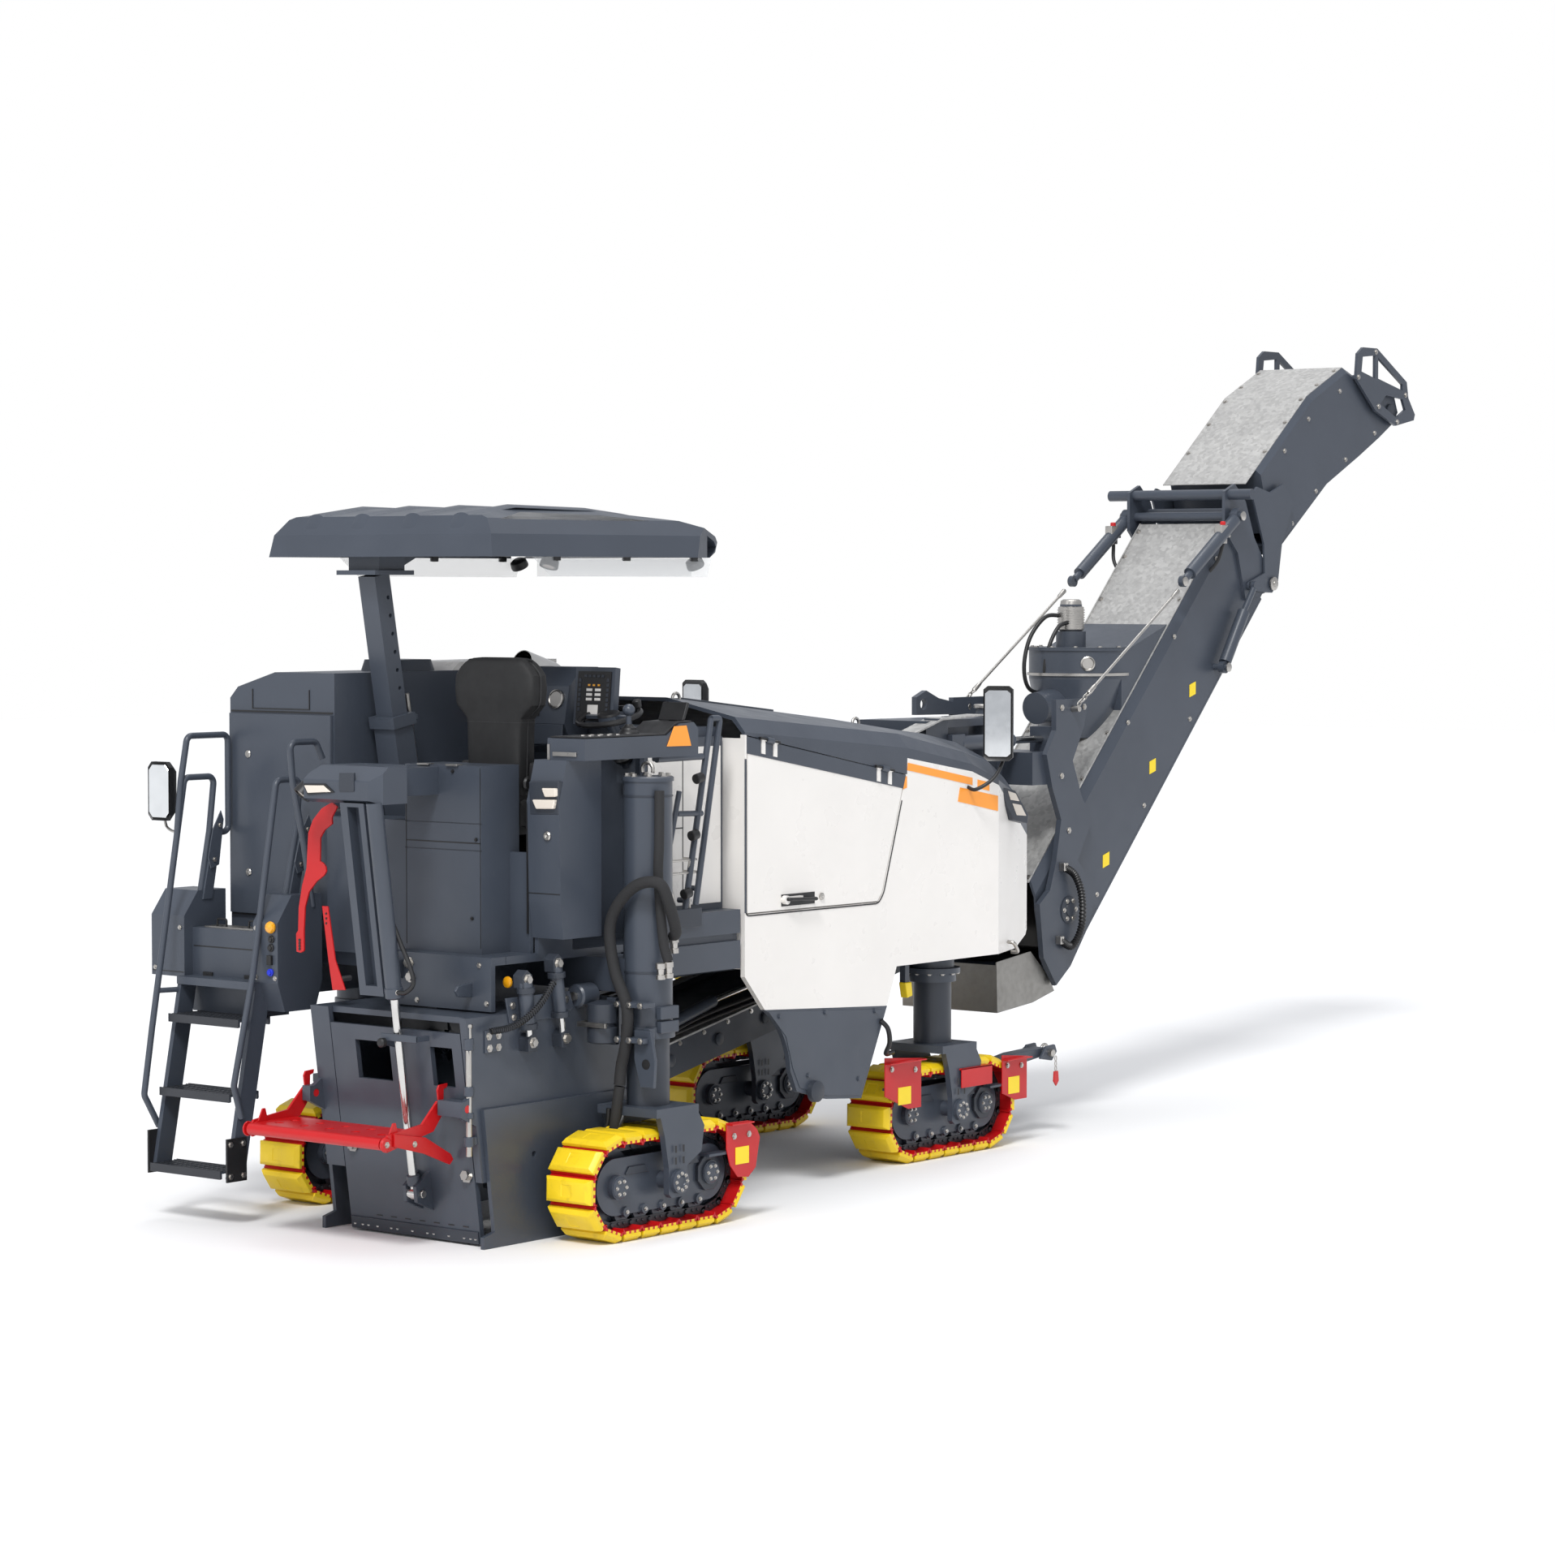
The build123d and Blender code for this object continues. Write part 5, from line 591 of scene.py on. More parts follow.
def track_frames(leg):
    """Turn matrix and place of every shoe, square to a loop of two straights and two half rounds."""
    centre = machine("track_loop_" + leg)
    x, y = (centre[0][0] + centre[1][0]) / 2, (centre[0][1] + centre[1][1]) / 2
    half_round = np.pi * PLATE_RADIUS
    total = 2 * (WHEEL_SPAN + half_round)
    along = (np.arange(SHOE_COUNT) + 0.5) * total / SHOE_COUNT
    second = along >= total / 2
    stretch = np.where(second, along - total / 2, along)
    angle = np.clip((stretch - WHEEL_SPAN) / PLATE_RADIUS, 0.0, np.pi)
    straight = np.clip(stretch, 0.0, WHEEL_SPAN) - WHEEL_SPAN / 2
    px = straight + PLATE_RADIUS * np.sin(angle)
    pz = PLATE_RADIUS * np.cos(angle)
    sign = np.where(second, -1.0, 1.0)
    heading = -angle + np.where(second, np.pi, 0.0)
    cos, sin = np.cos(heading), np.sin(heading)
    zero, one = 0 * cos, 0 * cos + 1
    turns = np.stack([cos, zero, -sin, zero, one, zero, sin, zero, cos], axis=1).reshape(-1, 3, 3)
    spots = np.stack([x + sign * px, zero + y, TRACK_Z + sign * pz], axis=1)
    return turns, spots, total / SHOE_COUNT


def pad_shape(length):
    """A road pad: upright foot, sloped shoulders and a shallow square hollow on its face, with side lugs."""
    half, wide = length / 2, SHOE_HALF_WIDTH
    levels = [
        (half - 0.004, wide - 0.003, 0.0),
        (half, wide, 0.006),
        (half, wide, 0.02),
        (half - 0.014, wide - 0.022, 0.04),
        (half - 0.018, wide - 0.028, 0.042),
        (0.031, 0.034, 0.042),
        (0.029, 0.032, 0.0395),
        (0.001, 0.001, 0.0395),
    ]
    corners = np.array([(-1, -1), (1, -1), (1, 1), (-1, 1)])
    grid = np.array([[(cx * a, cy * b, c) for cx, cy in corners] for a, b, c in levels])
    lugs = [
        block((u - 0.011, side * (wide - 0.012), -0.013), (u + 0.011, side * (wide - 0.001), 0.002))
        for u in (-0.038, 0.0, 0.038)
        for side in (-1, 1)
    ]
    return joined(skin(grid, closed=True, caps=True), *lugs)


def shoe_shape(pitch):
    """The red steel shoe under a pad, with rolled lips fore and aft."""
    half = pitch / 2 - 0.003
    profile = [
        (-half, -0.03),
        (-half + 0.01, -0.014),
        (half - 0.01, -0.014),
        (half, -0.03),
        (half + 0.002, -0.018),
        (half - 0.006, 0.0),
        (-half + 0.006, 0.0),
        (-half - 0.002, -0.018),
    ]
    return slab(profile, -SHOE_HALF_WIDTH + 0.002, SHOE_HALF_WIDTH - 0.002)


def link_shape(pitch):
    """A pair of chain links inside the shoes, with the pin that joins them to the next pair."""
    half = pitch / 2
    outline = [
        (-half - 0.014, -0.03),
        (-half + 0.03, -0.016),
        (half - 0.04, -0.016),
        (half - 0.004, -0.022),
        (half + 0.014, -0.036),
        (half + 0.004, -0.056),
        (half - 0.034, -0.058),
        (-half + 0.024, -0.058),
        (-half - 0.01, -0.052),
    ]
    plates = [slab(outline, side * 0.062 - 0.008, side * 0.062 + 0.008) for side in (-1, 1)]
    pin = rod((half, -0.08, -0.038), (half, 0.08, -0.038), 0.013, 10)
    studs = [
        rod((u, side * 0.071, -0.04), (u, side * 0.077, -0.04), 0.008, 6)
        for u in (-0.02, 0.02)
        for side in (-1, 1)
    ]
    return joined(*plates, pin, *studs)


def tracks():
    """Pads, shoes and chain of the four tracks; they stand for the plain loops."""
    for leg in LEGS:
        turns, spots, pitch = track_frames(leg)
        body = "leg_" + leg
        piece(
            "pads_" + leg, repeated(pad_shape(pitch - 0.018), turns, spots), YELLOW, 0.003, body,
            stand_for=["track_loop_" + leg],
        )
        piece("shoes_" + leg, repeated(shoe_shape(pitch), turns, spots), RED, body=body)
        piece("chain_" + leg, repeated(link_shape(pitch), turns, spots), CHAIN, body=body)


tracks()


# ---------------------------------------------------------------- rear of the machine
LEAN = np.tan(np.radians(8.0))


def lean_x(z, back=0.0):
    """X on the leaning rear face of the drum housing at a height, set back by a distance."""
    return -0.24 - np.asarray(z, float) * LEAN - back


def lean_strip(first, last, near, far):
    """Outline between two heights and two distances off the leaning rear face."""
    corners = ((first, near), (first, far), (last, far), (last, near))
    return [(lean_x(z, back), z) for z, back in corners]


def step_treads():
    """Edges and serrated grips of the ladder's three treads, with the black hangers of the lowest."""
    edges, grips, teeth = [], [], []
    for z, depth in ((0.27, 0.18), (0.66, 0.2), (1.04, 0.22)):
        x = -0.378 - (1.3 - z) * 0.2
        rear, front = x - depth / 2, x + depth / 2
        edges.append(block((rear - 0.006, 0.483, z - 0.02), (rear, 1.009, z + 0.024)))
        edges.append(block((front - 0.002, 0.483, z - 0.014), (front + 0.004, 1.009, z + 0.024)))
        ys = np.linspace(0.492, 1.0, 16)
        grips += [block((rear, y - 0.003, z + 0.008), (front, y + 0.003, z + 0.02)) for y in ys]
        bars = rear + np.linspace(0.02, depth - 0.02, 5)
        teeth += [block((u - 0.003, 0.488, z + 0.012), (u + 0.003, 1.004, z + 0.023)) for u in bars]
    piece("tread_edges", joined(*edges), CHAIN, 0.002)
    piece("tread_grips", joined(*grips, *teeth), CHAIN)
    hangers = [block((-0.665, y - 0.006, 0.235), (-0.525, y + 0.006, 0.46)) for y in (0.452, 1.04)]
    piece("tread_hangers", joined(*hangers), BLACK, 0.002)
    heads = [(x, 0.446, z) for x in (-0.64, -0.55) for z in (0.265, 0.43)]
    piece(
        "tread_hanger_bolts", joined(bolts(heads, (0, -1, 0)), bolts(np.add(heads, (0, 0.6, 0)), (0, 1, 0))),
        STEEL,
    )


def ladder_posts():
    """Plates that carry the hand rails beside the ladder, with a bolted bracket each."""
    posts, heads = [], []
    for y, foot, head in ((1.07, (-0.262, 1.64), (-0.187, 2)), (0.45, (-0.235, 1.68), (-0.15, 2.045))):
        outline = [foot, (foot[0] + 0.07, foot[1]), (head[0] + 0.065, head[1]), (head[0], head[1] - 0.03)]
        posts.append(slab(outline, y - 0.028, y + 0.028))
        bracket = [
            (foot[0] + 0.05, 1.8), (foot[0] + 0.11, 1.82), (head[0] + 0.07, 2.06), (head[0] + 0.05, 2.11),
            (head[0] - 0.01, 2.01), (foot[0] + 0.03, 1.86),
        ]
        posts.append(slab(bracket, y - 0.04, y - 0.032))
        heads += [(foot[0] + 0.075, y - 0.041, 1.85), (head[0] + 0.04, y - 0.041, 2.03)]
    piece("ladder_posts", joined(*posts), SLATE, 0.004)
    piece("ladder_post_bolts", bolts(heads, (0, -1, 0), 0.01), STEEL)


def ladder_boxes():
    """Lamp, buttons, switch and screws on the box beside the ladder, and the step chest's fittings."""
    face = np.array([-0.422, 0.0, 0.0])
    lens = turned(
        [(0, 0.03), (0.01, 0.032), (0.022, 0.026), (0.03, 0.012), (0.032, 0.001)], face + (0, 0.362, 1.54),
        (-1, 0, 0),
    )
    piece("amber_button", lens, AMBER)
    round_one = [(0, 0.02), (0.008, 0.02), (0.01, 0.014), (0.018, 0.013), (0.019, 0.001)]
    spots = [(0.002, 0.362, 1.478), (0.002, 0.366, 1.434)]
    switch = block(face + (0.004, 0.356, 1.345), face + (-0.014, 0.388, 1.395))
    piece("black_buttons", joined(turned_each(round_one, face + spots, (-1, 0, 0)), switch), BLACK, 0.002)
    piece("blue_button", turned(round_one, face + (0.002, 0.37, 1.306), (-1, 0, 0)), BLUE)
    screws = [
        face + (0.003, 0.34, 1.276), face + (0.003, 0.48, 1.53), face + (0.003, 0.48, 1.276),
        (-0.392, 1.08, 1.5), (-0.392, 1.27, 1.28),
    ]
    piece("box_screws", bolts(screws, (-1, 0, 0), 0.009), STEEL)
    tray = [block((-0.3 + 0.02 * k, 0.56, 1.499), (-0.29 + 0.02 * k, 0.99, 1.508)) for k in range(6)]
    piece("chest_grip", joined(*tray), STEEL)
    latches = [block((-0.34, y - 0.035, 1.232), (-0.329, y + 0.035, 1.27)) for y in (0.62, 0.93)]
    clips = []
    for y in (0.66, 0.9):
        loop = [
            (-0.26, y - 0.035, 1.5), (-0.26, y - 0.035, 1.545), (-0.26, y + 0.035, 1.545),
            (-0.26, y + 0.035, 1.5),
        ]
        clips.append(tube(bent(loop, 0.012), 0.006, 8))
    piece("chest_latches", joined(*latches, *clips), BLACK, 0.002)
    seam = joined(
        block((-0.3315, 0.51, 1.4), (-0.3295, 1.04, 1.406)),
        block((-0.3915, 1.056, 1.262), (-0.3895, 1.294, 1.267)),
    )
    piece("chest_seams", seam, BLACK)


def rear_mirror():
    """Left mirror on its bent rod: a deep shell with softened corners and a glass set into its rear face."""
    corners = np.array([
        (-0.082, -0.125), (-0.055, -0.155), (0.055, -0.155), (0.082, -0.125), (0.082, 0.125), (0.055, 0.155),
        (-0.055, 0.155), (-0.082, 0.125),
    ])
    levels = [(-0.415, 0.93), (-0.425, 1), (-0.395, 1), (-0.36, 0.82), (-0.345, 0.5), (-0.342, 0.01)]
    grid = np.array([[(x, 1.2 + s * y, 2.215 + s * z) for y, z in corners] for x, s in levels])
    piece("rear_mirror_shell", skin(grid[:, ::-1], closed=True, caps=True), BLACK)
    glass = np.array([
        [(x, 1.2 + s * y, 2.215 + s * z) for y, z in corners] for x, s in ((-0.424, 0.9), (-0.427, 0.88))
    ])
    piece("rear_mirror_glass", skin(glass, closed=True, caps=True), MIRROR)
    arm = flowing([
        (-0.385, 1.2, 2.2), (-0.385, 1.198, 2.08), (-0.385, 1.185, 2.03), (-0.4, 1.13, 2.008),
        (-0.412, 1.08, 2.005),
    ])
    piece("rear_mirror_arm", tube(arm, 0.008), STEEL)


def release_levers():
    """Two red levers of the scraper lock: a hooked plate with a slotted eye, and a tapering bar below."""
    hook = np.array(
        [
            (-0.11, 2.202), (-0.15, 2.182), (-0.111, 2.124), (-0.114, 2.093), (-0.06, 2.06), (-0.029, 2.02),
            (-0.025, 1.9), (-0.045, 1.893), (-0.066, 1.872), (-0.07, 1.85), (-0.054, 1.828), (0, 1.795),
            (0.055, 1.74), (0.085, 1.66), (0.094, 1.54), (0.094, 1.436), (0.117, 1.424), (0.148, 1.429),
            (0.15, 1.522), (0.135, 1.539), (0.13, 1.655), (0.105, 1.77), (0.072, 1.86), (0.058, 2.04),
            (0.024, 2.109), (-0.04, 2.17),
        ]
    )
    piece("lock_hook", slab(hook, -0.456, -0.444, 0), RED, 0.003)
    bar = [(0.012, 1.667), (-0.03, 1.667), (-0.08, 1.397), (-0.151, 1.246), (-0.06, 1.241), (-0.03, 1.4)]
    piece("lock_bar", slab(bar, -0.406, -0.396, 0), RED, 0.003)
    # Black discs where the holes of the slotted eye and the bar are: painted shade standing in for the holes.
    hole_shades = [
        turned([(0, 0.008), (0.002, 0.008)], (-0.4565, 0.122, z), (-1, 0, 0), 10)
        for z in (1.445, 1.46, 1.475, 1.49)
    ]
    hole_shades += [
        turned([(0, 0.006), (0.002, 0.006)], (-0.4065, -0.02, z), (-1, 0, 0), 10) for z in (1.63, 1.605, 1.58)
    ]
    piece("lever_slot_shade", joined(*hole_shades), BLACK)
    rods = joined(
        rod((-0.45, -0.12, 2.165), (-0.33, -0.12, 2.165), 0.014),
        rod((-0.396, -0.105, 1.3), (-0.32, -0.105, 1.3), 0.014),
    )
    piece("lever_pins", rods, STEEL)


def beak():
    """Lamp, bezel and blank badge of the hood over the scraper cylinder, with its side lamp and clips."""
    lens = [(-0.165, 2.3), (-0.3, 2.303), (-0.352, 2.272), (-0.19, 2.262)]
    piece("rear_lamp_lens", slab(lens, -0.704, -0.688, 0), LAMP, 0.004)
    frame_outer = [(-0.152, 2.308), (-0.306, 2.312), (-0.372, 2.27), (-0.182, 2.252)]
    piece("rear_lamp_bezel", slab(frame_outer, -0.698, -0.68, 0), BLACK, 0.004)
    badge = [(-0.404, 2.369), (-0.507, 2.372), (-0.507, 2.279), (-0.403, 2.276)]
    piece("blank_badge", slab(badge, -0.696, -0.68, 0), SLATE_DARK, 0.004)
    cowl = turned(
        [
            (0, 0.02), (0.02, 0.046), (0.06, 0.05), (0.078, 0.05), (0.078, 0.04), (0.066, 0.036),
            (0.064, 0.001),
        ],
        (-0.6, -0.115, 2.3), (-0.55, 0.25, -0.62),
    )
    piece("side_lamp_cowl", cowl, BLACK)
    glass = turned([(0.06, 0.038), (0.07, 0.034), (0.074, 0.001)], (-0.6, -0.115, 2.3), (-0.55, 0.25, -0.62))
    piece("side_lamp_glass", glass, LAMP)
    under = joined(
        block((-0.46, -0.36, 2.196), (-0.4, -0.3, 2.216)), block((-0.62, -0.5, 2.2), (-0.56, -0.36, 2.216))
    )
    piece("beak_clips", under, BLACK, 0.003)


def scraper_gear():
    """Hose, gland, collar, guide, bolts and dark cutting edge of the scraper and its cylinder."""
    hose = flowing([
        (-0.555, -0.545, 2.205), (-0.56, -0.55, 1.97), (-0.545, -0.585, 1.716), (-0.53, -0.65, 1.547),
        (-0.515, -0.712, 1.409), (-0.515, -0.735, 1.325), (-0.53, -0.7, 1.28), (-0.54, -0.655, 1.276),
    ])
    piece("scraper_hose", tube(hose, 0.0115), BLACK)
    ends = joined(
        rod((-0.54, -0.655, 1.276), (-0.528, -0.625, 1.276), 0.014),
        rod((-0.555, -0.545, 2.2), (-0.555, -0.545, 2.235), 0.014),
    )
    piece("scraper_hose_ends", ends, STEEL)
    neck = np.array([-0.52, -0.61, 1.25])
    way = unit((LEAN, 0, -1))
    piece(
        "cylinder_gland",
        turned([(-0.05, 0.043), (-0.048, 0.047), (0, 0.047), (0.006, 0.04), (0.012, 0.024)], neck, way),
        SLATE,
    )
    clevis = turned(
        [(0, 0.03), (0.004, 0.034), (0.05, 0.034), (0.056, 0.028)], (lean_x(0.345, 0.105), -0.61, 0.345),
        (LEAN, 0, -1),
    )
    piece("rod_collar", clevis, SLATE, body="scraper_set")
    pin = rod((lean_x(0.25, 0.105), -0.674, 0.25), (lean_x(0.25, 0.105), -0.546, 0.25), 0.02)
    piece("rod_eye_pin", pin, STEEL, body="scraper_set")
    bar = joined(
        slab(
            [
                (lean_x(1.03, 0.06), 1.055), (lean_x(1.03, 0.15), 1.06), (lean_x(1.0, 0.15), 1.01),
                (lean_x(0.98, 0.06), 0.985),
            ],
            -0.54, -0.524,
        ),
        block((lean_x(1.03, 0.15), -0.77, 1.03), (lean_x(1.03, 0.138), -0.528, 1.066)),
        slab(
            [
                (lean_x(1.03, 0.05), 1.062), (lean_x(1.03, 0.148), 1.062), (lean_x(1.03, 0.148), 1.034),
                (lean_x(1.03, 0.05), 1.034),
            ],
            -0.77, -0.756,
        ),
    )
    piece("rod_guide", bar, SLATE, 0.003)
    knob = [(0, 0.016), (0.004, 0.024), (0.026, 0.024), (0.032, 0.016), (0.033, 0.001)]
    piece("rod_guide_knob", turned(knob, (lean_x(1.02, 0.15), -0.55, 1.02), (-1, 0, 0)), BLACK)
    ys = [-0.095, -0.15, -0.19, -0.255, -0.352, -0.395, -0.5, -0.605, -0.648, -0.752, -0.858, -0.902, -0.935]
    low = [(lean_x(0.036, 0.031), y, 0.04) for y in ys]
    piece("edge_bolts", bolts(low, (-1, 0, LEAN), 0.011), STEEL, body="scraper_set")
    wear = slab(lean_strip(0.012, 0.075, 0.0315, 0.04), -0.955, -0.068)
    piece("cutting_edge", wear, SLATE_DARK, 0.003, "scraper_set")
    # The slots above the cutting edge are thin black marks: painted shade in place of the openings.
    mark = lean_strip(0.098, 0.092, 0.0315, 0.0322)
    marks = [slab(mark, -0.29 - 0.1 * k, -0.25 - 0.1 * k) for k in range(7)]
    piece("edge_slot_shade", joined(*marks), BLACK, body="scraper_set")
    big = bolts(
        [(lean_x(0.45, 0.031), -0.135, 0.45), (lean_x(0.36, 0.031), -0.915, 0.36)], (-1, 0, LEAN), 0.026,
        0.026,
    )
    piece("lock_bolts", big, STEEL, body="scraper_set")


def housing_lugs():
    """Lugs, bolts and the bolted hinge rod at the rear face of the drum housing and its closing plate."""
    lug = joined(
        slab([(-0.189, 1.31), (-0.29, 1.3), (-0.31, 1.275), (-0.29, 1.245), (-0.189, 1.235)], -0.83, -0.814),
        slab([(-0.189, 1.4), (-0.275, 1.39), (-0.29, 1.355), (-0.189, 1.3)], -0.29, -0.276),
        slab([(-0.189, 1.4), (-0.275, 1.39), (-0.29, 1.355), (-0.189, 1.3)], -0.35, -0.336),
    )
    piece("rear_lugs", lug, SLATE, 0.004)
    piece("rear_lug_pin", rod((-0.26, -0.362, 1.36), (-0.26, -0.264, 1.36), 0.013), STEEL)
    gold = [(-0.191, -0.395, 1.385), (-0.191, -0.408, 1.315)]
    piece("plate_bolts", bolts(gold, (-1, 0, 0), 0.022, 0.022), STEEL)
    small = [
        (-0.191, y, z)
        for y, z in ((-0.3, 1.215), (-0.34, 1.215), (-0.45, 1.2), (-0.93, 1.21), (-0.88, 1.4), (-0.3, 1.41))
    ]
    piece("plate_screws", bolts(small, (-1, 0, 0), 0.01), STEEL)
    post = joined(
        rod((-0.398, -1, 0.47), (-0.398, -1, 1.12), 0.015),
        rod((-0.398, -1, 1.112), (-0.398, -1, 1.13), 0.021, 8),
    )
    piece("hinge_rod", post, STEEL)
    eyes = [
        rod((-0.398, -1, z), (-0.398, -1, z + h), 0.026)
        for z, h in ((1, 0.06), (0.77, 0.05), (0.52, 0.05), (0.66, 0.03))
    ]
    brackets = [
        block((-0.404, -1.008, z), (-0.34, -0.975, z + h))
        for z, h in ((1.005, 0.05), (0.775, 0.04), (0.525, 0.04))
    ]
    piece("hinge_brackets", joined(*eyes, *brackets), SLATE, 0.003)


def step_fittings():
    """Steel pins, forked tips, end discs and the red foot lever of the folding step."""
    pins = joined(
        rod((-0.42, 0.116, 0.71), (-0.42, 0.136, 0.71), 0.019),
        rod((-0.42, -0.856, 0.71), (-0.42, -0.834, 0.71), 0.019),
    )
    piece("step_pins", pins, STEEL, body="step")
    tip = [
        (-0.44, 0.74), (-0.404, 0.738), (-0.402, 0.795), (-0.378, 0.802), (-0.374, 0.822), (-0.436, 0.818),
        (-0.448, 0.795),
    ]
    forks = joined(slab(tip, 0.105, 0.115), slab(tip, -0.834, -0.824))
    piece("step_hooks", forks, RED, 0.002)
    ears = [(-0.845, 0.58), (-0.78, 0.6), (-0.75, 0.658), (-0.73, 0.658), (-0.712, 0.59)]
    piece("step_ears", joined(slab(ears, 0.094, 0.103), slab(ears, -0.821, -0.812)), RED, 0.002, "step")
    disc = [(0, 0.036), (0.006, 0.038), (0.014, 0.03), (0.015, 0.001)]
    discs = [turned(disc, (-0.825, y, 0.562), (0, np.sign(y), 0)) for y in (-0.836, 0.118)]
    piece("step_discs", joined(*discs), RED, body="step")
    lever = [
        (-0.77, 0.61), (-0.55, 0.57), (-0.37, 0.47), (-0.35, 0.44), (-0.375, 0.415), (-0.56, 0.49),
        (-0.77, 0.545),
    ]
    arm = slab(lever, -0.85, -0.837)
    piece("step_lever", arm, RED, 0.003, "step")
    piece(
        "step_lever_bolts", bolts([(-0.825, -0.85, 0.562), (-0.63, -0.85, 0.545)], (0, -1, 0), 0.011), STEEL,
        body="step",
    )


def rear_wall():
    """Hinges, seams, screws and locks on the rear wall and the cabinet."""
    hinges = [block((-0.094, y - 0.04, 2.386), (-0.05, y + 0.04, 2.396)) for y in (-0.4, -0.6)]
    piece("lid_hinges", joined(*hinges), STEEL, 0.002)
    seam = joined(
        block((-0.0816, -0.79, 1.998), (-0.0798, -0.27, 2.004)),
        block((-0.0816, -0.274, 1.47), (-0.0798, -0.27, 2.38)),
        block((-0.0816, -0.79, 1.47), (-0.0798, -0.786, 2.38)),
    )
    piece("wall_seams", seam, BLACK)
    piece(
        "wall_screws",
        bolts(
            [(-0.081, -0.35, 2.36), (-0.081, -0.6, 2.36), (-0.081, -0.76, 2.02), (-0.081, -0.73, 1.62)],
            (-1, 0, 0), 0.007,
        ),
        BLACK,
    )
    lock = [(0, 0.018), (0.004, 0.02), (0.008, 0.016), (0.008, 0.008), (0.005, 0.001)]
    spots = [(-0.024, 0.94, z) for z in (2.405, 1.778)]
    piece("panel_locks", turned_each(lock, spots, (-1, 0, 0)), STEEL)
    recess = joined(
        block((-0.004, 0.5, 2.645), (-0.001, 0.93, 2.65)), block((-0.004, 0.5, 2.65), (-0.001, 0.506, 2.75)),
        block((-0.004, 0.924, 2.65), (-0.001, 0.93, 2.75)),
        block((-0.003, 0.33, 2.628), (-0.001, 1.09, 2.636)),
    )
    piece("cabinet_seams", recess, BLACK)
    rims = joined(
        block((-0.006, 1.088, 1.56), (0, 1.094, 2.62)), block((-0.006, 0.33, 1.548), (0, 1.088, 1.556))
    )
    piece("panel_gap", rims, BLACK)


step_treads()
ladder_posts()
ladder_boxes()
rear_mirror()
release_levers()
beak()
scraper_gear()
housing_lugs()
step_fittings()
rear_wall()


# ---------------------------------------------------------------- operator stand
def stand_rails():
    """Hand rails beside the entrance with rubber stops, the basket and the tray under it."""
    side = -1.0
    posts = [
        [(1.035, 2.392), (1.404, 2.396), (1.478, 2.595), (1.263, 1.594)],
        [(1.478, 2.595), (1.552, 2.594), (1.35, 1.614)],
        [(1.218, 2.219), (1.119, 1.862), (1.14, 1.6)],
    ]
    rails = [
        tube([(x, side, z) for x, z in posts[0][:2]], 0.017),
        tube([(x, side, z) for x, z in posts[0][2:]], 0.017),
    ]
    rails.append(tube(bent([(x, side, z) for x, z in posts[1]], 0.02), 0.017))
    rails.append(tube(bent([(x, side, z) for x, z in posts[2]], 0.04), 0.015))
    rails.append(tube([(1.198, side, 2.102), (1.4, side, 2.096)], 0.015))
    rails += [
        tube([(x, side, z), (x, -0.925, z)], 0.015)
        for x, z in ((1.3, 1.64), (1.37, 1.7), (1.14, 1.62), (1.4, 2.396), (1.1, 2.392))
    ]
    piece("entrance_rails", joined(*rails), SLATE)
    stop = [(0, 0.022), (0.004, 0.027), (0.05, 0.027), (0.054, 0.02)]
    spots = [(x - 0.02, side - 0.028, z) for x, z in ((1.337, 2.279), (1.297, 1.981), (1.237, 1.677))]
    piece("rail_stops", turned_each(stop, spots, (1, 0, 0.2)), BLACK)
    wires = [
        tube(bent([(1.086, side, z), (1.37, side, z), (1.37, -0.9, z)], 0.03), 0.007, 8)
        for z in (1.855, 1.788)
    ]
    wires += [
        tube([(1.11, side, 1.855), (1.19, side, 1.58)], 0.007, 8),
        tube([(1.3, side, 1.85), (1.3, side, 1.6)], 0.007, 8),
    ]
    piece("basket_wires", joined(*wires), STEEL)
    tray = joined(
        block((1.11, -1.02, 1.5), (1.376, -0.98, 1.512)), block((1.11, -1.024, 1.5), (1.376, -1.016, 1.6))
    )
    piece("basket_tray", tray, SLATE_DARK, 0.004)


def recess_panels():
    """White lining of the recess beside the entrance, with its seams."""
    face = -0.863
    outer = [(1.125, 1.6), (1.125, 2.44), (1.72, 2.44), (1.72, 1.6)]
    piece("recess_lining", slab(outer, face - 0.004, face + 0.002), WHITE, 0.003)
    seams = joined(
        block((1.4, face - 0.0055, 1.62), (1.406, face - 0.004, 2.43)),
        block((1.13, face - 0.0055, 2.01), (1.4, face - 0.004, 2.016)),
    )
    piece("recess_seams", seams, BLACK)


def lamp_box():
    """Two slanted rear lamps in one bezel, the lock and the seams of the box to the right of the seat."""
    upper = [(-1.036, 2.282), (-1.132, 2.284), (-1.132, 2.24), (-1.058, 2.236)]
    lower = [(-0.972, 2.222), (-1.128, 2.226), (-1.116, 2.178), (-0.998, 2.174)]
    bezel = [(-0.935, 2.312), (-1.138, 2.318), (-1.138, 2.15), (-0.945, 2.144)]
    piece("box_lamp_bezel", slab(bezel, 0.118, 0.15, 0), SLATE_DARK, 0.006)
    piece("box_lamp_upper", slab(upper, 0.098, 0.13, 0), LAMP, 0.008)
    piece("box_lamp_lower", slab(lower, 0.098, 0.13, 0), LAMP, 0.008)
    lock = turned(
        [(0, 0.022), (0.006, 0.024), (0.012, 0.018), (0.012, 0.009), (0.006, 0.001)], (0.122, -1.06, 2.04),
        (-1, 0, 0),
    )
    piece("box_lock", lock, STEEL)
    seam = joined(
        block((0.118, -0.924, 1.54), (0.13, -0.919, 2.2)),
        block((0.128, -1.136, 1.745), (0.136, -0.924, 1.75)),
    )
    piece("box_seams", seam, BLACK)


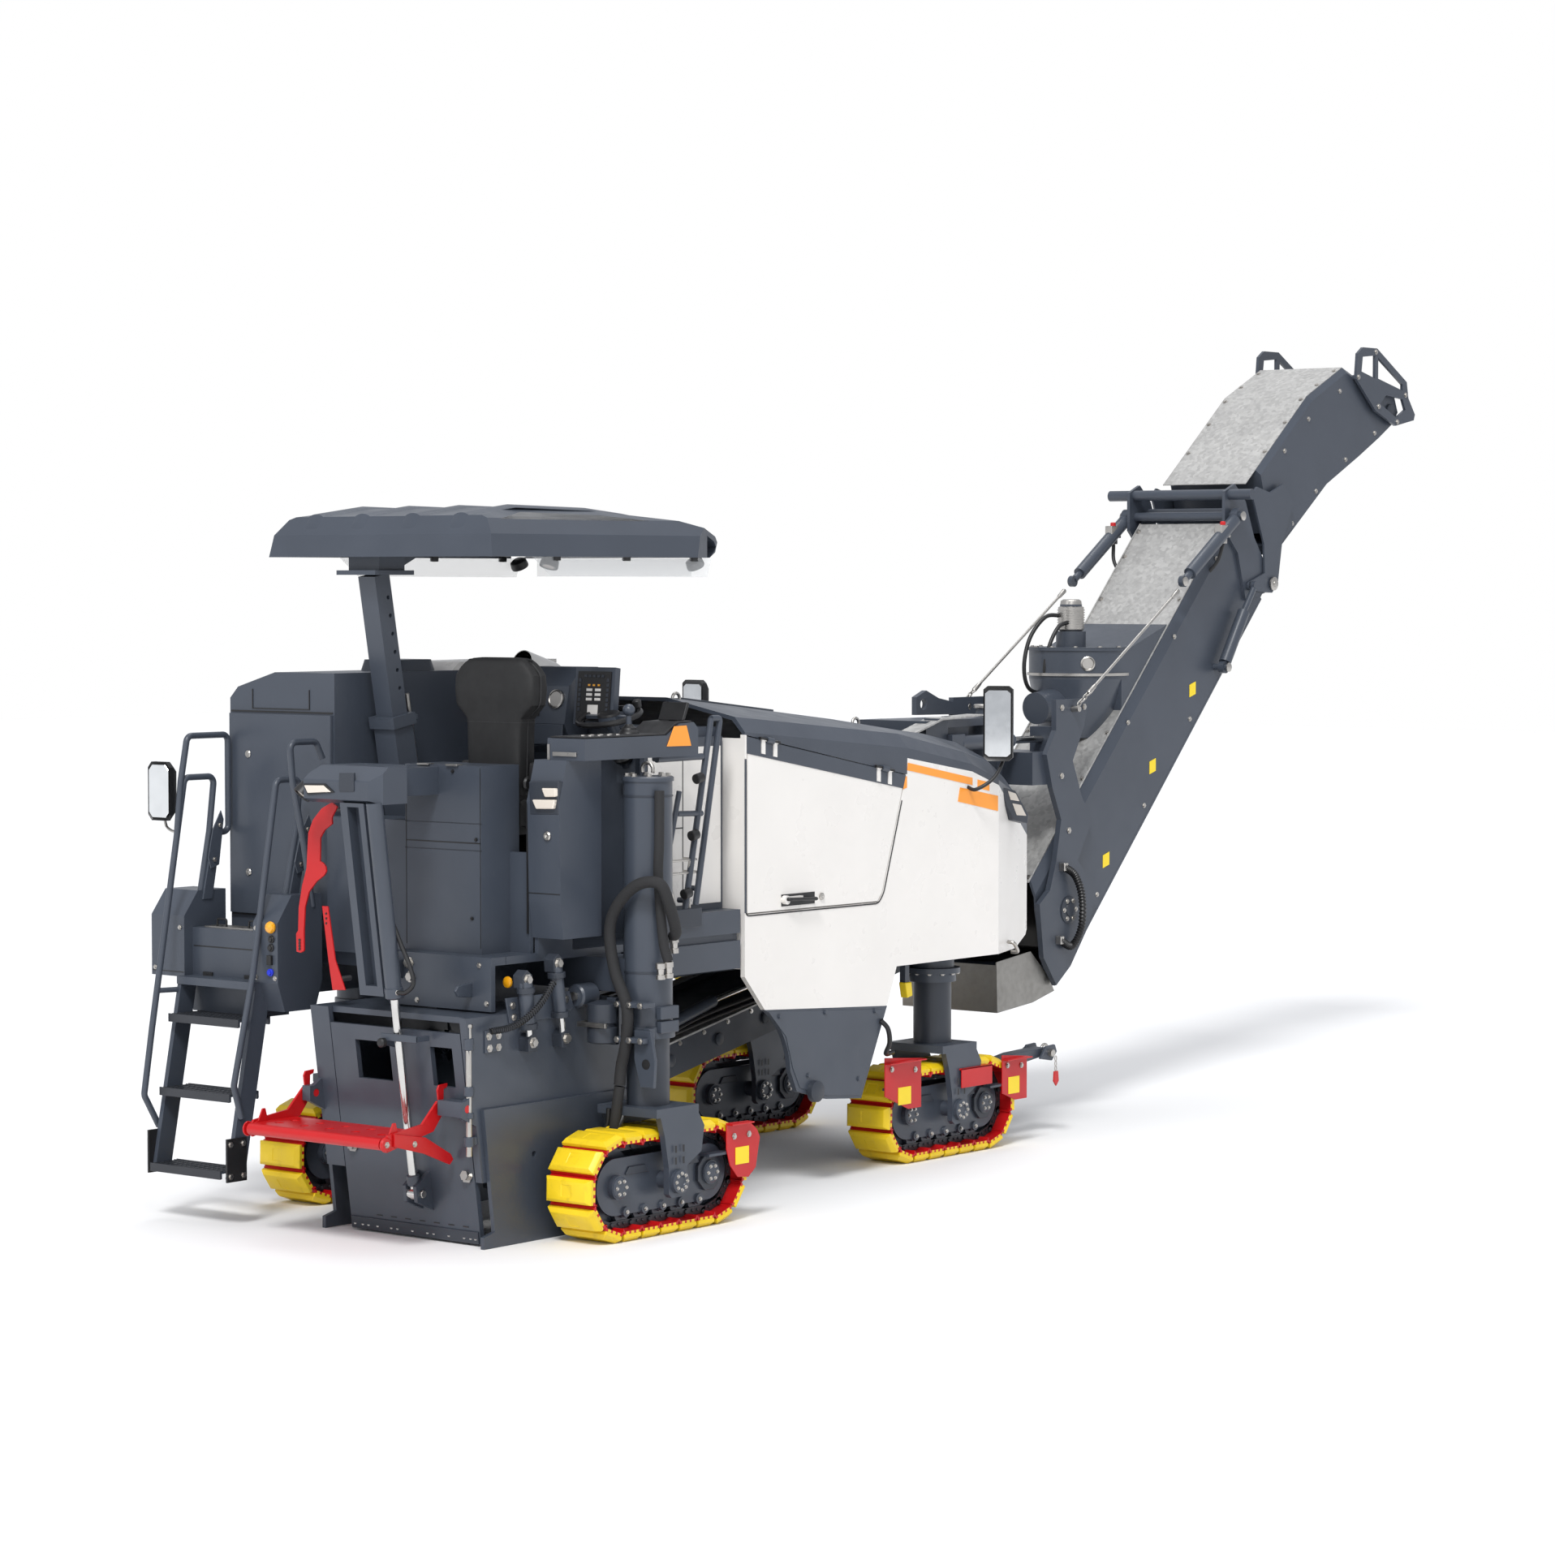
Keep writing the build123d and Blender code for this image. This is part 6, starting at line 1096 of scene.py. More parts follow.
def armrest():
    """Black mat on the armrest console, its steel strips, lever boot, display, buttons and reflector."""
    mat = slab(
        [
            (0.2, 2.531), (0.2, 2.54), (0.82, 2.54), (0.915, 2.596), (1.035, 2.6), (1.03, 2.592),
            (0.93, 2.588), (0.83, 2.53),
        ],
        -1.24, -1.01,
    )
    piece("arm_mat", mat, BLACK, 0.003)
    strip = joined(
        block((0.18, -1.2, 2.44), (0.19, -1.04, 2.462)), block((0.183, -1.018, 2.42), (0.19, -1.002, 2.5))
    )
    piece("arm_strip", strip, STEEL, 0.002)
    boot = turned(
        [
            (0, 0.055), (0.012, 0.05), (0.02, 0.04), (0.032, 0.036), (0.04, 0.026), (0.05, 0.02),
            (0.052, 0.001),
        ],
        (0.7, -1.1, 2.538), (0, 0, 1),
    )
    piece("lever_boot", boot, BLACK)
    screen_case = slab([(0.985, 2.6), (1.005, 2.6), (1.045, 2.69), (1.025, 2.696)], -1.22, -1.05)
    piece("arm_display", screen_case, BLACK, 0.006)
    piece("arm_display_foot", block((1, -1.15, 2.585), (1.03, -1.11, 2.625)), BLACK, 0.004)
    mark = slab([(0.879, 2.575), (0.976, 2.577), (1.014, 2.471), (0.821, 2.473)], -1.256, -1.25)
    piece("arm_reflector", mark, ORANGE, 0.002)
    key = [(0, 0.012), (0.006, 0.011), (0.007, 0.001)]
    spots = [(0.3 + 0.07 * (k % 4), -1.19 + 0.05 * (k // 4), 2.54) for k in range(8)]
    piece("arm_buttons", turned_each(key, spots, (0, 0, 1), 12), STEEL)


def dash_gear():
    """Rows of keys, gauge and stop button on the dash, and the display with its figures, lights and keys."""
    slope = np.array([0.199, 0.0, 1.0]) / 1.02
    face = np.array([1.1, 0.0, 2.56])
    rows = []
    for row in range(2):
        for column in range(9):
            at = face + slope * (0.04 + 0.055 * row) + (-0.001, -0.1 + 0.036 * column, 0)
            rows.append(block(at - (0.006, 0.012, 0), at + (0.004, 0.012, 0.03)))
    piece("dash_keys", joined(*rows), BLACK, 0.002)
    way = (-0.98, 0, 0.2)
    gauge = turned(
        [(0, 0.052), (0.012, 0.052), (0.016, 0.044), (0.012, 0.04), (0.012, 0.001)], (1.124, -0.225, 2.69),
        way,
    )
    piece("dash_gauge", gauge, STEEL)
    base = turned([(0, 0.034), (0.006, 0.034), (0.008, 0.028)], (1.092, 0.24, 2.6), way)
    piece("stop_base", base, YELLOW_SIGN)
    knob = turned(
        [(0, 0.014), (0.014, 0.014), (0.016, 0.024), (0.028, 0.024), (0.034, 0.018), (0.035, 0.001)],
        (1.086, 0.24, 2.6), way,
    )
    piece("stop_button", knob, RED)
    panel = slab([(1.088, 2.45), (1.096, 2.448), (1.104, 2.556), (1.096, 2.558)], -0.29, 0.28)
    piece("dash_panel", panel, SLATE, 0.004)
    seat_way = np.array([(1.1285, 2.58), (1.1235, 2.582), (1.15, 2.842), (1.155, 2.84)])
    piece("display_screen", slab(seat_way, -0.59, -0.357), BLACK)
    lean = unit((0.0265, 0, 0.26))
    foot = np.array([1.1228, -0.4735, 2.58])

    def on_screen(across, up, wide, high, proud=0.0016):
        """A thin lit field on the display's face, at a run across and up it."""
        at = foot + lean * up + (0, across, 0)
        points, faces = block((-proud, -wide, -high), (0.002, wide, high))
        return points + at + np.outer(points[:, 2], lean - (0, 0, 1)), faces

    bars = [on_screen(side * 0.03, up, 0.02, 0.007) for side in (-1, 1) for up in (0.165, 0.14, 0.115)]
    piece("display_figures", joined(*bars, on_screen(0.0, 0.055, 0.036, 0.03)), WHITE)
    lights = [on_screen(0.034 * k, 0.19, 0.008, 0.005) for k in (-1, 0, 1)]
    piece("display_lights", joined(*lights), AMBER)
    keys = [
        on_screen(side * 0.098, 0.06 + 0.026 * k, 0.008, 0.009, 0.004) for side in (-1, 1) for k in range(7)
    ]
    keys += [on_screen(-0.06 + 0.03 * k, 0.238, 0.009, 0.007, 0.004) for k in range(5)]
    piece("display_keys", joined(*keys), SLATE_DARK, 0.0015)
    spots = [(1.127, y, 2.572) for y in (-0.57, -0.54, -0.41, -0.38)]
    knobs = turned_each([(0, 0.01), (0.01, 0.01), (0.012, 0.007)], spots, (-1, 0, 0.1), 12)
    piece("display_knobs", knobs, BLACK)


def steering_gear():
    """Rim grip, spoke cover and spinner knob of the steering wheel, and the boot round its column."""
    way = unit((-0.25, 0, 0.968))
    across, up = np.array([0.0, 1.0, 0.0]), np.cross(way, (0, 1, 0))
    centre = np.array([1.105, SEAT_Y, 2.59]) + way * 0.015
    angle = np.linspace(0, 2 * np.pi, 49)[:-1]
    ring = centre + 0.167 * (np.cos(angle)[:, None] * across + np.sin(angle)[:, None] * up)
    turn = np.arange(10) * 2 * np.pi / 10
    out = unit(ring - centre)
    grid = ring[:, None] + 0.016 * (
        np.cos(turn)[None, :, None] * out[:, None] + np.sin(turn)[None, :, None] * way
    )
    grip = skin(np.concatenate([grid, grid[:1]])[::-1], closed=True)
    piece("wheel_rim", grip, BLACK)
    hub = turned([(0, 0.05), (0.01, 0.062), (0.022, 0.058), (0.03, 0.03), (0.031, 0.001)], centre, way)
    piece("wheel_hub", hub, BLACK)
    knob = turned(
        [(0, 0.01), (0.016, 0.01), (0.018, 0.022), (0.05, 0.024), (0.058, 0.016), (0.06, 0.001)],
        centre - 0.09 * across - 0.135 * up, way,
    )
    piece("wheel_knob", knob, BLACK)
    boot = [
        (0, 0.052), (0.02, 0.06), (0.035, 0.05), (0.05, 0.058), (0.065, 0.048), (0.08, 0.055), (0.095, 0.044),
        (0.11, 0.05), (0.13, 0.038),
    ]
    piece("column_boot", turned(boot, (1.232, SEAT_Y, 2.375), (-0.52, 0, 0.85)), BLACK)


def seat_gear():
    """Bellows, armrest brackets, lap belt and buckle of the operator seat."""
    profile = [(0.03 * k, 0.15 if k % 2 else 0.128) for k in range(9)]
    bellows = turned(profile + [(0.27, 0.128)], (0.48, SEAT_Y, 1.78), (0, 0, 1), 32)
    piece("seat_bellows", bellows, RUBBER)
    arms = []
    for side in (-1, 1):
        y = SEAT_Y + side * 0.235
        arms.append(
            slab([(0.24, 2.3), (0.25, 2.4), (0.6, 2.385), (0.61, 2.34), (0.3, 2.32)], y - 0.035, y + 0.035)
        )
        arms.append(
            slab(
                [(0.24, 2.1), (0.24, 2.33), (0.3, 2.33), (0.3, 2.1)], y - side * 0.01 - 0.012,
                y - side * 0.01 + 0.012,
            )
        )
    piece("seat_arms", joined(*arms), BLACK, 0.012)
    strap = tube(
        flowing([(0.33, -0.8, 2.1), (0.45, -0.78, 2.2), (0.55, -0.7, 2.222), (0.6, -0.6, 2.225)]), 0.012, 8
    )
    piece("seat_belt", strap, BLACK)
    piece("belt_buckle", block((0.585, SEAT_Y, 2.205), (0.63, -0.565, 2.24)), RED, 0.006)


def cushion_ring(centre, wide, deep, count=48, power=6.0):
    """A rounded oblong: offsets of cosine and sine, each raised to 2 / power with its sign kept."""
    angle = np.arange(count) * 2 * np.pi / count
    across = np.sign(np.cos(angle)) * np.abs(np.cos(angle)) ** (2 / power) * deep
    along = np.sign(np.sin(angle)) * np.abs(np.sin(angle)) ** (2 / power) * wide
    return np.stack([centre[0] + across, centre[1] + along, np.full(count, centre[2])], axis=1)


def seat_pads():
    """Back rest and cushion, each a closed form that swells between its seams, with sewn welts."""
    # height, half width, half depth
    back = [
        (2.215, 0.15, 0.058), (2.23, 0.166, 0.068), (2.33, 0.178, 0.074), (2.45, 0.182, 0.076),
        (2.56, 0.185, 0.075), (2.62, 0.191, 0.074), (2.655, 0.228, 0.073), (2.69, 0.266, 0.073),
        (2.765, 0.274, 0.077), (2.84, 0.27, 0.073), (2.88, 0.238, 0.071), (2.906, 0.206, 0.066),
        (2.919, 0.188, 0.056), (2.927, 0.165, 0.04), (2.931, 0.12, 0.018),
    ]
    grid = np.array([cushion_ring((0.262, SEAT_Y, z), wide, deep) for z, wide, deep in back])
    piece("seat_back_pad", skin(grid, closed=True, caps=True), VINYL)
    seat = [
        (2.064, 0.176, 0.25), (2.07, 0.192, 0.268), (2.1, 0.2, 0.278), (2.16, 0.2, 0.278),
        (2.2, 0.194, 0.274), (2.218, 0.176, 0.256), (2.226, 0.13, 0.2), (2.228, 0.06, 0.11),
    ]
    grid = np.array([cushion_ring((0.48, -0.601, z), wide, deep) for z, wide, deep in seat])
    piece("seat_cushion_pad", skin(grid, closed=True, caps=True), VINYL)
    edge = np.array([
        (0.262, SEAT_Y + side * wide, z)
        for side, rows in ((-1, back[1:-2]), (1, back[1:-2][::-1]))
        for z, wide, deep in rows
    ])
    piece("seat_welt", tube(flowing(edge), 0.0045, 8), BLACK)
    lumbar = [
        cushion_ring((0.262, SEAT_Y, z), wide + 0.0015, deep + 0.0015)
        for z, wide, deep in ((2.6, 0.188, 0.0745), (2.604, 0.188, 0.0745))
    ]
    piece("seat_seam", skin(np.array(lumbar), closed=True, caps=True), BLACK)
    hinge = [
        turned(
            [(0, 0.036), (0.01, 0.04), (0.022, 0.034), (0.023, 0.001)], (0.262, SEAT_Y + side * 0.18, 2.29),
            (0, side, 0),
        )
        for side in (-1, 1)
    ]
    piece("seat_hinge_caps", joined(*hinge), BLACK)


def column_head():
    """Cap, bolts, lifting eye and bands of the outer column at the right rear."""
    centre = (TRACK_HALF, REAR_COLUMN_Y)
    cap = turned(
        [(0, 0.126), (0, 0.134), (0.018, 0.134), (0.024, 0.126), (0.024, 0.001)], (*centre, 2.306), (0, 0, 1),
        40,
    )
    piece("column_cap", cap, SLATE)
    spots = ring_of((*centre, 2.33), 0.105, 8, level=True)
    piece("column_cap_bolts", bolts(spots, (0, 0, 1), 0.013, 0.016), STEEL)
    angle = np.linspace(-0.4, np.pi + 0.4, 14)
    eye = [(centre[0], centre[1] + 0.036 * np.cos(a), 2.362 + 0.036 * np.sin(a)) for a in angle]
    piece("column_eye", tube(eye, 0.01), STEEL)
    band = [(0, 0.1262), (0.001, 0.129), (0.01, 0.129), (0.011, 0.1262)]
    spots = [(*centre, z) for z in (2.226, 1.33, 1.02)]
    piece("column_bands", turned_each(band, spots, (0, 0, 1), 40), SLATE_DARK)


stand_rails()
recess_panels()
lamp_box()
armrest()
dash_gear()
steering_gear()
seat_gear()
seat_pads()
column_head()


# ---------------------------------------------------------------- right rear leg and its fittings
def leg_hoses():
    """Sleeved hoses that arch from the column's clamps down to the track drive, with silver fittings."""
    arch = [
        (0.64, -1.45, 1.52), (0.6, -1.497, 1.56), (0.52, -1.52, 1.7), (0.47, -1.5, 1.8), (0.44, -1.38, 1.79),
        (0.44, -1.247, 1.68), (0.45, -1.186, 1.547), (0.46, -1.21, 1.346), (0.45, -1.3, 1.168),
        (0.455, -1.29, 0.993), (0.462, -1.252, 0.86), (0.455, -1.246, 0.765),
    ]
    piece("leg_sleeve", tube(flowing(arch), 0.03, 14), SLEEVE)
    second = [
        (0.56, -1.425, 2.262), (0.54, -1.44, 2), (0.545, -1.43, 1.828), (0.56, -1.448, 1.512),
        (0.575, -1.47, 1.4),
    ]
    piece("upright_sleeve", tube(flowing(second), 0.026, 14), SLEEVE)
    fitting = [
        (0, 0.02), (0.004, 0.026), (0.03, 0.026), (0.032, 0.02), (0.06, 0.018), (0.062, 0.024),
        (0.085, 0.024), (0.086, 0.001),
    ]
    spots = [(0.575, -1.47, 1.4), (0.64, -1.45, 1.52), (0.53, -1.455, 1.395)]
    piece("hose_fittings", turned_each(fitting, spots, (0.03, -0.01, -1), 12), STEEL)
    lower = [(0.455, -1.246, 0.758), (0.448, -1.236, 0.669), (0.45, -1.209, 0.501), (0.52, -1.13, 0.391)]
    piece("drive_sleeve", tube(flowing(lower), 0.028, 14), SLEEVE, body="leg_rear_right")
    feed = []
    for shift in range(3):
        route = [
            (0.5 - 0.02 * shift, -1.25 + 0.04 * shift, 0.64), (0.455, -1.245 + 0.04 * shift, 0.56),
            (0.44, -1.19 + 0.03 * shift, 0.47), (0.52, -1.13 + 0.01 * shift, 0.395), (0.6, -1.125, 0.34),
        ]
        feed.append(tube(flowing(route), 0.014))
    piece("drive_hoses", joined(*feed), BLACK, body="leg_rear_right")


def leg_brackets():
    """Clamps, canisters, housing cylinders, flank and bracket plates and wrapped hose by the column."""
    bars = joined(*[block((0.43, -1.43, z - 0.014), (0.52, -1.23, z + 0.014)) for z in (1.18, 1)])
    piece("clamp_bars", bars, SLATE, 0.005)
    spots = [(0.429, y, z) for y in (-1.25, -1.33, -1.405) for z in (1.18, 1)]
    piece("clamp_bolts", bolts(spots, (-1, 0, 0), 0.012), STEEL)
    stack = [
        (0, 0.07), (0.006, 0.078), (0.08, 0.078), (0.086, 0.066), (0.1, 0.066), (0.106, 0.078), (0.2, 0.078),
        (0.206, 0.06), (0.216, 0.03), (0.217, 0.001),
    ]
    piece("canister_stack", turned(stack, (0.44, -1.145, 0.975), (0, 0, 1), 28), SLATE_DARK)
    piece(
        "canister_strap",
        joined(
            block((0.35, -1.24, 1.06), (0.368, -1.05, 1.085)),
            block((0.36, -1.06, 1.06), (0.52, -1.05, 1.085)),
        ),
        STEEL, 0.003,
    )
    drum = turned(
        [(0, 0.052), (0.01, 0.062), (0.12, 0.062), (0.13, 0.052), (0.131, 0.001)], (0.37, -1.02, 1.21),
        (1, 0, 0), 28,
    )
    piece("round_canister", drum, SLATE)
    piece(
        "round_canister_cap",
        turned([(0, 0.022), (0.016, 0.022), (0.018, 0.001)], (0.369, -1.02, 1.21), (-1, 0, 0), 12), STEEL,
    )
    glow = turned(
        [(0, 0.026), (0.006, 0.03), (0.014, 0.028), (0.02, 0.016), (0.021, 0.001)], (-0.05, -0.95, 1.31),
        (-1, 0, 0),
    )
    piece("amber_lamp", glow, AMBER)
    tubes = joined(
        rod((-0.05, -1.06, 1.32), (-0.022, -1.06, 1.08), 0.038),
        rod((0.18, -1.06, 1.38), (0.219, -1.06, 1.12), 0.034),
    )
    piece("housing_cylinders", tubes, SLATE)
    clevises = []
    eyes = ((-0.052, 1.33), (0.178, 1.395), (-0.012, 1.01), (0.238, 1.01))
    clevis = np.array([(-0.03, -0.045), (0.03, -0.045), (0.036, 0.02), (0, 0.048), (-0.036, 0.02)])
    for eye in eyes:
        clevises.append(slab(clevis + eye, -1.08, -1.012))
    spots = [(-0.025, -1.06, 1.108), (0.215, -1.06, 1.148), (-0.046, -1.06, 1.29), (0.184, -1.06, 1.35)]
    collars = turned_each([(0, 0.03), (0, 0.046), (0.03, 0.046), (0.03, 0.03)], spots, (0.1, 0, -1))
    piece("cylinder_eyes", joined(*clevises, collars), SLATE_DARK, 0.003)
    pins = [(x, -1.08, z) for x, z in eyes]
    piece("cylinder_pins", bolts(pins, (0, -1, 0), 0.02, 0.018), STEEL)
    plates = joined(
        slab([(-0.3, 1.09), (-0.18, 1.09), (-0.16, 1.01), (-0.2, 0.98), (-0.3, 0.975)], -1.022, -1.011),
        slab([(-0.15, 1.24), (0.33, 1.24), (0.36, 1.16), (0.3, 1.11), (-0.12, 1.11)], -1.022, -1.011),
    )
    piece("flank_plates", plates, SLATE, 0.004)
    spots = [
        (x, -1.022, z)
        for x, z in (
            (-0.27, 1), (-0.205, 1), (-0.275, 1.06), (-0.205, 1.06), (-0.1, 1.2), (0.3, 1.2), (-0.09, 1.14),
            (0.27, 1.14),
        )
    ]
    piece("flank_bolts", bolts(spots, (0, -1, 0), 0.014), STEEL)
    piece(
        "cylinder_rods",
        joined(
            rod((-0.022, -1.06, 1.08), (-0.013, -1.06, 1.005), 0.018),
            rod((0.219, -1.06, 1.12), (0.237, -1.06, 1.005), 0.017),
        ),
        CHROME,
    )
    flange = joined(
        block((0.56, -1.436, 1.1), (0.7, -1.4, 1.165)), block((0.56, -1.436, 1.03), (0.7, -1.405, 1.09))
    )
    piece("column_flange", flange, SLATE, 0.005)
    plate = slab(
        [(-1.33, 1.05), (-1.44, 1.05), (-1.47, 0.9), (-1.46, 0.76), (-1.37, 0.76), (-1.33, 0.9)], 0.47, 0.49,
        0,
    )
    piece("bracket_plate", plate, SLATE, 0.004)
    # A black disc on the plate where its hole is: painted shade standing in for the hole.
    piece(
        "bracket_hole_shade", turned([(0, 0.026), (0.002, 0.026), (0.003, 0.001)], (0.47, -1.41, 0.88), (-1, 0, 0)),
        BLACK,
    )
    ears = joined(
        block((0.486, -1.42, 0.9), (0.53, -1.38, 1.06)), block((0.5, -1.18, 0.96), (0.53, -1.12, 1.2))
    )
    piece("bracket_feet", ears, SLATE, 0.004)
    route = np.array([(-0.3, -1.06, 1.09), (-0.17, -1.1, 1.11), (-0.03, -1.125, 1.19), (0.1, -1.12, 1.31)])
    line = flowing(route, 80)
    across = unit(np.cross(np.gradient(line, axis=0), (0, 1, 0)))
    phase = np.linspace(0, 2 * np.pi * 34, len(line))[:, None]
    coil = line + 0.016 * (np.cos(phase) * across + np.sin(phase) * np.array([0.0, 1.0, 0.0]))
    piece("spiral_wrap", tube(line, 0.013), BLACK)
    piece("spiral_guard", wound(coil, 0.0035), CHAIN)


def wound(path, radius, sides=5):
    """A thin wire on a curve that turns in space: path + radius times (cos a across + sin a up)."""
    run = unit(np.gradient(path, axis=0))
    across = unit(np.cross(run, (0.27, 0.61, 0.74)))
    up = np.cross(run, across)
    angle = np.arange(sides) * 2 * np.pi / sides
    ring = np.cos(angle)[None, :, None] * across[:, None, :] + np.sin(angle)[None, :, None] * up[:, None, :]
    return skin((path[:, None, :] + radius * ring)[:, ::-1], closed=True, caps=True)


def wheel_gear(leg):
    """Hub plate, its eight bolts, drive cover, roller caps and cheek slots on both sides of a track; the
    slots are thin black blocks of painted shade.
    """
    low, high = machine("leg_frame_" + leg)
    x, y = TRACK_HALF if leg.startswith("rear") else FRONT_AXLE, (low[1] + high[1]) / 2
    caps, heads, covers, discs, slots = [], [], [], [], []
    hub = [(0, 0.061), (0.01, 0.061), (0.014, 0.054), (0.014, 0.03), (0.008, 0.026), (0.008, 0.001)]
    wheel_cap = [(0, 0.058), (0.034, 0.056), (0.04, 0.048), (0.04, 0.001)]
    roller_cap = [(0, 0.028), (0.016, 0.026), (0.018, 0.001)]
    for side in (-1, 1):
        face = y + side * 0.211
        discs.append(turned(hub, (x, face, TRACK_Z), (0, side, 0), 32))
        heads.append(bolts(ring_of((x, face + side * 0.013, TRACK_Z), 0.042, 8), (0, side, 0), 0.007))
        inner = y + side * 0.091
        for u in (-WHEEL_SPAN / 2, WHEEL_SPAN / 2):
            caps.append(turned(wheel_cap, (x + u, inner, TRACK_Z), (0, side, 0), 24))
            heads.append(bolts(ring_of((x + u, inner + side * 0.04, TRACK_Z), 0.036, 6), (0, side, 0), 0.007))
        facets = [
            (x + WHEEL_SPAN / 2 + 0.1 * np.cos(a), TRACK_Z + 0.1 * np.sin(a))
            for a in np.arange(8) * np.pi / 4 + 0.39
        ]
        covers.append(slab(facets, *sorted((inner - side * 0.004, inner + side * 0.02))))
        for u in (-0.286, -0.143, 0, 0.143, 0.286):
            caps.append(turned(roller_cap, (x + u, inner - side * 0.004, 0.143), (0, side, 0), 12))
            heads.append(bolts([(x + u, inner + side * 0.014, 0.143)], (0, side, 0), 0.008))
        for u in (-0.2, 0.2):
            for z in (0.365, 0.425):
                low, high = (x + 0.15 * u - 0.006, face, z), (
                    x + 0.15 * u + 0.006, face + side * 0.0015, z + 0.036
                )
                slots.append(block(low, high))
            web = [(x + u - 0.09, 0.33), (x + u - 0.06, 0.37), (x + u + 0.06, 0.37), (x + u + 0.09, 0.33)]
            covers.append(slab(web, *sorted((inner, inner + side * 0.01))))
    body = "leg_" + leg
    piece("hub_discs_" + leg, joined(*discs), SLATE, body=body)
    piece("wheel_bolts_" + leg, joined(*heads), STEEL, body=body)
    # The cheek slots are thin black blocks: painted shade in place of the slot openings.
    piece("yoke_slot_shade_" + leg, joined(*slots), BLACK, body=body)
    piece("wheel_caps_" + leg, joined(*caps), SLATE, body=body)
    piece("wheel_covers_" + leg, joined(*covers), SLATE_DARK, 0.004, body)


def guard(name, body, outline, y, side, marks=(), plate=None):
    """A bent red guard: an outline sheet with a lip along its top, bolts and a blank placard."""
    sheet = slab(outline, *sorted((y, y + side * 0.008)))
    top = sorted(outline, key=lambda point: -point[1])[:2]
    lip = block(
        (min(top[0][0], top[1][0]), y, top[1][1] - 0.008),
        (max(top[0][0], top[1][0]), y + side * 0.05, top[1][1]),
    )
    piece(name, joined(sheet, lip), RED, 0.003, body)
    if marks:
        piece(
            name + "_bolts", bolts([(x, y + side * 0.009, z) for x, z in marks], (0, side, 0), 0.012), STEEL,
            body=body,
        )
    if plate:
        (x0, z0), (x1, z1) = plate
        piece(
            name + "_placard", block((x0, y + side * 0.008, z0), (x1, y + side * 0.011, z1)), YELLOW_SIGN,
            0.002, body,
        )


def track_guards():
    """Red guards in front of and behind the wheels of the steered tracks."""
    for leg, side, y in (("rear_right", -1, REAR_COLUMN_Y), ("rear_left", 1, 0.768)):
        face = y + side * 0.158
        outline = [
            (1.06, 0.525), (1.24, 0.52), (1.31, 0.47), (1.335, 0.425), (1.3, 0.27), (1.24, 0.225),
            (1.15, 0.235), (1.09, 0.3), (1.06, 0.39),
        ]
        guard(
            "guard_" + leg, "leg_" + leg, outline, face, side, ((1.12, 0.45), (1.24, 0.45)),
            ((1.13, 0.3), (1.24, 0.39)),
        )
        tie = block((0.93, face, 0.36), (1.09, face - side * 0.075, 0.375))
        piece("guard_tie_" + leg, tie, SLATE, 0.003, "leg_" + leg)
    for leg, side in (("front_right", -1), ("front_left", 1)):
        face = side * (FRONT_TRACK_Y + 0.158)
        rear = [(3.08, 0.64), (3.42, 0.61), (3.42, 0.33), (3.3, 0.33), (3.08, 0.42)]
        guard(
            "guard_rear_" + leg, "leg_" + leg, rear, face + side * 0.045, side, ((3.14, 0.57), (3.36, 0.55)),
            ((3.2, 0.36), (3.32, 0.46)),
        )
        ahead = [(4.27, 0.545), (4.52, 0.52), (4.52, 0.27), (4.4, 0.27), (4.27, 0.32)]
        guard(
            "guard_front_" + leg, "leg_" + leg, ahead, face, side, ((4.32, 0.48), (4.46, 0.47)),
            ((4.33, 0.31), (4.44, 0.41)),
        )
        shelf = joined(
            block((3.8, face, 0.502), (4.1, face + side * 0.06, 0.512)),
            block((3.8, face + side * 0.052, 0.4), (4.1, face + side * 0.06, 0.512)),
        )
        piece("guard_shelf_" + leg, shelf, RED, 0.003, "leg_" + leg)
        ties = joined(
            block((3.16, face - side * 0.03, 0.44), (3.3, face + side * 0.047, 0.455)),
            block((4.16, face - side * 0.06, 0.36), (4.3, face + side * 0.002, 0.375)),
            block((3.84, face - side * 0.002, 0.46), (3.88, face + side * 0.004, 0.51)),
        )
        piece("guard_ties_" + leg, ties, SLATE, 0.003, "leg_" + leg)


